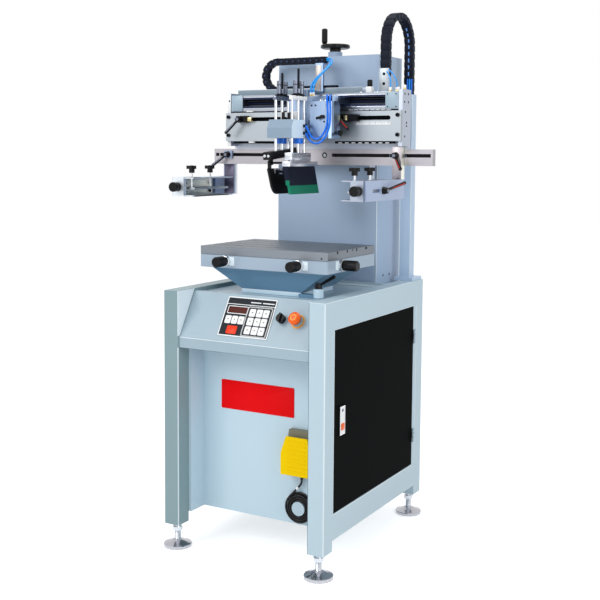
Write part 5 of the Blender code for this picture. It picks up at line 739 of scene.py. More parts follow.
def push_fittings(word: str, body: str, seats: list[Point], nut: Span, sleeve: list[Span]) -> None:
    """Put brass nuts with white sleeves on a body, in which air tubes end.

    Args:
        word: First word of the pieces' names.
        body: Body that carries them.
        seats: Middle of each nut's underside.
        nut: Radius and height of a nut.
        sleeve: Profile of a sleeve's outer side.
    """
    nuts, sleeves = Form(), Form()
    for seat in seats:
        nuts.turned([(nut[0], 0), nut], seat, UP, 24, (1, 2))
        sleeves.turned(sleeve, seat, UP, 20)
    nuts.piece(f"{word}_fitting_nuts", BRASS, body)
    sleeves.piece(f"{word}_fittings", KEY_WHITE, body)


# Geometry Nodes patterns


class Pattern:
    """Geometry Nodes tree with named inputs that turns a guide mesh into repeated parts."""

    def __init__(self, name: str, **kinds: str) -> None:
        """Start a tree with its named inputs.

        Args:
            name: Name of the tree.
            **kinds: Socket kind of each input but guide and finish.
        """
        self.tree = bpy.data.node_groups.new(name, "GeometryNodeTree")
        self.sockets: dict[str, str] = {}
        for title, kind in {"Guide": "Geometry", **kinds, "Finish": "Material"}.items():
            made = self.tree.interface.new_socket(name=title, in_out="INPUT",
                                                  socket_type=f"NodeSocket{kind}")
            self.sockets[title] = made.identifier
        self.tree.interface.new_socket(name="Parts", in_out="OUTPUT",
                                       socket_type="NodeSocketGeometry")
        self.given = add_node(self.tree, "NodeGroupInput", {})

    def wire(self, kind: str, output: str, inputs: dict[str, object],
             **settings: object) -> bpy.types.NodeSocket:
        """Add a node and return one of its outputs."""
        return add_node(self.tree, kind, inputs, **settings)[output]

    def prototype(self) -> bpy.types.NodeSocket:
        """Shape of the object given as the prototype."""
        return self.wire("GeometryNodeObjectInfo", "Geometry", {"Object": self.given["Prototype"]})

    def close(self, copies: dict[str, object], move: dict[str, object] | None = None) -> None:
        """End the tree with copies on points, made real and given their finish.

        Args:
            copies: Inputs of the node that copies.
            move: Inputs of a move of all, if there is one.
        """
        made = self.wire("GeometryNodeInstanceOnPoints", "Instances", copies)
        if move:
            made = self.wire("GeometryNodeTransform", "Geometry", {"Geometry": made, **move})
        made = self.wire("GeometryNodeRealizeInstances", "Geometry", {"Geometry": made})
        made = self.wire("GeometryNodeSetMaterial", "Geometry",
                         {"Geometry": made, "Material": self.given["Finish"]})
        add_node(self.tree, "NodeGroupOutput", {"Parts": made})

    def piece(self, name: str, finish: Finish, body: str | None,
              guide: bpy.types.Mesh | None = None, replaces: str = "",
              **values: object) -> bpy.types.Object:
        """Run the tree and put the parts in the scene as one piece.

        Args:
            name: Name of the piece.
            finish: Finish of the parts.
            body: Body that carries them, or None where none carries them.
            guide: Guide mesh, where the tree takes one.
            replaces: Name of the solid that they stand for.
            **values: Value of each named input.

        Returns:
            The piece.
        """
        holder = put(f"{name}_guide", guide or bpy.data.meshes.new(f"{name}_none"))
        step = holder.modifiers.new("pattern", "NODES")
        step.node_group = self.tree
        for key, value in {**values, "Finish": finish.material()}.items():
            step[self.sockets[key]] = value
        bpy.context.view_layer.update()
        seen = holder.evaluated_get(bpy.context.evaluated_depsgraph_get())
        mesh = bpy.data.meshes.new_from_object(seen)
        mesh.name = name
        bpy.data.objects.remove(holder)
        return publish(mesh, finish, body, replaces)


class SpotPattern(Pattern):
    """Copies of one prototype on the guide's points, each turned to its own direction."""

    def __init__(self) -> None:
        """Build the tree."""
        super().__init__("parts_on_spots", Prototype="Object")
        facing, size = [self.wire("GeometryNodeInputNamedAttribute", "Attribute", {"Name": name},
                                  data_type=kind)
                        for name, kind in (("facing", "FLOAT_VECTOR"), ("size", "FLOAT"))]
        turn = self.wire("FunctionNodeAlignRotationToVector", "Rotation", {"Vector": facing},
                         axis="Z")
        self.close({"Points": self.given["Guide"], "Instance": self.prototype(),
                    "Rotation": turn, "Scale": size})


class ChainPattern(Pattern):
    """Links at an even pitch along a route, each turned along it."""

    def __init__(self) -> None:
        """Build the tree."""
        super().__init__("links_on_route", Prototype="Object", Links="Int", Side="Vector")
        curve = self.wire("GeometryNodeMeshToCurve", "Curve", {"Mesh": self.given["Guide"]})
        spread = self.wire("GeometryNodeResampleCurve", "Curve",
                           {"Curve": curve, "Count": self.given["Links"]})
        tangent = self.wire("GeometryNodeInputTangent", "Tangent", {})
        ahead = self.wire("FunctionNodeAlignRotationToVector", "Rotation", {"Vector": tangent},
                          axis="X")
        flat = self.wire("FunctionNodeAlignRotationToVector", "Rotation",
                         {"Rotation": ahead, "Vector": self.given["Side"]}, axis="Y",
                         pivot_axis="X")
        self.close({"Points": spread, "Instance": self.prototype(), "Rotation": flat})


class RibPattern(Pattern):
    """Straight ribs spread evenly round an axis, as on a knurled grip."""

    def __init__(self) -> None:
        """Build the tree."""
        super().__init__("ribs_round_axis", Count="Int", Radius="Float", Rib="Vector",
                         Base="Vector", Turn="Rotation")
        ring = self.wire("GeometryNodeMeshCircle", "Mesh",
                         {"Vertices": self.given["Count"], "Radius": self.given["Radius"]})
        rib = self.wire("GeometryNodeMeshCube", "Mesh", {"Size": self.given["Rib"]})
        outward = self.wire("GeometryNodeInputPosition", "Position", {})
        turn = self.wire("FunctionNodeAlignRotationToVector", "Rotation", {"Vector": outward},
                         axis="X", pivot_axis="Z")
        self.close({"Points": ring, "Instance": rib, "Rotation": turn},
                   {"Translation": self.given["Base"], "Rotation": self.given["Turn"]})

    def wrap(self, name: str, finish: Finish, body: str, base: Point, axis: Vector,
             radius: float, count: int, rib: Point) -> None:
        """Put ribs round an axis.

        Args:
            name: Name of the piece.
            finish: Finish of the ribs.
            body: Body that carries them.
            base: Where the ribs start on the axis.
            axis: Direction of the axis.
            radius: Distance of the ribs' middles from the axis.
            count: Number of ribs.
            rib: Depth, width and length of a rib.
        """
        turn = axis.to_track_quat("Z", "Y")
        middle = Vector(base) + turn @ Vector((0, 0, rib[2] / 2))
        self.piece(name, finish, body, Count=count, Radius=radius, Rib=rib, Base=tuple(middle),
                   Turn=turn.to_euler())


class RowPattern(Pattern):
    """Blocks of one size at an even step along a line."""

    def __init__(self) -> None:
        """Build the tree."""
        super().__init__("blocks_in_row", Count="Int", First="Vector", Step="Vector",
                         Block="Vector")
        line = self.wire("GeometryNodeMeshLine", "Mesh",
                         {"Count": self.given["Count"], "Start Location": self.given["First"],
                          "Offset": self.given["Step"]}, mode="OFFSET")
        block = self.wire("GeometryNodeMeshCube", "Mesh", {"Size": self.given["Block"]})
        self.close({"Points": line, "Instance": block})


class Workshop:
    """Patterns and prototypes that the sub-assemblies share."""

    profiles: dict[str, tuple[list[Span], int, tuple[int, ...]]] = {
        "cap_screw": ([(1, 0), (1, 0.75), (0.92, 0.85), (0.56, 0.85), (0.52, 0.3)], 24, (4, 5)),
        "button_screw": ([(1, 0), (0.95, 0.28), (0.72, 0.5), (0.42, 0.58), (0.38, 0.25)], 24,
                         (4, 5)),
        "hex_nut": ([(1, 0), (1, 0.7), (0.88, 0.82), (0.5, 0.82), (0.5, 1.2)], 24, (1, 2)),
        # Flat dark disc that paints the shade inside a hole.
        "dark_hole": ([(1, 0), (0.96, 0.05), (0.8, 0.05), (0, 0.02)], 20, ()),
        "dome": ([(1, 0), (0.92, 0.22), (0.7, 0.42), (0.38, 0.55), (0, 0.6)], 16, ()),
    }

    def __init__(self) -> None:
        """Build every pattern and prototype."""
        self.spots, self.chains = SpotPattern(), ChainPattern()
        self.ribs, self.rows = RibPattern(), RowPattern()
        self.parts: dict[str, bpy.types.Object] = {}
        for name, (profile, steps, hexed) in self.profiles.items():
            self.keep(name, Form().turned(profile, (0, 0, 0), UP, steps, hexed))

    def keep(self, name: str, form: Form) -> bpy.types.Object:
        """Keep a form as a prototype, out of the render.

        Args:
            name: Name of the prototype.
            form: Its form.

        Returns:
            The prototype.
        """
        part = put(f"prototype_{name}", form.data(f"prototype_{name}"))
        part.hide_render = True
        self.parts[name] = part
        return part

    def fasten(self, name: str, kind: str, finish: Finish, body: str | None,
               spots: list[Spot]) -> bpy.types.Object:
        """Put copies of one prototype in the scene as one piece.

        Args:
            name: Name of the piece.
            kind: Name of the prototype.
            finish: Its finish.
            body: Body that carries it, or None where none carries it.
            spots: Seat, direction and size of each copy.

        Returns:
            The piece.
        """
        guide = bpy.data.meshes.new(f"{name}_spots")
        guide.from_pydata([spot[0] for spot in spots], [], [])
        facing = guide.attributes.new("facing", "FLOAT_VECTOR", "POINT")
        facing.data.foreach_set("vector", [c for spot in spots for c in spot[1]])
        size = guide.attributes.new("size", "FLOAT", "POINT")
        size.data.foreach_set("value", [spot[2] for spot in spots])
        return self.spots.piece(name, finish, body, guide, Prototype=self.parts[kind])

    def close(self) -> None:
        """Remove the prototypes and the trees."""
        for part in self.parts.values():
            bpy.data.objects.remove(part)
        for pattern in (self.spots, self.chains, self.ribs, self.rows):
            bpy.data.node_groups.remove(pattern.tree)


# Sub-assemblies


@dataclass
class Cabinet:
    """Fittings of the cabinet: red plate, door strip and levelling feet."""

    panel_y: float = -0.2042
    foot_x: float = 0.229
    foot_y: float = 0.295
    thread_base: float = 0.0170
    thread_pitch: float = 0.0017
    thread_turns: int = 17
    strip_x: float = 0.2600
    strip_y: float = -0.225
    pad: tuple[Span, ...] = (
        (0.0399, 0.0003), (0.0399, 0.0084), (0.0385, 0.0098), (0.0330, 0.0112), (0.0250, 0.0136),
        (0.0150, 0.0180), (0.0120, 0.0186), (0.0120, 0.0206), (0.0090, 0.0210), (0.0090, 0.0120),
        (0.0240, 0.0100), (0.0380, 0.0060), (0.0380, 0.0003),
    )

    def build(self) -> None:
        """Build the bare red plate of the front panel, the strip and the feet."""
        Form().prism(rounded((-0.139, 0.100), (0.394, 0.477), 0.003), (0, 0.0012),
                     frame_of((0, self.panel_y, 0), RIGHT, UP), 0.0004).piece(
            "red_plate", RED_PLATE, "base")
        self.door_strip()
        for name, sx, sy in (("front_left", -1, -1), ("front_right", 1, -1),
                             ("back_left", -1, 1), ("back_right", 1, 1)):
            self.foot(name, sx * self.foot_x, sy * self.foot_y)

    def door_strip(self) -> None:
        """Orange press button, white cover and lock of the door's strip latch."""
        face = frame_of((self.strip_x, 0, 0), BACK, UP)
        button = rounded(around(self.strip_y, 0.0095), (0.388, 0.406), 0.002)
        Form().prism(button, (0.0001, 0.0020), face, 0.0005).piece("latch_button", ORANGE, "latch")
        cover = rounded(around(self.strip_y, 0.0128), (0.3775, 0.4500), 0.003)
        Form().prism(cover, (-0.0002, 0.0005), face, 0.0002).piece(
            "latch_cover", KEY_WHITE, "latch", slot="chrome")
        Form().turned([(0.0048, 0), (0.0048, 0.0009), (0.0040, 0.0013), (0.0016, 0.0013),
                       (0.0014, 0.0005)], (self.strip_x, self.strip_y, 0.441), RIGHT).piece(
            "latch_lock", RAIL_STEEL, "latch", slot="chrome")

    def foot(self, name: str, x: float, y: float) -> None:
        """Thread on one foot's stem, and its thick-rimmed domed pad.

        Args:
            name: Which foot.
            x: Its place along X.
            y: Its place along Y.
        """
        thread = [(radius, self.thread_pitch * turn + rise) for turn in range(self.thread_turns)
                  for radius, rise in ((0.0079, 0.0002), (0.0086, 0.0010))]
        Form().turned([(0, 0), *thread, (0.0079, self.thread_pitch * self.thread_turns)],
                      (x, y, self.thread_base), UP, 20).piece(
            f"foot_thread_{name}", CHROME, f"foot_{name}", sharp=60)
        Form().turned(self.pad, (x, y, 0), UP, 48, hollow=True).piece(
            f"foot_pad_{name}", PAD_CHROME, f"foot_{name}", sharp=30)


@dataclass
class Edges:
    """Painted highlights along the edges of the painted sheets, and painted shadow in the seams between
    them.
    """

    half: float = 0.256
    front: float = -0.320
    top: float = 0.737
    low: float = 0.068
    inner: float = 0.208
    proud: float = 0.0003
    thin: float = 0.0001

    def build(self) -> None:
        """Build the painted edge highlights, the painted seam shadows and the faces with painted light."""
        half, front, top, low = self.half, self.front, self.top, self.low
        inner, proud = self.inner, self.proud
        wide = (front - proud, front + 0.0022)
        inside = (-inner - 0.0016, -inner + proud)
        # Painted highlights: thin light strips along the lit edges of the frames.
        blocks("frame_edges", EDGE_HIGHLIGHT, "base", [
            (half - 0.0022, half + proud, *wide, low + 0.001, top),
            (*inside, *wide, low, 0.5785), (*inside, *wide, 0.6115, top),
            (half - 0.0012, half + proud, front, 0.244, top - 0.0012, top + proud),
            (inner, half, front - proud, front + 0.0010, top - 0.0010, top + proud),
            (-inner - proud, -inner + 0.0006, -0.2650, -0.2570, 0.0975, 0.5780)], self.thin)
        blocks("console_edges", EDGE_HIGHLIGHT, "base",
               [(-0.2074, 0.2074, -0.3153, -0.3142, 0.6070, 0.6090)], self.thin)
        self.door_edges()
        blocks("column_edges", EDGE_HIGHLIGHT, "base", [
            (0.1700, 0.1723, 0.1567, 0.1588, 0.7400, 1.1000),
            (0.2340, 0.2362, 0.2617, 0.2632, 0.7480, 1.2990),
            (0.2000, 0.2012, 0.2617, 0.2628, 0.7480, 1.2990)], self.thin, slot="column_paint")
        blocks("deck_edges", EDGE_HIGHLIGHT, "base", [
            (-0.2070, 0.2070, 0.1388, 0.1394, 0.7262, 0.7314),
            (-0.0960, 0.0960, -0.1654, -0.1642, 0.7352, 0.7368)], self.thin)
        # Painted shadow: dark strips in the seams round the front panel and along the right leg.
        blocks("panel_seams", SEAM_SHADE_PAINT, "base", [
            (-0.2072, 0.2072, -0.3146, -0.3120, 0.5782, 0.5796),
            (-0.2079, -0.2048, -0.2062, -0.2042, 0.0980, 0.5780),
            (0.2066, 0.2079, -0.2062, -0.2042, 0.0980, 0.5780),
            (0.2079, 0.2090, front - 0.0001, front + 0.0010, 0.0690, 0.7360)], self.thin)
        self.light_faces()

    def door_edges(self) -> None:
        """Painted highlights along the doorway's border, and sleeves on the door's hinges."""
        x = (self.half, self.half + 0.0004)
        low, high, front, back = 0.1690, 0.6610, -0.2670, 0.2520
        # Painted highlights: light strips round the doorway's edges.
        blocks("doorway_edges", EDGE_HIGHLIGHT, "base", [
            (*x, front - 0.0030, front - 0.0004, low - 0.003, high + 0.001),
            (*x, front, back, low - 0.0030, low - 0.0004),
            (*x, front, back, high + 0.0002, high + 0.0012)], self.thin)
        blocks("doorway_back_edge", EDGE_HIGHLIGHT, "base", [(*x, 0.2700, 0.2722, low, high)],
               self.thin)
        form = Form()
        for height in (0.262, 0.568):
            form.turned(ring(0.0034, 0.0041, 0, 0.0138), (0.2602, 0.2525, height - 0.0069), UP, 28,
                        hollow=True)
        form.piece("hinge_sleeves", CABINET_PAINT, "door")

    def light_faces(self) -> None:
        """Painted light on the inner face of the left frame above the slope, and on the pedestal flange's
        faces and the lock lever's boss.
        """
        Form().prism([(-0.3190, 0.6118), (-0.3132, 0.6118), (-0.2412, 0.7366), (-0.3190, 0.7366)],
                     (0.0001, 0.0006), frame_of((-self.inner, 0, 0), BACK, UP)).piece(
            "left_frame_inner_face", EDGE_HIGHLIGHT, "base")
        blocks("flange_faces", FLANGE_LIT_PAINT, "base", [
            (-0.0968, 0.0968, -0.1653, -0.1648, 0.7256, 0.7352),
            (0.0966, 0.0973, -0.1530, 0.0240, 0.7256, 0.7366)], self.thin)
        Form().turned(ring(0.0120, 0.0143, 0.7270, 0.7512), (0.1515, -0.1650, 0),
                      hollow=True).piece(
            "lock_boss_face", FLANGE_LIT_PAINT, "base", sharp=40)


@dataclass
class Console:
    """Membrane keypad on the sloping face, and the marks of its two controls."""

    slope_start: Point = (0.0, -0.312, 0.611)
    slope_angle: float = math.atan2(0.119, 0.072)
    bezel_top: float = 0.0015
    keypad_x: Span = (-0.0865, 0.0715)
    keypad_s: Span = (0.014, 0.1305)
    border: float = 0.0032
    estop: Point = (0.149, 0.0755, 0.0001)

    @property
    def face(self) -> Matrix:
        """Frame of the slope: X to the right, Y up the slope and Z out of it."""
        up = Vector((0, math.cos(self.slope_angle), math.sin(self.slope_angle)))
        return frame_of(self.slope_start, RIGHT, up)

    def plates(self, name: str, finish: Finish, fields: list[tuple[Span, Span, float]],
               depth: Span, soften: float = 0.0, slot: str | None = None) -> None:
        """Thin plates on the slope, as one piece.

        Args:
            name: Name of the piece.
            finish: Its finish.
            fields: Span across, span up the slope and corner radius of each plate.
            depth: Height of the plates' underside and of their top.
            soften: Rounding of their upper edges.
            slot: Material slot; not used.
        """
        form = Form()
        for x, s, corner in fields:
            form.prism(rounded(x, s, corner), depth, self.face, soften)
        form.piece(name, finish, "base", slot=slot)

    def outline(self, form: Form, x: Span, s: Span, corner: float, width: float,
                depth: Span) -> None:
        """Add a closed thin frame to a form.

        Args:
            form: Form that takes it.
            x: Its span across.
            s: Its span up the slope.
            corner: Radius of its corners.
            width: Width of its line.
            depth: Height of its underside and of its top.
        """
        outer = rounded(x, s, corner)
        inner = rounded((x[0] + width, x[1] - width), (s[0] + width, s[1] - width),
                        max(0.0002, corner - width))
        low, high = depth
        form.loft([[self.face @ Vector((*p, h)) for p in line] for line, h in (
            (outer, low), (outer, high), (inner, high), (inner, low))], looped=True)

    def build(self) -> None:
        """Build the keypad and the controls' marks."""
        top, edge = self.bezel_top, self.border
        low, high = top + 0.0006, top + 0.0009
        field_x = (self.keypad_x[0] + edge, self.keypad_x[1] - edge)
        field_s = (self.keypad_s[0] + edge, self.keypad_s[1] - edge)
        self.plates("keypad_sheet", WHITE_PRINT, [(self.keypad_x, self.keypad_s, 0.002)],
                    (top + 0.0001, top + 0.0005), 0.0001)
        self.plates("keypad_field", BLACK_PRINT, [(field_x, field_s, 0.0015)],
                    (top + 0.0004, top + 0.00065), slot="cabinet_paint")
        lines = Form()
        for x, s, corner, width in (((-0.0770, -0.0120), (0.0800, 0.1035), 0.0035, 0.0020),
                                    ((-0.0138, 0.0655), (0.0178, 0.1050), 0.0050, 0.0011),
                                    ((-0.0118, 0.0635), (0.0198, 0.1030), 0.0040, 0.0007)):
            self.outline(lines, x, s, corner, width, (low, high))
        lines.prism([(field_x[0], 0.1078), (field_x[1], 0.1078), (field_x[1], 0.1096),
                     (field_x[0], 0.1096)], (low, high), self.face)
        for x in ((-0.0100, 0.0230), (0.0280, 0.0650)):
            lines.prism(rounded(x, (0.1158, 0.1186), 0.0010), (low, high), self.face)
        lines.piece("keypad_lines", WHITE_PRINT, "base")
        self.plates("keypad_display", DISPLAY_RED,
                    [((-0.0748, -0.0142), (0.0822, 0.1013), 0.0020)], (low, high - 0.0001))
        keys = [(x, s, 0.0093, 0.0113) for x in (0.0045, 0.0267, 0.0478)
                for s in (0.0870, 0.0612, 0.0355)]
        keys += [(x, 0.0622, 0.0091, 0.0115) for x in (-0.0667, -0.0457, -0.0247)]
        self.plates("keypad_keys", KEY_WHITE,
                    [(around(x, wide), around(s, tall), 0.0024) for x, s, wide, tall in keys],
                    (low, top + 0.0017), 0.0005, "cabinet_paint")
        self.plates("keypad_marks", SWITCH_GREY,
                    [(around(x, 0.0022), around(s + 0.001, 0.0016), 0.0006)
                     for x, s, _, _ in keys], (top + 0.0016, top + 0.0018))
        self.plates("keypad_stop_key", KEY_RED,
                    [(around(-0.0457, 0.0160), around(0.0327, 0.0118), 0.0026)],
                    (low, top + 0.0018), 0.0005)
        self.control_marks()

    def control_marks(self) -> None:
        """White line along the selector's ridge, and the rings of the emergency button."""
        ridge = self.face @ Matrix.Translation((0.1017, 0.0755, 0.0235))
        Form().box((-0.0008, 0.0008, 0.001, 0.0110, -0.0003, 0.0004), 0, ridge).piece(
            "selector_line", WHITE_PRINT, "selector", slot="black_plastic")
        out = self.face.to_3x3() @ UP
        Form().turned([(0.0200, 0), (0.0200, 0.0010), (0.0190, 0.0018), (0.0165, 0.0020),
                       (0.0165, 0.0002)], self.face @ Vector(self.estop), out, 40).piece(
            "estop_ring", AMBER, "base")
        Form().turned(ring(0.0066, 0.0092, -0.0002, 0.0003),
                      self.face @ Vector((*self.estop[:2], 0.0300)), out, hollow=True).piece(
            "estop_mark", AMBER, "estop")


@dataclass
class DragChain:
    """Drag chain of links, with its hoses and pin heads, laid along a fixed U-shaped route.

    The sizes are those of the carriage's chain.

    Attributes:
        shop: Patterns in use.
        word: First word of the pieces' names.
        bodies: Bodies at its two ends; not used.
        ends: Where it starts and stops bending; not used.
        start: Start of its route.
        heading: Direction of the route's first leg.
        turn: Side that the bend lies on.
        across: Direction across the chain.
        first: Length of the first leg.
        last: Length of the last leg.
        radius: Radius of the bend.
        near_pitch: Pitch that a whole number of links has to come closest to.
        half: Half height of a link.
        width: Width of a link.
        hoses: Half height and width of the hoses inside.
        pin: Reach from the middle, and radius, of a pin's head.
    """

    shop: Workshop
    word: str = "carriage"
    bodies: tuple[str, str] = ("head", "carriage")
    ends: tuple[Point, Point] = ((0, 0.110, 1.3248), (0, 0.110, 1.3858))
    start: Point = (0.024, 0.110, 1.3978)
    heading: Vector = -RIGHT
    turn: Vector = DOWN
    across: Vector = BACK
    first: float = 0.1677
    last: float = 0.2037
    radius: float = 0.0425
    near_pitch: float = 0.020
    half: float = 0.0098
    width: float = 0.0198
    hoses: Span = (0.0080, 0.0165)
    pin: Span = (0.0100, 0.0022)

    def link(self, pitch: float) -> bpy.types.Object:
        """Model one link: stepped side plates, cross bars and a pin boss on each side.

        Args:
            pitch: Distance from link to link.

        Returns:
            The link, as a prototype.
        """
        form, half, sheet, bar = Form(), self.half, 0.0018, 0.0016
        upright = Matrix.Rotation(math.radians(90), 4, "X")
        nose = rounded((-0.62 * pitch, 0.18 * pitch), (-half * 0.86, half * 0.86), half * 0.8)
        tail = rounded((-0.30 * pitch, 0.46 * pitch), (-half, half), half * 0.32)
        for sign in (-1, 1):
            outer = sign * self.width / 2
            inner, step = outer - sign * sheet, outer - sign * sheet * 0.45
            form.prism(nose, tuple(sorted((inner, step))), upright)
            form.prism(tail, tuple(sorted((step, outer))), upright)
            form.rod((-0.36 * pitch, inner, 0), (-0.36 * pitch, outer, 0), half * 0.28, steps=12)
        for height in (half - bar, -half):
            form.box((-0.45 * pitch, 0.44 * pitch, *around(0, self.width / 2 - sheet * 0.5),
                      height, height + bar), 0.0003)
        return self.shop.keep(f"{self.word}_link", form)

    def route(self, inset: float) -> list[Vector]:
        """Lay out the U-shaped route.

        Args:
            inset: Length left out at each end.

        Returns:
            Its points.
        """
        start, heading, turn = Vector(self.start), self.heading, self.turn
        centre = start + heading * self.first + turn * self.radius
        bend = [centre + self.radius * (heading * math.sin(math.pi * step / 32)
                                        - turn * math.cos(math.pi * step / 32))
                for step in range(33)]
        end = centre + turn * self.radius
        return [start + heading * inset, start + heading * (self.first * 0.5), *bend,
                end - heading * (self.last * 0.5), end - heading * (self.last - inset)]

    def build(self) -> None:
        """Build the links, the dark hoses that fill them and their pin heads."""
        length = self.first + self.last + math.pi * self.radius
        links = round(length / self.near_pitch)
        pitch = length / links
        route = self.route(pitch / 2)
        guide = bpy.data.meshes.new(f"{self.word}_chain_route")
        guide.from_pydata([tuple(p) for p in route], [(n, n + 1) for n in range(len(route) - 1)],
                          [])
        chain = self.shop.chains.piece(f"{self.word}_chain_links", CHAIN_PLASTIC, None, guide,
                                       f"{self.word}_chain", Prototype=self.link(pitch),
                                       Links=links, Side=tuple(self.across))
        half, width = self.hoses
        rings = []
        for point, ahead in headings(smooth_route([tuple(p) for p in route], 0.006)):
            rise = ahead.cross(self.across)
            rings.append([point + self.across * (a * width / 2) + rise * (b * half)
                          for a, b in ((-1, -1), (1, -1), (1, 1), (-1, 1))])
        hoses = Form().loft(rings).piece(f"{self.word}_chain_hoses", CHAIN_PLASTIC, None)
        reach, size = self.pin
        pins = self.shop.fasten(f"{self.word}_chain_dots", "dome", CHAIN_DOT, None, [
            (tuple(middle + self.across * sign * (reach - 0.0003)), self.across * sign, size)
            for middle in even(route, links - 1) for sign in (-1, 1)])
        for piece in (chain, hoses, pins):
            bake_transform(piece)


@dataclass
class LiftChain(DragChain):
    """Drag chain between the post and the head, with hoses seen at its fixed leg."""

    word: str = "lift"
    bodies: tuple[str, str] = ("saddle", "head")
    ends: tuple[Point, Point] = ((0.218, 0.265, 1.4), (0.218, 0.1203, 1.4))
    start: Point = (0.218, 0.1083, 1.345)
    heading: Vector = UP
    turn: Vector = BACK
    across: Vector = RIGHT
    first: float = 0.0963
    last: float = 0.1793
    radius: float = 0.08435
    near_pitch: float = 0.024
    half: float = 0.0075
    width: float = 0.0288
    hoses: Span = (0.0070, 0.0268)
    pin: Span = (0.0145, 0.0016)

    def build(self) -> None:
        """Build the chain, and the hoses seen between its links and at its foot."""
        super().build()
        x, start_y, start_z = self.start
        inner = self.radius - 0.0078

        def at(length: float) -> Point:
            """Find a point of the bend's inner side.

            Args:
                length: Length along it from the foot of the bend.

            Returns:
                The point.
            """
            angle = max(0.0, length) / self.radius
            return (x + 0.0004, start_y + self.radius + inner * math.cos(angle),
                    start_z + self.first + inner * math.sin(angle) + min(0.0, length))

        form = Form()
        for number in range(-4, 4):
            form.rod(at(number * 0.020 - 0.005), at(number * 0.020 + 0.006), 0.0020, steps=10)
        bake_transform(form.piece("lift_chain_marks", LIFT_DOT, None))
        y = start_y + 2 * self.radius - 0.0095
        for number, finish in enumerate((TUBE_DEEP_BLUE, TUBE_BLUE, TUBE_DEEP_BLUE)):
            place = x - 0.0012 + 0.0064 * number
            tubes(f"lift_chain_tube_{number}", finish, "saddle", 0.0025, [
                [(place, y, 1.3020), (place, y, 1.3200), (place, y + 0.0005, 1.3460)]])


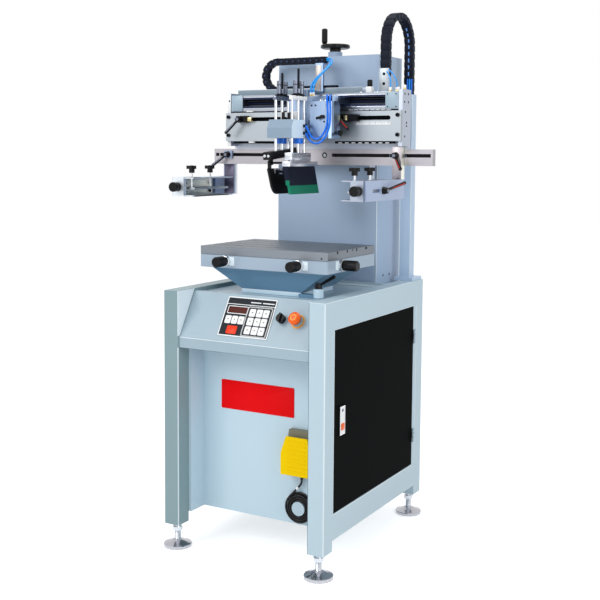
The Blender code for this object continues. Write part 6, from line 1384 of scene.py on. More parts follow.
@dataclass
class Head:
    """Fittings of the head: bolts, painted shade of holes and slots, ruler, belt module, brackets and air
    fittings.
    """

    shop: Workshop
    half: float = 0.294
    plate_y: float = 0.0490
    side_holes: tuple[Span, ...] = (
        (0.0745, 1.2902), (0.0991, 1.2904), (0.0733, 1.2674), (0.0999, 1.2676),
        (0.0792, 1.2393), (0.0881, 1.2092), (0.0884, 1.1999), (0.0769, 1.1703),
    )
    bay: Span = (-0.2395, 0.2395)
    ruler_x: Span = (0.154, 0.262)
    hole: Point = (0.025, 0.100, 1.116)

    def build(self) -> None:
        """Build every fitting."""
        self.front_plate()
        self.module()
        self.beam()
        self.gaps()
        self.brackets()

    def front_plate(self) -> None:
        """Bolts of the front plate, painted shade of the holes in the side plates, and a ruler without
        figures.
        """
        fasten, row = self.shop.fasten, self.shop.rows.piece
        fasten("front_plate_bolts", "cap_screw", DARK_STEEL, "head", [
            ((side * 0.284, self.plate_y, z), FRONT, 0.0056)
            for side in (-1, 1) for z in (1.2305, 1.1750)])
        fasten("side_plate_holes", "dark_hole", BLACK_AND_SHADE, "head", [
            ((side * self.half, y, z), side * RIGHT, 0.0034)
            for side in (-1, 1) for y, z in self.side_holes])
        low = self.plate_y - 0.0004
        blocks("ruler", WHITE_PRINT, "head", [(*self.ruler_x, low, self.plate_y, 1.2030, 1.2125)],
               0.0001, slot="aluminium")
        first = (self.ruler_x[0] + 0.002, low - 0.00005)
        row("ruler_ticks", BLACK_PRINT, "head", Count=27, First=(*first, 1.2102),
            Step=(0.004, 0, 0), Block=(0.0006, 0.0002, 0.0040))
        row("ruler_long_ticks", BLACK_PRINT, "head", Count=6, First=(*first, 1.2090),
            Step=(0.020, 0, 0), Block=(0.0008, 0.0002, 0.0064))

    def module(self) -> None:
        """Painted shade inside the belt module's slot, its dark blue bands, rails and end caps."""
        bay, fine = self.bay, 0.00005
        blocks("module_inside", BLACK_AND_SHADE, "head", [
            (*bay, 0.0890, 0.0898, 1.2622, 1.2838), (*bay, 0.0630, 0.0892, 1.2621, 1.2626),
            (*bay, 0.0630, 0.0892, 1.2834, 1.2839)])
        blocks("module_upper_band", DARK_BLUE_AND_SHADE, "head", [
            (*bay, 0.0619, 0.0624, 1.2842, 1.2885), (*bay, 0.0619, 0.0624, 1.2575, 1.2618)])
        blocks("module_rails", BRIGHT_STEEL, "head", [
            (*bay, 0.0612, 0.0624, 1.2892, 1.2908), (*bay, 0.0612, 0.0624, 1.2552, 1.2568)])
        for word, x in (("left", (-0.2808, -0.2404)), ("right", (0.2404, 0.2808))):
            blocks(f"module_{word}_cap", CAP_BLUE, "head", [
                (*x, 0.0597, 0.0604, 1.2478, 1.2966), (*x, 0.0600, 0.1070, 1.2961, 1.2966)])
        blocks("side_plate_edge", KEY_WHITE, "head", [
            (-0.2940, -0.2822, 0.0585, 0.0588, 1.2436, 1.3020),
            (-0.2940, -0.2822, 0.0585, 0.0588, 1.1430, 1.1564)], 0.0001)
        blocks("module_shade", MODULE_SHADE_GREY, "head", [
            (*bay, 0.0888, 0.0890, 1.2640, 1.2675), (*bay, 0.0888, 0.0890, 1.2790, 1.2806)], fine)
        blocks("module_line", DARK_BLUE_AND_SHADE, "head", [(*bay, 0.0888, 0.0890, 1.2700, 1.2745)], fine)
        blocks("tray_front", TRAY_PAINT, "head",
               [(-0.2798, 0.1498, 0.0963, 0.0965, 1.2980, 1.3140)], fine)
        self.shop.fasten("module_cap_screws", "button_screw", DARK_STEEL, "head", [
            ((-0.2870, 0.0585, 1.2800), FRONT, 0.0026),
            *[((x, 0.0597, z), FRONT, 0.0020) for x in (0.2735, 0.2470) for z in (1.2900, 1.2540)]])

    def beam(self) -> None:
        """Painted shade in the beam's slots, and the screw sunk beside them."""
        z = (1.1095, 1.1225)
        for word, spans in (("right", ((0.2285, 0.2521), (0.2819, 0.3345))),
                            ("left", ((-0.3111, -0.2275), (-0.3640, -0.3459)))):
            blocks(f"{word}_slot_strip", BEAM_SLOT_SHADE, f"clamp_{word}",
                   [(*x, 0.1208, 0.1212, *z) for x in spans])
        blocks("beam_slot_backing", BEAM_SLOT_SHADE, "head", [
            (*x, 0.1201, 0.1206, *z)
            for x in ((0.048, 0.228), (-0.228, -0.048), (0.3345, 0.3670))])
        Form().turned(ring(0.0060, 0.0084, 0, 0.0003), self.hole, FRONT, hollow=True).piece(
            "beam_hole_edge", DARK_STEEL, "head")
        self.shop.fasten("beam_screw", "cap_screw", BRIGHT_STEEL, "head",
                         [((0.025, 0.1055, 1.116), FRONT, 0.0056)])

    def gaps(self) -> None:
        """Painted shade in the gaps between the module, the front plate and the beam, and light pieces seen
        there.
        """
        blocks("under_module_strip", BLACK_AND_SHADE, "head",
               [(-0.276, 0.276, 0.0492, 0.0590, 1.2432, 1.2452)])
        blocks("front_plate_clips", KEY_WHITE, "head", [
            (-0.2200, -0.1980, 0.0500, 0.0580, 1.2431, 1.2490),
            (-0.2120, -0.1930, 0.0500, 0.0580, 1.1512, 1.1569)], 0.0008)
        blocks("front_slot_backing", BLACK_AND_SHADE, "head", [
            (*x, 0.0720, 0.0724, 1.2050, 1.2400) for x in ((0.070, 0.270), (-0.270, -0.070))])
        row = self.shop.rows.piece
        row("under_module_clips", KEY_WHITE, "head", Count=8, First=(0.135, 0.0540, 1.2462),
            Step=(0.0170, 0, 0), Block=(0.0120, 0.0060, 0.0018))
        blocks("under_plate_strip", BLACK_AND_SHADE, "head", [
            (*x, 0.0600, 0.0640, 1.1500, 1.1568) for x in ((0.080, 0.272), (-0.272, -0.110))])
        row("under_plate_clips", KEY_WHITE, "head", Count=8, First=(0.098, 0.0590, 1.1520),
            Step=(0.0215, 0, 0), Block=(0.0110, 0.0020, 0.0030))

    def brackets(self) -> None:
        """Lift chain's bracket, silencer and fittings on the top, and the tubes to the chain."""
        fasten = self.shop.fasten
        blocks("lift_bracket_face", HEAD_ALUMINIUM, "head",
               [(0.2040, 0.2320, 0.0955, 0.0959, 1.3010, 1.3655)], 0.0001)
        fasten("lift_bracket_screws", "button_screw", DARK_STEEL, "head",
               [((0.218, 0.0955, z), FRONT, 0.0044) for z in (1.3500, 1.3220)])
        blocks("silencer_block", KEY_WHITE, "head",
               [(0.1680, 0.1860, 0.0800, 0.0990, 1.2964, 1.3140)], 0.0008)
        Form().turned([(0.0068, 0), (0.0075, 0.0012), (0.0075, 0.0170), (0.0066, 0.0190),
                       (0.0045, 0.0200)], (0.1768, 0.0895, 1.3140), UP, 24).piece(
            "silencer", SILENCER_BLACK, "head")
        fasten("head_top_screws", "cap_screw", BRIGHT_STEEL, "head",
               [((x, 0.0860, 1.2964), UP, 0.0036) for x in (0.150, 0.194, 0.2025)])
        push_fittings("head", "head", [(0.2500, 0.0720, 1.2966), (0.2640, 0.0850, 1.2966),
                                       (0.2755, 0.0700, 1.2966), (0.2880, 0.0860, 1.3030)],
                      (0.0052, 0.0050), [(0.0042, 0.0049), (0.0044, 0.0060), (0.0044, 0.0120),
                                         (0.0036, 0.0132)])
        tubes("head_tubes", TUBE_BLUE, "head", 0.0019, [
            [(0.2500, 0.0720, 1.3090), (0.2500, 0.0725, 1.3200), (0.2440, 0.0800, 1.3390),
             (0.2330, 0.0915, 1.3500), (0.2270, 0.0955, 1.3560)],
            [(0.2640, 0.0850, 1.3090), (0.2640, 0.0853, 1.3220), (0.2540, 0.0890, 1.3420),
             (0.2400, 0.0940, 1.3560), (0.2320, 0.0960, 1.3620)]])


@dataclass
class Carriage:
    """Fittings of the carriage: air tubes and their fittings, screws, regulators and cylinders."""

    shop: Workshop
    plate_top: float = 1.2850
    cover_top: float = 1.2680
    cover_front_y: float = -0.045
    tool_side_x: float = 0.044
    fitting_y: float = 0.003

    def build(self) -> None:
        """Build every fitting."""
        self.supply_tubes()
        self.loop_tubes()
        self.screws()
        self.tool_box()

    def supply_tubes(self) -> None:
        """Two light tubes from the chain's end down to the carriage plate."""
        y = self.fitting_y
        tubes("supply_tubes", TUBE_BLUE, "carriage", 0.0029, [
            [(0.0255, 0.1060, 1.3960), (0.0370, 0.1020, 1.3950), (0.0490, 0.0800, 1.3830),
             (0.0515, 0.0500, 1.3640), (0.0430, 0.0220, 1.3430), (0.0330, 0.0060, 1.3210),
             (0.0300, y, 1.3080), (0.0300, y, 1.2950)],
            [(0.0255, 0.1060, 1.4010), (0.0420, 0.1020, 1.4000), (0.0575, 0.0800, 1.3880),
             (0.0585, 0.0500, 1.3690), (0.0510, 0.0220, 1.3470), (0.0420, 0.0060, 1.3240),
             (0.0385, y, 1.3100), (0.0385, y, 1.2950)]], "air_tube")
        push_fittings("supply", "carriage", [(x, y, self.plate_top) for x in (0.0300, 0.0385)],
                      (0.0042, 0.0045), [(0.0036, 0.0044), (0.0038, 0.0052), (0.0038, 0.0100),
                                         (0.0032, 0.0110)])

    def loop_tubes(self) -> None:
        """Two darker tubes that loop from the cover's top to the tool box's side."""
        tubes("loop_tubes", TUBE_DEEP_BLUE, "carriage", 0.0032, [
            [(0.1130, -0.0300, 1.2810), (0.1150, -0.0390, 1.2830), (0.1210, -0.0500, 1.2680),
             (0.1245, -0.0550, 1.2350), (0.1225, -0.0575, 1.1950), (0.1090, -0.0620, 1.1620),
             (0.0890, -0.0650, 1.1490), (0.0690, -0.0655, 1.1540), (0.0570, -0.0645, 1.1680),
             (0.0520, -0.0640, 1.1765), (0.0480, -0.0640, 1.1780)],
            [(0.1030, -0.0300, 1.2810), (0.1050, -0.0390, 1.2830), (0.1120, -0.0500, 1.2640),
             (0.1160, -0.0540, 1.2300), (0.1140, -0.0560, 1.1980), (0.1010, -0.0600, 1.1700),
             (0.0850, -0.0625, 1.1610), (0.0700, -0.0640, 1.1680), (0.0590, -0.0645, 1.1850),
             (0.0530, -0.0645, 1.1960), (0.0480, -0.0640, 1.1980)]])
        form = Form()
        for x in (0.1030, 0.1130):
            form.turned([(0.0046, 0), (0.0046, 0.0040), (0.0038, 0.0050), (0.0038, 0.0135),
                         (0.0032, 0.0145)], (x, -0.0300, self.cover_top), UP, 20)
        for z in (1.1780, 1.1980):
            form.turned([(0.0046, 0), (0.0046, 0.0025), (0.0040, 0.0035), (0.0040, 0.0070)],
                        (self.tool_side_x, -0.0640, z), RIGHT, 20)
        form.piece("loop_fittings", BLACK_PLASTIC, "carriage")

    def screws(self) -> None:
        """Screws, nuts and levers of the cover, and painted shade on the face of the chain's bracket."""
        fasten, y = self.shop.fasten, self.cover_front_y
        fasten("cover_screws", "button_screw", DARK_STEEL, "carriage", [
            ((x, y, z), FRONT, 0.0027)
            for x, z in ((0.0590, 1.2560), (0.0720, 1.2560), (0.0590, 1.1730), (0.1000, 1.2100))])
        fasten("cover_nuts", "hex_nut", BRIGHT_STEEL, "carriage", [
            ((0.0760, -0.0200, self.cover_top), UP, 0.0055),
            ((0.0890, -0.0150, self.cover_top), UP, 0.0048)])
        blocks("bracket_face", BRACKET_SHADE_ALUMINIUM, "carriage",
               [(-0.0008, 0.0185, 0.0861, 0.0864, 1.3045, 1.3810)], 0.0001)
        lever = Form().rod((0.1222, 0.0030, 1.1800), (0.1340, 0.0030, 1.1800), 0.0070, 0.0058)
        lever.rod((0.1290, 0.0030, 1.1800), (0.1420, -0.0250, 1.1735), 0.0034, 0.0046)
        lever.piece("carriage_lever", BLACK_KNOB, "carriage")
        knob = Form().rod((0.0960, y, 1.2240), (0.0960, -0.0560, 1.2240), 0.0058, 0.0048)
        knob.rod((0.0960, -0.0520, 1.2240), (0.0800, -0.0560, 1.2190), 0.0032, 0.0040)
        knob.piece("cover_lever", BLACK_KNOB, "carriage")

    def tool_box(self) -> None:
        """Painted light on the tool box's side, speed regulators above it and blue cylinder ends below."""
        Form().prism([(-0.1307, 1.1633), (-0.0553, 1.1633), (-0.0553, 1.2147),
                      (-0.1199, 1.2147), (-0.1307, 1.1914)], (0.0000, 0.0003),
                     frame_of((self.tool_side_x, 0, 0), BACK, UP)).piece(
            "tool_box_side", TOOL_SIDE_LIT_PAINT, "carriage")
        form = Form()
        for x, y in ((-0.0050, -0.0940), (0.0100, -0.0780), (-0.0040, -0.0640)):
            form.turned([(0.0054, 0), (0.0054, 0.0070), (0.0046, 0.0080), (0.0046, 0.0200),
                         (0.0036, 0.0215)], (x, y, 1.2150), UP, 20)
        form.piece("regulators", BLACK_PLASTIC, "carriage")
        blocks("valve_blocks", KEY_WHITE, "carriage",
               [(-0.0140, 0.0180, -0.0540, -0.0450, 1.2052, 1.2400)], 0.0010)
        form = Form()
        for x in (-0.0230, 0.0300):
            form.turned(ring(0.0050, 0.0142, -0.0002, 0.0146), (x, -0.0700, 1.1480), hollow=True)
        form.piece("cylinder_ends", TUBE_DEEP_BLUE, "carriage")


@dataclass
class ToolRods:
    """Bright rods, crosshead, stroke screw and carrier of one tool, in the place of its solid."""

    shop: Workshop
    word: str
    x: float
    stroke_top: float
    crosshead: Finish
    rod_low: float = 1.113
    rod_radius: float = 0.004
    rod_y: tuple[float, float, float] = (-0.105, -0.070, -0.035)
    head_z: Span = (1.2705, 1.2820)

    def build(self) -> None:
        """Build the rods' pieces."""
        word, body, x, (low, high) = self.word, f"{self.word}_rods", self.x, self.head_z
        middle = self.rod_y[1]
        rods, stroke, sleeves = Form(), Form(), Form()
        for y in self.rod_y:
            rods.rod((x, y, self.rod_low), (x, y, low + 0.0010), self.rod_radius)
        rods.piece(f"{word}_bright_rods", BRIGHT_STEEL, body, body)
        blocks(f"{word}_crosshead", self.crosshead, body,
               [(*around(x, 0.0055), -0.113, -0.027, low, high)], 0.0008, body, "aluminium")
        stroke.rod((x, middle, high - 0.001), (x, middle, self.stroke_top), 0.0034)
        for y in around(middle, 0.0175):
            sleeves.rod((x, y, high + 0.006), (x, y, 1.3250), 0.0066)
            stroke.rod((x, y, high - 0.001), (x, y, high + 0.0065), 0.0070)
            stroke.rod((x, y, 1.3120), (x, y, 1.3150), 0.0070)
        stroke.piece(f"{word}_stroke_screw", DARK_STEEL, body, body)
        sleeves.piece(f"{word}_stroke_sleeves", RAIL_STEEL, body, body)
        Form().rod((x, middle, 1.290), (x, middle, 1.302), 0.0075).piece(
            f"{word}_stroke_nuts", RAIL_STEEL, body, body)
        self.shop.fasten(f"{word}_rod_screws", "cap_screw", DARK_STEEL, body,
                         [((x, y, high), UP, 0.0038) for y in (self.rod_y[0], self.rod_y[2])])


@dataclass
class Tools:
    """Rods and carriers of squeegee and flood blade, and the trim of holder and blade."""

    shop: Workshop

    def build(self) -> None:
        """Build both tools' pieces."""
        ToolRods(self.shop, "squeegee", 0.030, 1.359, KEY_WHITE).build()
        ToolRods(self.shop, "flood", -0.023, 1.348, RAIL_STEEL).build()
        form = Form().box((0.018, 0.042, -0.125, -0.015, 1.1005, 1.122), 0.0010)
        form.box((0.0365, 0.0395, -0.125, -0.015, 1.0935, 1.1015))
        form.rod((0.038, -0.150, 1.0935), (0.038, 0.010, 1.0935), 0.0030)
        form.piece("squeegee_carrier", TOOL_ALUMINIUM, "squeegee_rods", "squeegee_rods")
        self.flood_carrier()
        Form().prism([(0.0378, 1.0312), (0.0500, 1.0312), (0.0496, 1.0450), (0.0362, 1.0450)],
                     (0.0, 0.0003), frame_of((0, -0.1500, 0), RIGHT, UP)).piece(
            "blade_end", BLADE_GREEN, "squeegee")
        blocks("holder_bar", TOOL_ALUMINIUM, "squeegee",
               [(0.0252, 0.0503, -0.1503, 0.0103, 1.0840, 1.0973)], 0.0004)
        blocks("flood_clamps", BRIGHT_STEEL, "flood_bar", [
            (-0.0215, -0.0150, *around(y, 0.0200), 1.0560, 1.0775) for y in (-0.100, -0.040)],
            0.0008)
        self.shop.fasten("flood_clamp_screws", "cap_screw", DARK_STEEL, "flood_bar", [
            ((-0.0150, y, 1.0680), RIGHT, 0.0036) for y in (-0.112, -0.088, -0.052, -0.028)])

    def flood_carrier(self) -> None:
        """Black tilted carrier of the flood blade, its lugs, pin and clamping screws."""
        tilt = Matrix.Translation((0, -0.0675, 1.120)) @ Matrix.Rotation(math.radians(5.7), 4, "X")
        form = Form().box((-0.038, -0.012, -0.0825, 0.0825, -0.011, 0.011), 0.0012, tilt)
        for y in (-0.128, -0.018):
            form.box((*around(-0.025, 0.006), *around(y, 0.003), 1.087, 1.120))
        form.rod((-0.025, -0.140, 1.093), (-0.025, -0.006, 1.093), 0.0030)
        form.piece("flood_carrier", BLACK_PLASTIC, "flood_rods", "flood_rods")
        self.shop.fasten("flood_carrier_screws", "cap_screw", BRIGHT_STEEL, "flood_rods", [
            (tuple(tilt @ Vector((-0.025 + dx, -0.0825, 0))), FRONT, 0.0040)
            for dx in (-0.006, 0.006)])


@dataclass
class Lever:
    """Clamping lever as its solid has it: where its hub sits, which way it faces and its tip."""

    name: str
    body: str
    seat: Point
    axis: Vector
    tip: Point
    insert: Finish = RED_INSERT
    hub: float = 0.0145

    def build(self) -> None:
        """Insert along the lever's outer side, and the button in its hub."""
        seat, axis = Vector(self.seat), self.axis
        root = seat + axis * (self.hub / 2)
        arm = Vector(self.tip) - root
        along = arm.normalized()
        out = (axis - along * axis.dot(along)).normalized()
        Form().rod(root + arm * 0.30 + out * 0.0032, root + arm * 0.90 + out * 0.0044, 0.0012,
                   0.0016, 12).piece(f"{self.name}_insert", self.insert, self.body,
                                     slot="orange_plastic")
        Form().turned([(0.0052, -0.0002), (0.0052, 0.0006), (0.0044, 0.0012)],
                      seat + axis * self.hub, axis, 20).piece(
            f"{self.name}_button", RAIL_STEEL, self.body)


@dataclass
class Clamps:
    """Trim of the two screen clamps and of the levers."""

    shop: Workshop
    star_y: Span = (-0.120, -0.025)
    offset: float = 0.0440
    shift: float = 0.0037

    def build(self) -> None:
        """Build the trim of both clamps and every lever's insert."""
        for lever in (
            Lever("right_beam_lever", "clamp_right_beam_lever", (0.267, 0.0764, 1.116), FRONT,
                  (0.293, 0.0562, 1.075)),
            # On this black lever the grey metal strip is a painted highlight along it.
            Lever("left_beam_lever", "clamp_left_beam_lever", (-0.317, 0.0939, 1.116), FRONT,
                  (-0.363, 0.0737, 1.080), RAIL_STEEL),
            Lever("side_lever", "clamp_right_side_lever", (0.2853, -0.043, 1.020), RIGHT,
                  (0.3055, 0.060, 1.040)),
            # On this black lever the grey metal strip is a painted highlight along it.
            Lever("left_stop_lever", "stop_left", (-0.232, 0.0302, 1.223), FRONT,
                  (-0.275, 0.0155, 1.180), RAIL_STEEL),
            Lever("right_stop_lever", "stop_right", (0.110, 0.0302, 1.223), FRONT,
                  (0.147, 0.0155, 1.190)),
        ):
            lever.build()
        for word, span in (("left", (-0.2098, -0.1930, 0.0340, 0.0455, 1.2165, 1.2280)),
                           ("right", (0.1240, 0.1360, 0.0250, 0.0299, 1.2160, 1.2300))):
            blocks(f"{word}_stop_sensor", BRASS, f"stop_{word}", [span], 0.0006)
        self.clamp(1, "right", 0.2792)
        self.clamp(-1, "left", -0.3467)
        self.faces()

    def faces(self) -> None:
        """Faces of the arms with painted light on their sides, the left channel's screwed plate painted
        lighter against its lip's shade, painted shade on the channel's back, and its black edge strips.
        """
        channel, thin = "clamp_left_channel", 0.0001
        x, z = (-0.3421, -0.3415), (0.9965, 1.0440)
        blocks("right_hanger_front", HANGER_ALUMINIUM, "clamp_right",
               [(0.2562, 0.2845, 0.07655, 0.07672, 1.0485, 1.1410)], 0.00005)
        # Painted light on the right hanger's lit side.
        blocks("right_hanger_side", LIT_ALUMINIUM, "clamp_right",
               [(0.2846, 0.2849, 0.0769, 0.0995, 1.0485, 1.1410)], thin)
        # The left channel's plate, painted lighter against the shade of the channel's lip.
        blocks("left_channel_plate", LIT_ALUMINIUM, channel, [(*x, -0.1385, 0.0440, *z)])
        # Painted shade on the back of the left channel.
        blocks("left_channel_back", CHANNEL_BACK_SHADE, channel, [(*x, 0.0450, 0.0612, *z)], thin)
        self.shop.fasten("left_channel_screws", "cap_screw", DARK_STEEL, channel, [
            ((x[1], y, z), RIGHT, 0.0044) for y in (-0.0980, 0.0300) for z in (1.0300, 1.0040)])
        blocks("left_channel_strips", BLACK_AND_SHADE, channel, [
            (-0.3200, -0.2782, -0.1390, -0.1080, 1.0478, 1.0486),
            (-0.3200, -0.2782, -0.1390, -0.1080, 0.9914, 0.9922),
            (-0.2784, -0.2774, -0.1380, 0.0400, 0.9918, 0.9950)], thin)
        blocks("left_arm_front", PLUM_STEEL, "clamp_left",
               [(-0.3460, -0.3113, 0.1199, 0.1202, 0.9930, 1.0855)], thin)
        # Painted light on the left arm's lit side.
        blocks("left_arm_side", TOOL_ALUMINIUM, "clamp_left",
               [(-0.3110, -0.3106, 0.1206, 0.1400, 0.9930, 1.0855)], thin)

    def clamp(self, side: int, word: str, back: float) -> None:
        """Pressure bar, bright screw stems, nuts on the channel and the end knob's knurl.

        Args:
            side: 1 for the right clamp, -1 for the left.
            word: The same in a word.
            back: Place of the channel's back along X.
        """
        screw_x = back - side * self.offset
        middle = back - side * (self.offset - self.shift)
        blocks(f"{word}_pressure_bar", HEAD_ALUMINIUM, f"clamp_{word}_screws",
               [(*around(middle, 0.0202), -0.1302, 0.0502, 1.0118, 1.0182)], 0.0003)
        stems, nuts, caps = Form(), Form(), Form()
        for y in self.star_y:
            stems.rod((screw_x, y, 1.0178), (screw_x, y, 1.0612), 0.00318)
            nuts.turned(ring(0.0040, 0.0068, 0, 0.0006), (screw_x, y, 1.0481), UP, 6, hollow=True)
            caps.turned([(0.0050, -0.0002), (0.0050, 0.0004), (0.0038, 0.0010)],
                        (screw_x, y, 1.0825), UP, 20)
        stems.piece(f"{word}_screw_stems", BRIGHT_STEEL, f"clamp_{word}_screws")
        nuts.piece(f"{word}_channel_nuts", BRIGHT_STEEL, f"clamp_{word}_channel")
        caps.piece(f"{word}_star_caps", RAIL_STEEL, f"clamp_{word}_screws")
        self.shop.ribs.wrap(f"{word}_end_knob_knurl", BLACK_KNOB, f"clamp_{word}_end_knob",
                            (back - side * 0.017, -0.1690, 1.020), FRONT, 0.0139, 40,
                            (0.0006, 0.0011, 0.0100))


@dataclass
class Table:
    """Trim of the worktable and its grips, and the painted shade of the screw holes of table and column."""

    shop: Workshop
    half: float = 0.205
    front_y: float = -0.215
    grip_x: float = 0.118
    grip_z: float = 0.8175

    def build(self) -> None:
        """Build the trim."""
        half, front, grip_x = self.half, self.front_y, self.grip_x
        for name, x, y, axis in (("knob_front_left", -grip_x, front, FRONT),
                                 ("knob_front_right", grip_x, front, FRONT),
                                 ("knob_side", half, -0.140, RIGHT)):
            self.grip(name, Vector((x, y, self.grip_z)), axis)
        self.shop.fasten("column_holes", "dark_hole", BLACK_AND_SHADE, "base", [
            ((0.172, y, 0.7540), RIGHT, 0.0036) for y in (0.2065, 0.2514)])
        z = (0.8055, 0.8295)
        # White patches on the block beside each grip, in the same white as the painted edge highlights.
        blocks("grip_plates", EDGE_HIGHLIGHT, "base", [
            *[(x - 0.0150, x + 0.0270, front - 0.0003, front + 0.0002, *z)
              for x in (-grip_x, grip_x)],
            (half - 0.0002, half + 0.0003, -0.1670, -0.1250, *z)], 0.0001)
        self.shop.fasten("table_holes", "dark_hole", BLACK_AND_SHADE, "table", [
            *[((half, y, 0.8531), RIGHT, 0.0028) for y in (-0.156, -0.0648, 0.0231)],
            ((0.187, front, 0.840), FRONT, 0.0026)])

    def grip(self, name: str, seat: Vector, axis: Vector) -> None:
        """Bright collar with its scale, and the knurl of the black grip.

        Args:
            name: Name of the grip's body.
            seat: Middle of its inner end.
            axis: Direction that it points in.
        """
        Form().turned([(0.0052, 0.0004), (0.0153, 0.0004), (0.0153, 0.0102), (0.0147, 0.0106),
                       (0.0052, 0.0106)], seat, axis, hollow=True).piece(
            f"{name}_collar", BRIGHT_STEEL, name)
        wrap = self.shop.ribs.wrap
        wrap(f"{name}_scale", BLACK_PRINT, name, seat + axis * 0.0070, axis, 0.0153, 40,
             (0.0002, 0.0004, 0.0030))
        wrap(f"{name}_knurl", BLACK_KNOB, name, seat + axis * 0.0200, axis, 0.0143, 48,
             (0.0008, 0.0010, 0.0280))


@dataclass
class FootLead:
    """Lead of the foot switch: its drop, its flat coil on the hook, and its white plug."""

    radius: float = 0.003
    coil_x: float = 0.123
    coil_z: float = 0.146
    coil_front_y: float = -0.2151
    coil_back_y: float = -0.2084
    coil_radius: float = 0.042
    coil_step: float = 0.0067
    coil_turns: float = 3.5
    coil_points: int = 24
    coil_angle: float = math.radians(135)
    drop: tuple[Point, ...] = (
        (0.131, -0.2138, 0.2427), (0.131, -0.2138, 0.2365), (0.1310, -0.2139, 0.226),
        (0.1285, -0.2143, 0.216), (0.1205, -0.2149, 0.205),
    )

    def coil(self) -> list[Vector]:
        """Wind the coil: in along the front layer and out again behind it.

        Returns:
            Its points.
        """
        steps = round(self.coil_turns * self.coil_points)
        climb = self.coil_points // 4
        turn = math.tau / self.coil_points
        points = []
        for step in range(2 * steps + 1):
            inward = min(step, 2 * steps - step)
            radius = self.coil_radius - self.coil_step * inward / self.coil_points
            rise = min(1, max(0, (step - steps + climb) / (2 * climb)))
            angle = self.coil_angle + turn * step
            points.append(Vector((self.coil_x + radius * math.cos(angle),
                                  self.coil_front_y + (self.coil_back_y - self.coil_front_y) * rise,
                                  self.coil_z + radius * math.sin(angle))))
        end = self.coil_angle + turn * 2 * steps
        lead_in = Vector((math.sin(self.coil_angle), 0, -math.cos(self.coil_angle)))
        lead_out = Vector((-math.sin(end), 0, math.cos(end)))
        reach = 2 * self.radius
        return [points[0] + lead_in * reach, *points, points[-1] + lead_out * reach]

    def build(self) -> None:
        """Build the lead as one cord, with its strain relief, its tag and its plug."""
        coil = self.coil()
        before = coil[0] + (coil[0] - coil[1]).normalized() * (2 * self.radius)
        drop = smooth_route([*self.drop, tuple(before), tuple(coil[0])], 2 * self.radius)
        path = [*drop[:-1], *smooth_route([tuple(p) for p in coil], 1.2 * self.radius)]
        lead = Form().tube(path, self.radius * 0.995, 10).piece(
            "switch_lead", LEAD_RUBBER, "base", "foot_lead foot_lead_coil", sharp=60)
        relief = Form().turned([(0.0052, 0), (0.0055, 0.001), (0.0050, 0.004), (0.0052, 0.005),
                                (0.0046, 0.008), (0.0048, 0.009), (0.0041, 0.013),
                                (0.0034, 0.016)], (0.131, -0.2138, 0.2438), DOWN).piece(
            "switch_lead_relief", LEAD_RUBBER, "base")
        near = min(range(len(path)), key=lambda i: (path[i] - Vector(self.drop[-1])).length)
        along = (path[near + 1] - path[near]).normalized()
        tag = Form().turned([(0.0040, 0), (0.0043, 0.0008), (0.0043, 0.0080), (0.0038, 0.0090)],
                            path[near] - along * 0.0045, along).piece(
            "switch_lead_tag", WHITE_PRINT, "base", slot="rubber_black")
        out = (path[-1] - path[-2]).normalized()
        plug = Form().turned([(0.0042, 0), (0.0046, 0.0008), (0.0046, 0.0100), (0.0036, 0.0120),
                              (0.0030, 0.0120), (0.0030, 0.0170), (0.0024, 0.0176)],
                             path[-1] - out * 0.0030, out).piece(
            "switch_lead_plug", WHITE_PRINT, "base", slot="rubber_black")


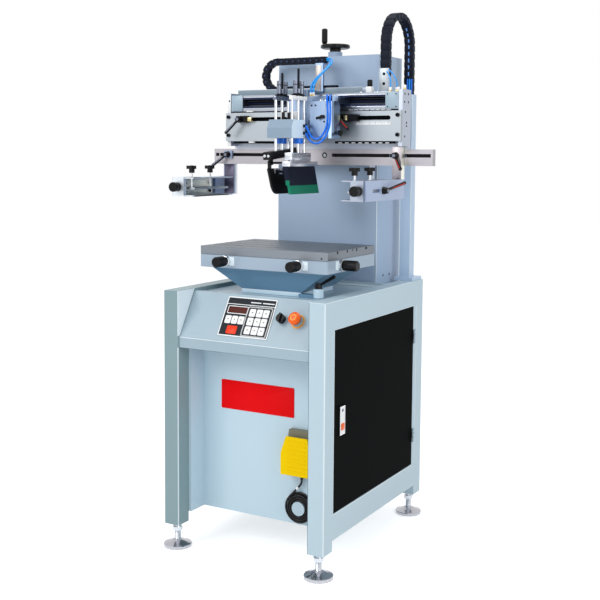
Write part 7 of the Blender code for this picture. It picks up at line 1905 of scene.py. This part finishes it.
@dataclass
class Studio:
    """Pale floor, soft lights and the camera at the photograph's angle."""

    focal_px: float = 1038.6
    picture_px: float = 600.0
    axis_row: float = 241.7
    position: Point = (1.49346, -2.64351, 1.11527)
    azimuth: float = math.radians(29.48)
    pitch: float = math.radians(4.76)
    roll: float = math.radians(0.40)
    floor_half: float = 15.0

    def camera(self) -> None:
        """Place the camera."""
        ahead = Vector((-math.sin(self.azimuth) * math.cos(self.pitch),
                        math.cos(self.azimuth) * math.cos(self.pitch), -math.sin(self.pitch)))
        right = Vector((math.cos(self.azimuth), math.sin(self.azimuth), 0))
        up = right.cross(ahead)
        c, s = math.cos(self.roll), math.sin(self.roll)
        data = bpy.data.cameras.new("camera")
        data.sensor_width = 36.0
        data.lens = data.sensor_width * self.focal_px / self.picture_px
        data.shift_y = (self.axis_row - self.picture_px / 2) / self.picture_px
        data.clip_end = 50.0
        camera = put("camera", data)
        turn = Matrix((c * right + s * up, c * up - s * right, -ahead)).transposed().to_4x4()
        camera.matrix_world = Matrix.Translation(self.position) @ turn
        bpy.context.scene.camera = camera

    def floor(self) -> None:
        """Lay the floor, which shows white and keeps the object's shadow."""
        half = self.floor_half
        mesh = bpy.data.meshes.new("floor")
        mesh.from_pydata([(-half, -half, 0), (half, -half, 0), (half, half, 0), (-half, half, 0)],
                         [], [(0, 1, 2, 3)])
        material = bpy.data.materials.new("floor_paper")
        material.use_nodes = True
        tree = material.node_tree
        tree.nodes.clear()
        paper = add_node(tree, "ShaderNodeBsdfDiffuse", {"Color": (0.82, 0.82, 0.83, 1)})
        seen = add_node(tree, "ShaderNodeMath", {0: self.direct(tree), 1: 0.60},
                        operation="MULTIPLY")
        shine = add_node(tree, "ShaderNodeEmission", {"Color": (1, 1, 1, 1), "Strength": seen[0]})
        both = add_node(tree, "ShaderNodeAddShader", {0: paper[0], 1: shine[0]})
        add_node(tree, "ShaderNodeOutputMaterial", {"Surface": both[0]})
        mesh.materials.append(material)
        put("floor", mesh)

    @staticmethod
    def direct(tree: bpy.types.NodeTree) -> bpy.types.NodeSocket:
        """Tell rays of sight from rays of light.

        Args:
            tree: Tree that takes the nodes.

        Returns:
            1 for rays from the camera, a mirror or a lens, and 0 for the rest.
        """
        rays = add_node(tree, "ShaderNodeLightPath", {})
        seen = rays["Is Camera Ray"]
        for name in ("Is Glossy Ray", "Is Transmission Ray"):
            seen = add_node(tree, "ShaderNodeMath", {0: seen, 1: rays[name]},
                            operation="MAXIMUM")[0]
        return seen

    def world(self) -> None:
        """White surroundings for the eye, and a plain grey light for the object."""
        world = bpy.data.worlds.new("studio")
        bpy.context.scene.world = world
        world.use_nodes = True
        tree = world.node_tree
        tree.nodes.clear()
        light, white = [add_node(tree, "ShaderNodeBackground", {"Color": colour, "Strength": level})
                        for colour, level in (((0.93, 0.97, 1.0, 1), 0.55), ((1, 1, 1, 1), 1.0))]
        mix = add_node(tree, "ShaderNodeMixShader",
                       {"Fac": self.direct(tree), 1: light[0], 2: white[0]})
        add_node(tree, "ShaderNodeOutputWorld", {"Surface": mix[0]})

    @staticmethod
    def lamp(name: str, place: Point, target: Point, size: float, power: float) -> None:
        """Hang a soft square lamp that looks at a point.

        Args:
            name: Name of the lamp.
            place: Its place.
            target: Point that it looks at.
            size: Its width.
            power: Its power in watts.
        """
        data = bpy.data.lights.new(name, "AREA")
        data.shape = "SQUARE"
        data.size = size
        data.energy = power
        aim = (Vector(target) - Vector(place)).to_track_quat("-Z", "Y").to_matrix().to_4x4()
        put(name, data).matrix_world = Matrix.Translation(place) @ aim

    def build(self) -> None:
        """Set up the studio."""
        self.camera()
        self.floor()
        self.world()
        self.lamp("key_lamp", (-1.6, -3.2, 2.9), (0, 0, 0.9), 1.8, 60)
        self.lamp("fill_lamp", (-0.2, -3.2, 0.30), (0, -0.2, 0.45), 1.2, 9)
        self.lamp("right_lamp", (3.2, -1.4, 2.0), (0, 0, 0.7), 2.0, 38)
        self.lamp("top_lamp", (0.2, 0.2, 3.6), (0, 0, 0.7), 2.0, 26)
        bpy.context.scene.view_settings.view_transform = "Standard"


def main() -> None:
    """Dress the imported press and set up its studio."""
    logging.basicConfig(level=logging.INFO, format="%(message)s")
    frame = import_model()
    Studio().build()
    FootLead().build()
    dress(frame["nodes"])
    shop = Workshop()
    for part in (Cabinet(), Console(), Edges(), DragChain(shop), LiftChain(shop), Head(shop),
                 Carriage(shop), Tools(shop), Clamps(shop), Table(shop)):
        part.build()
    shop.close()


if __name__ == "__main__":
    main()
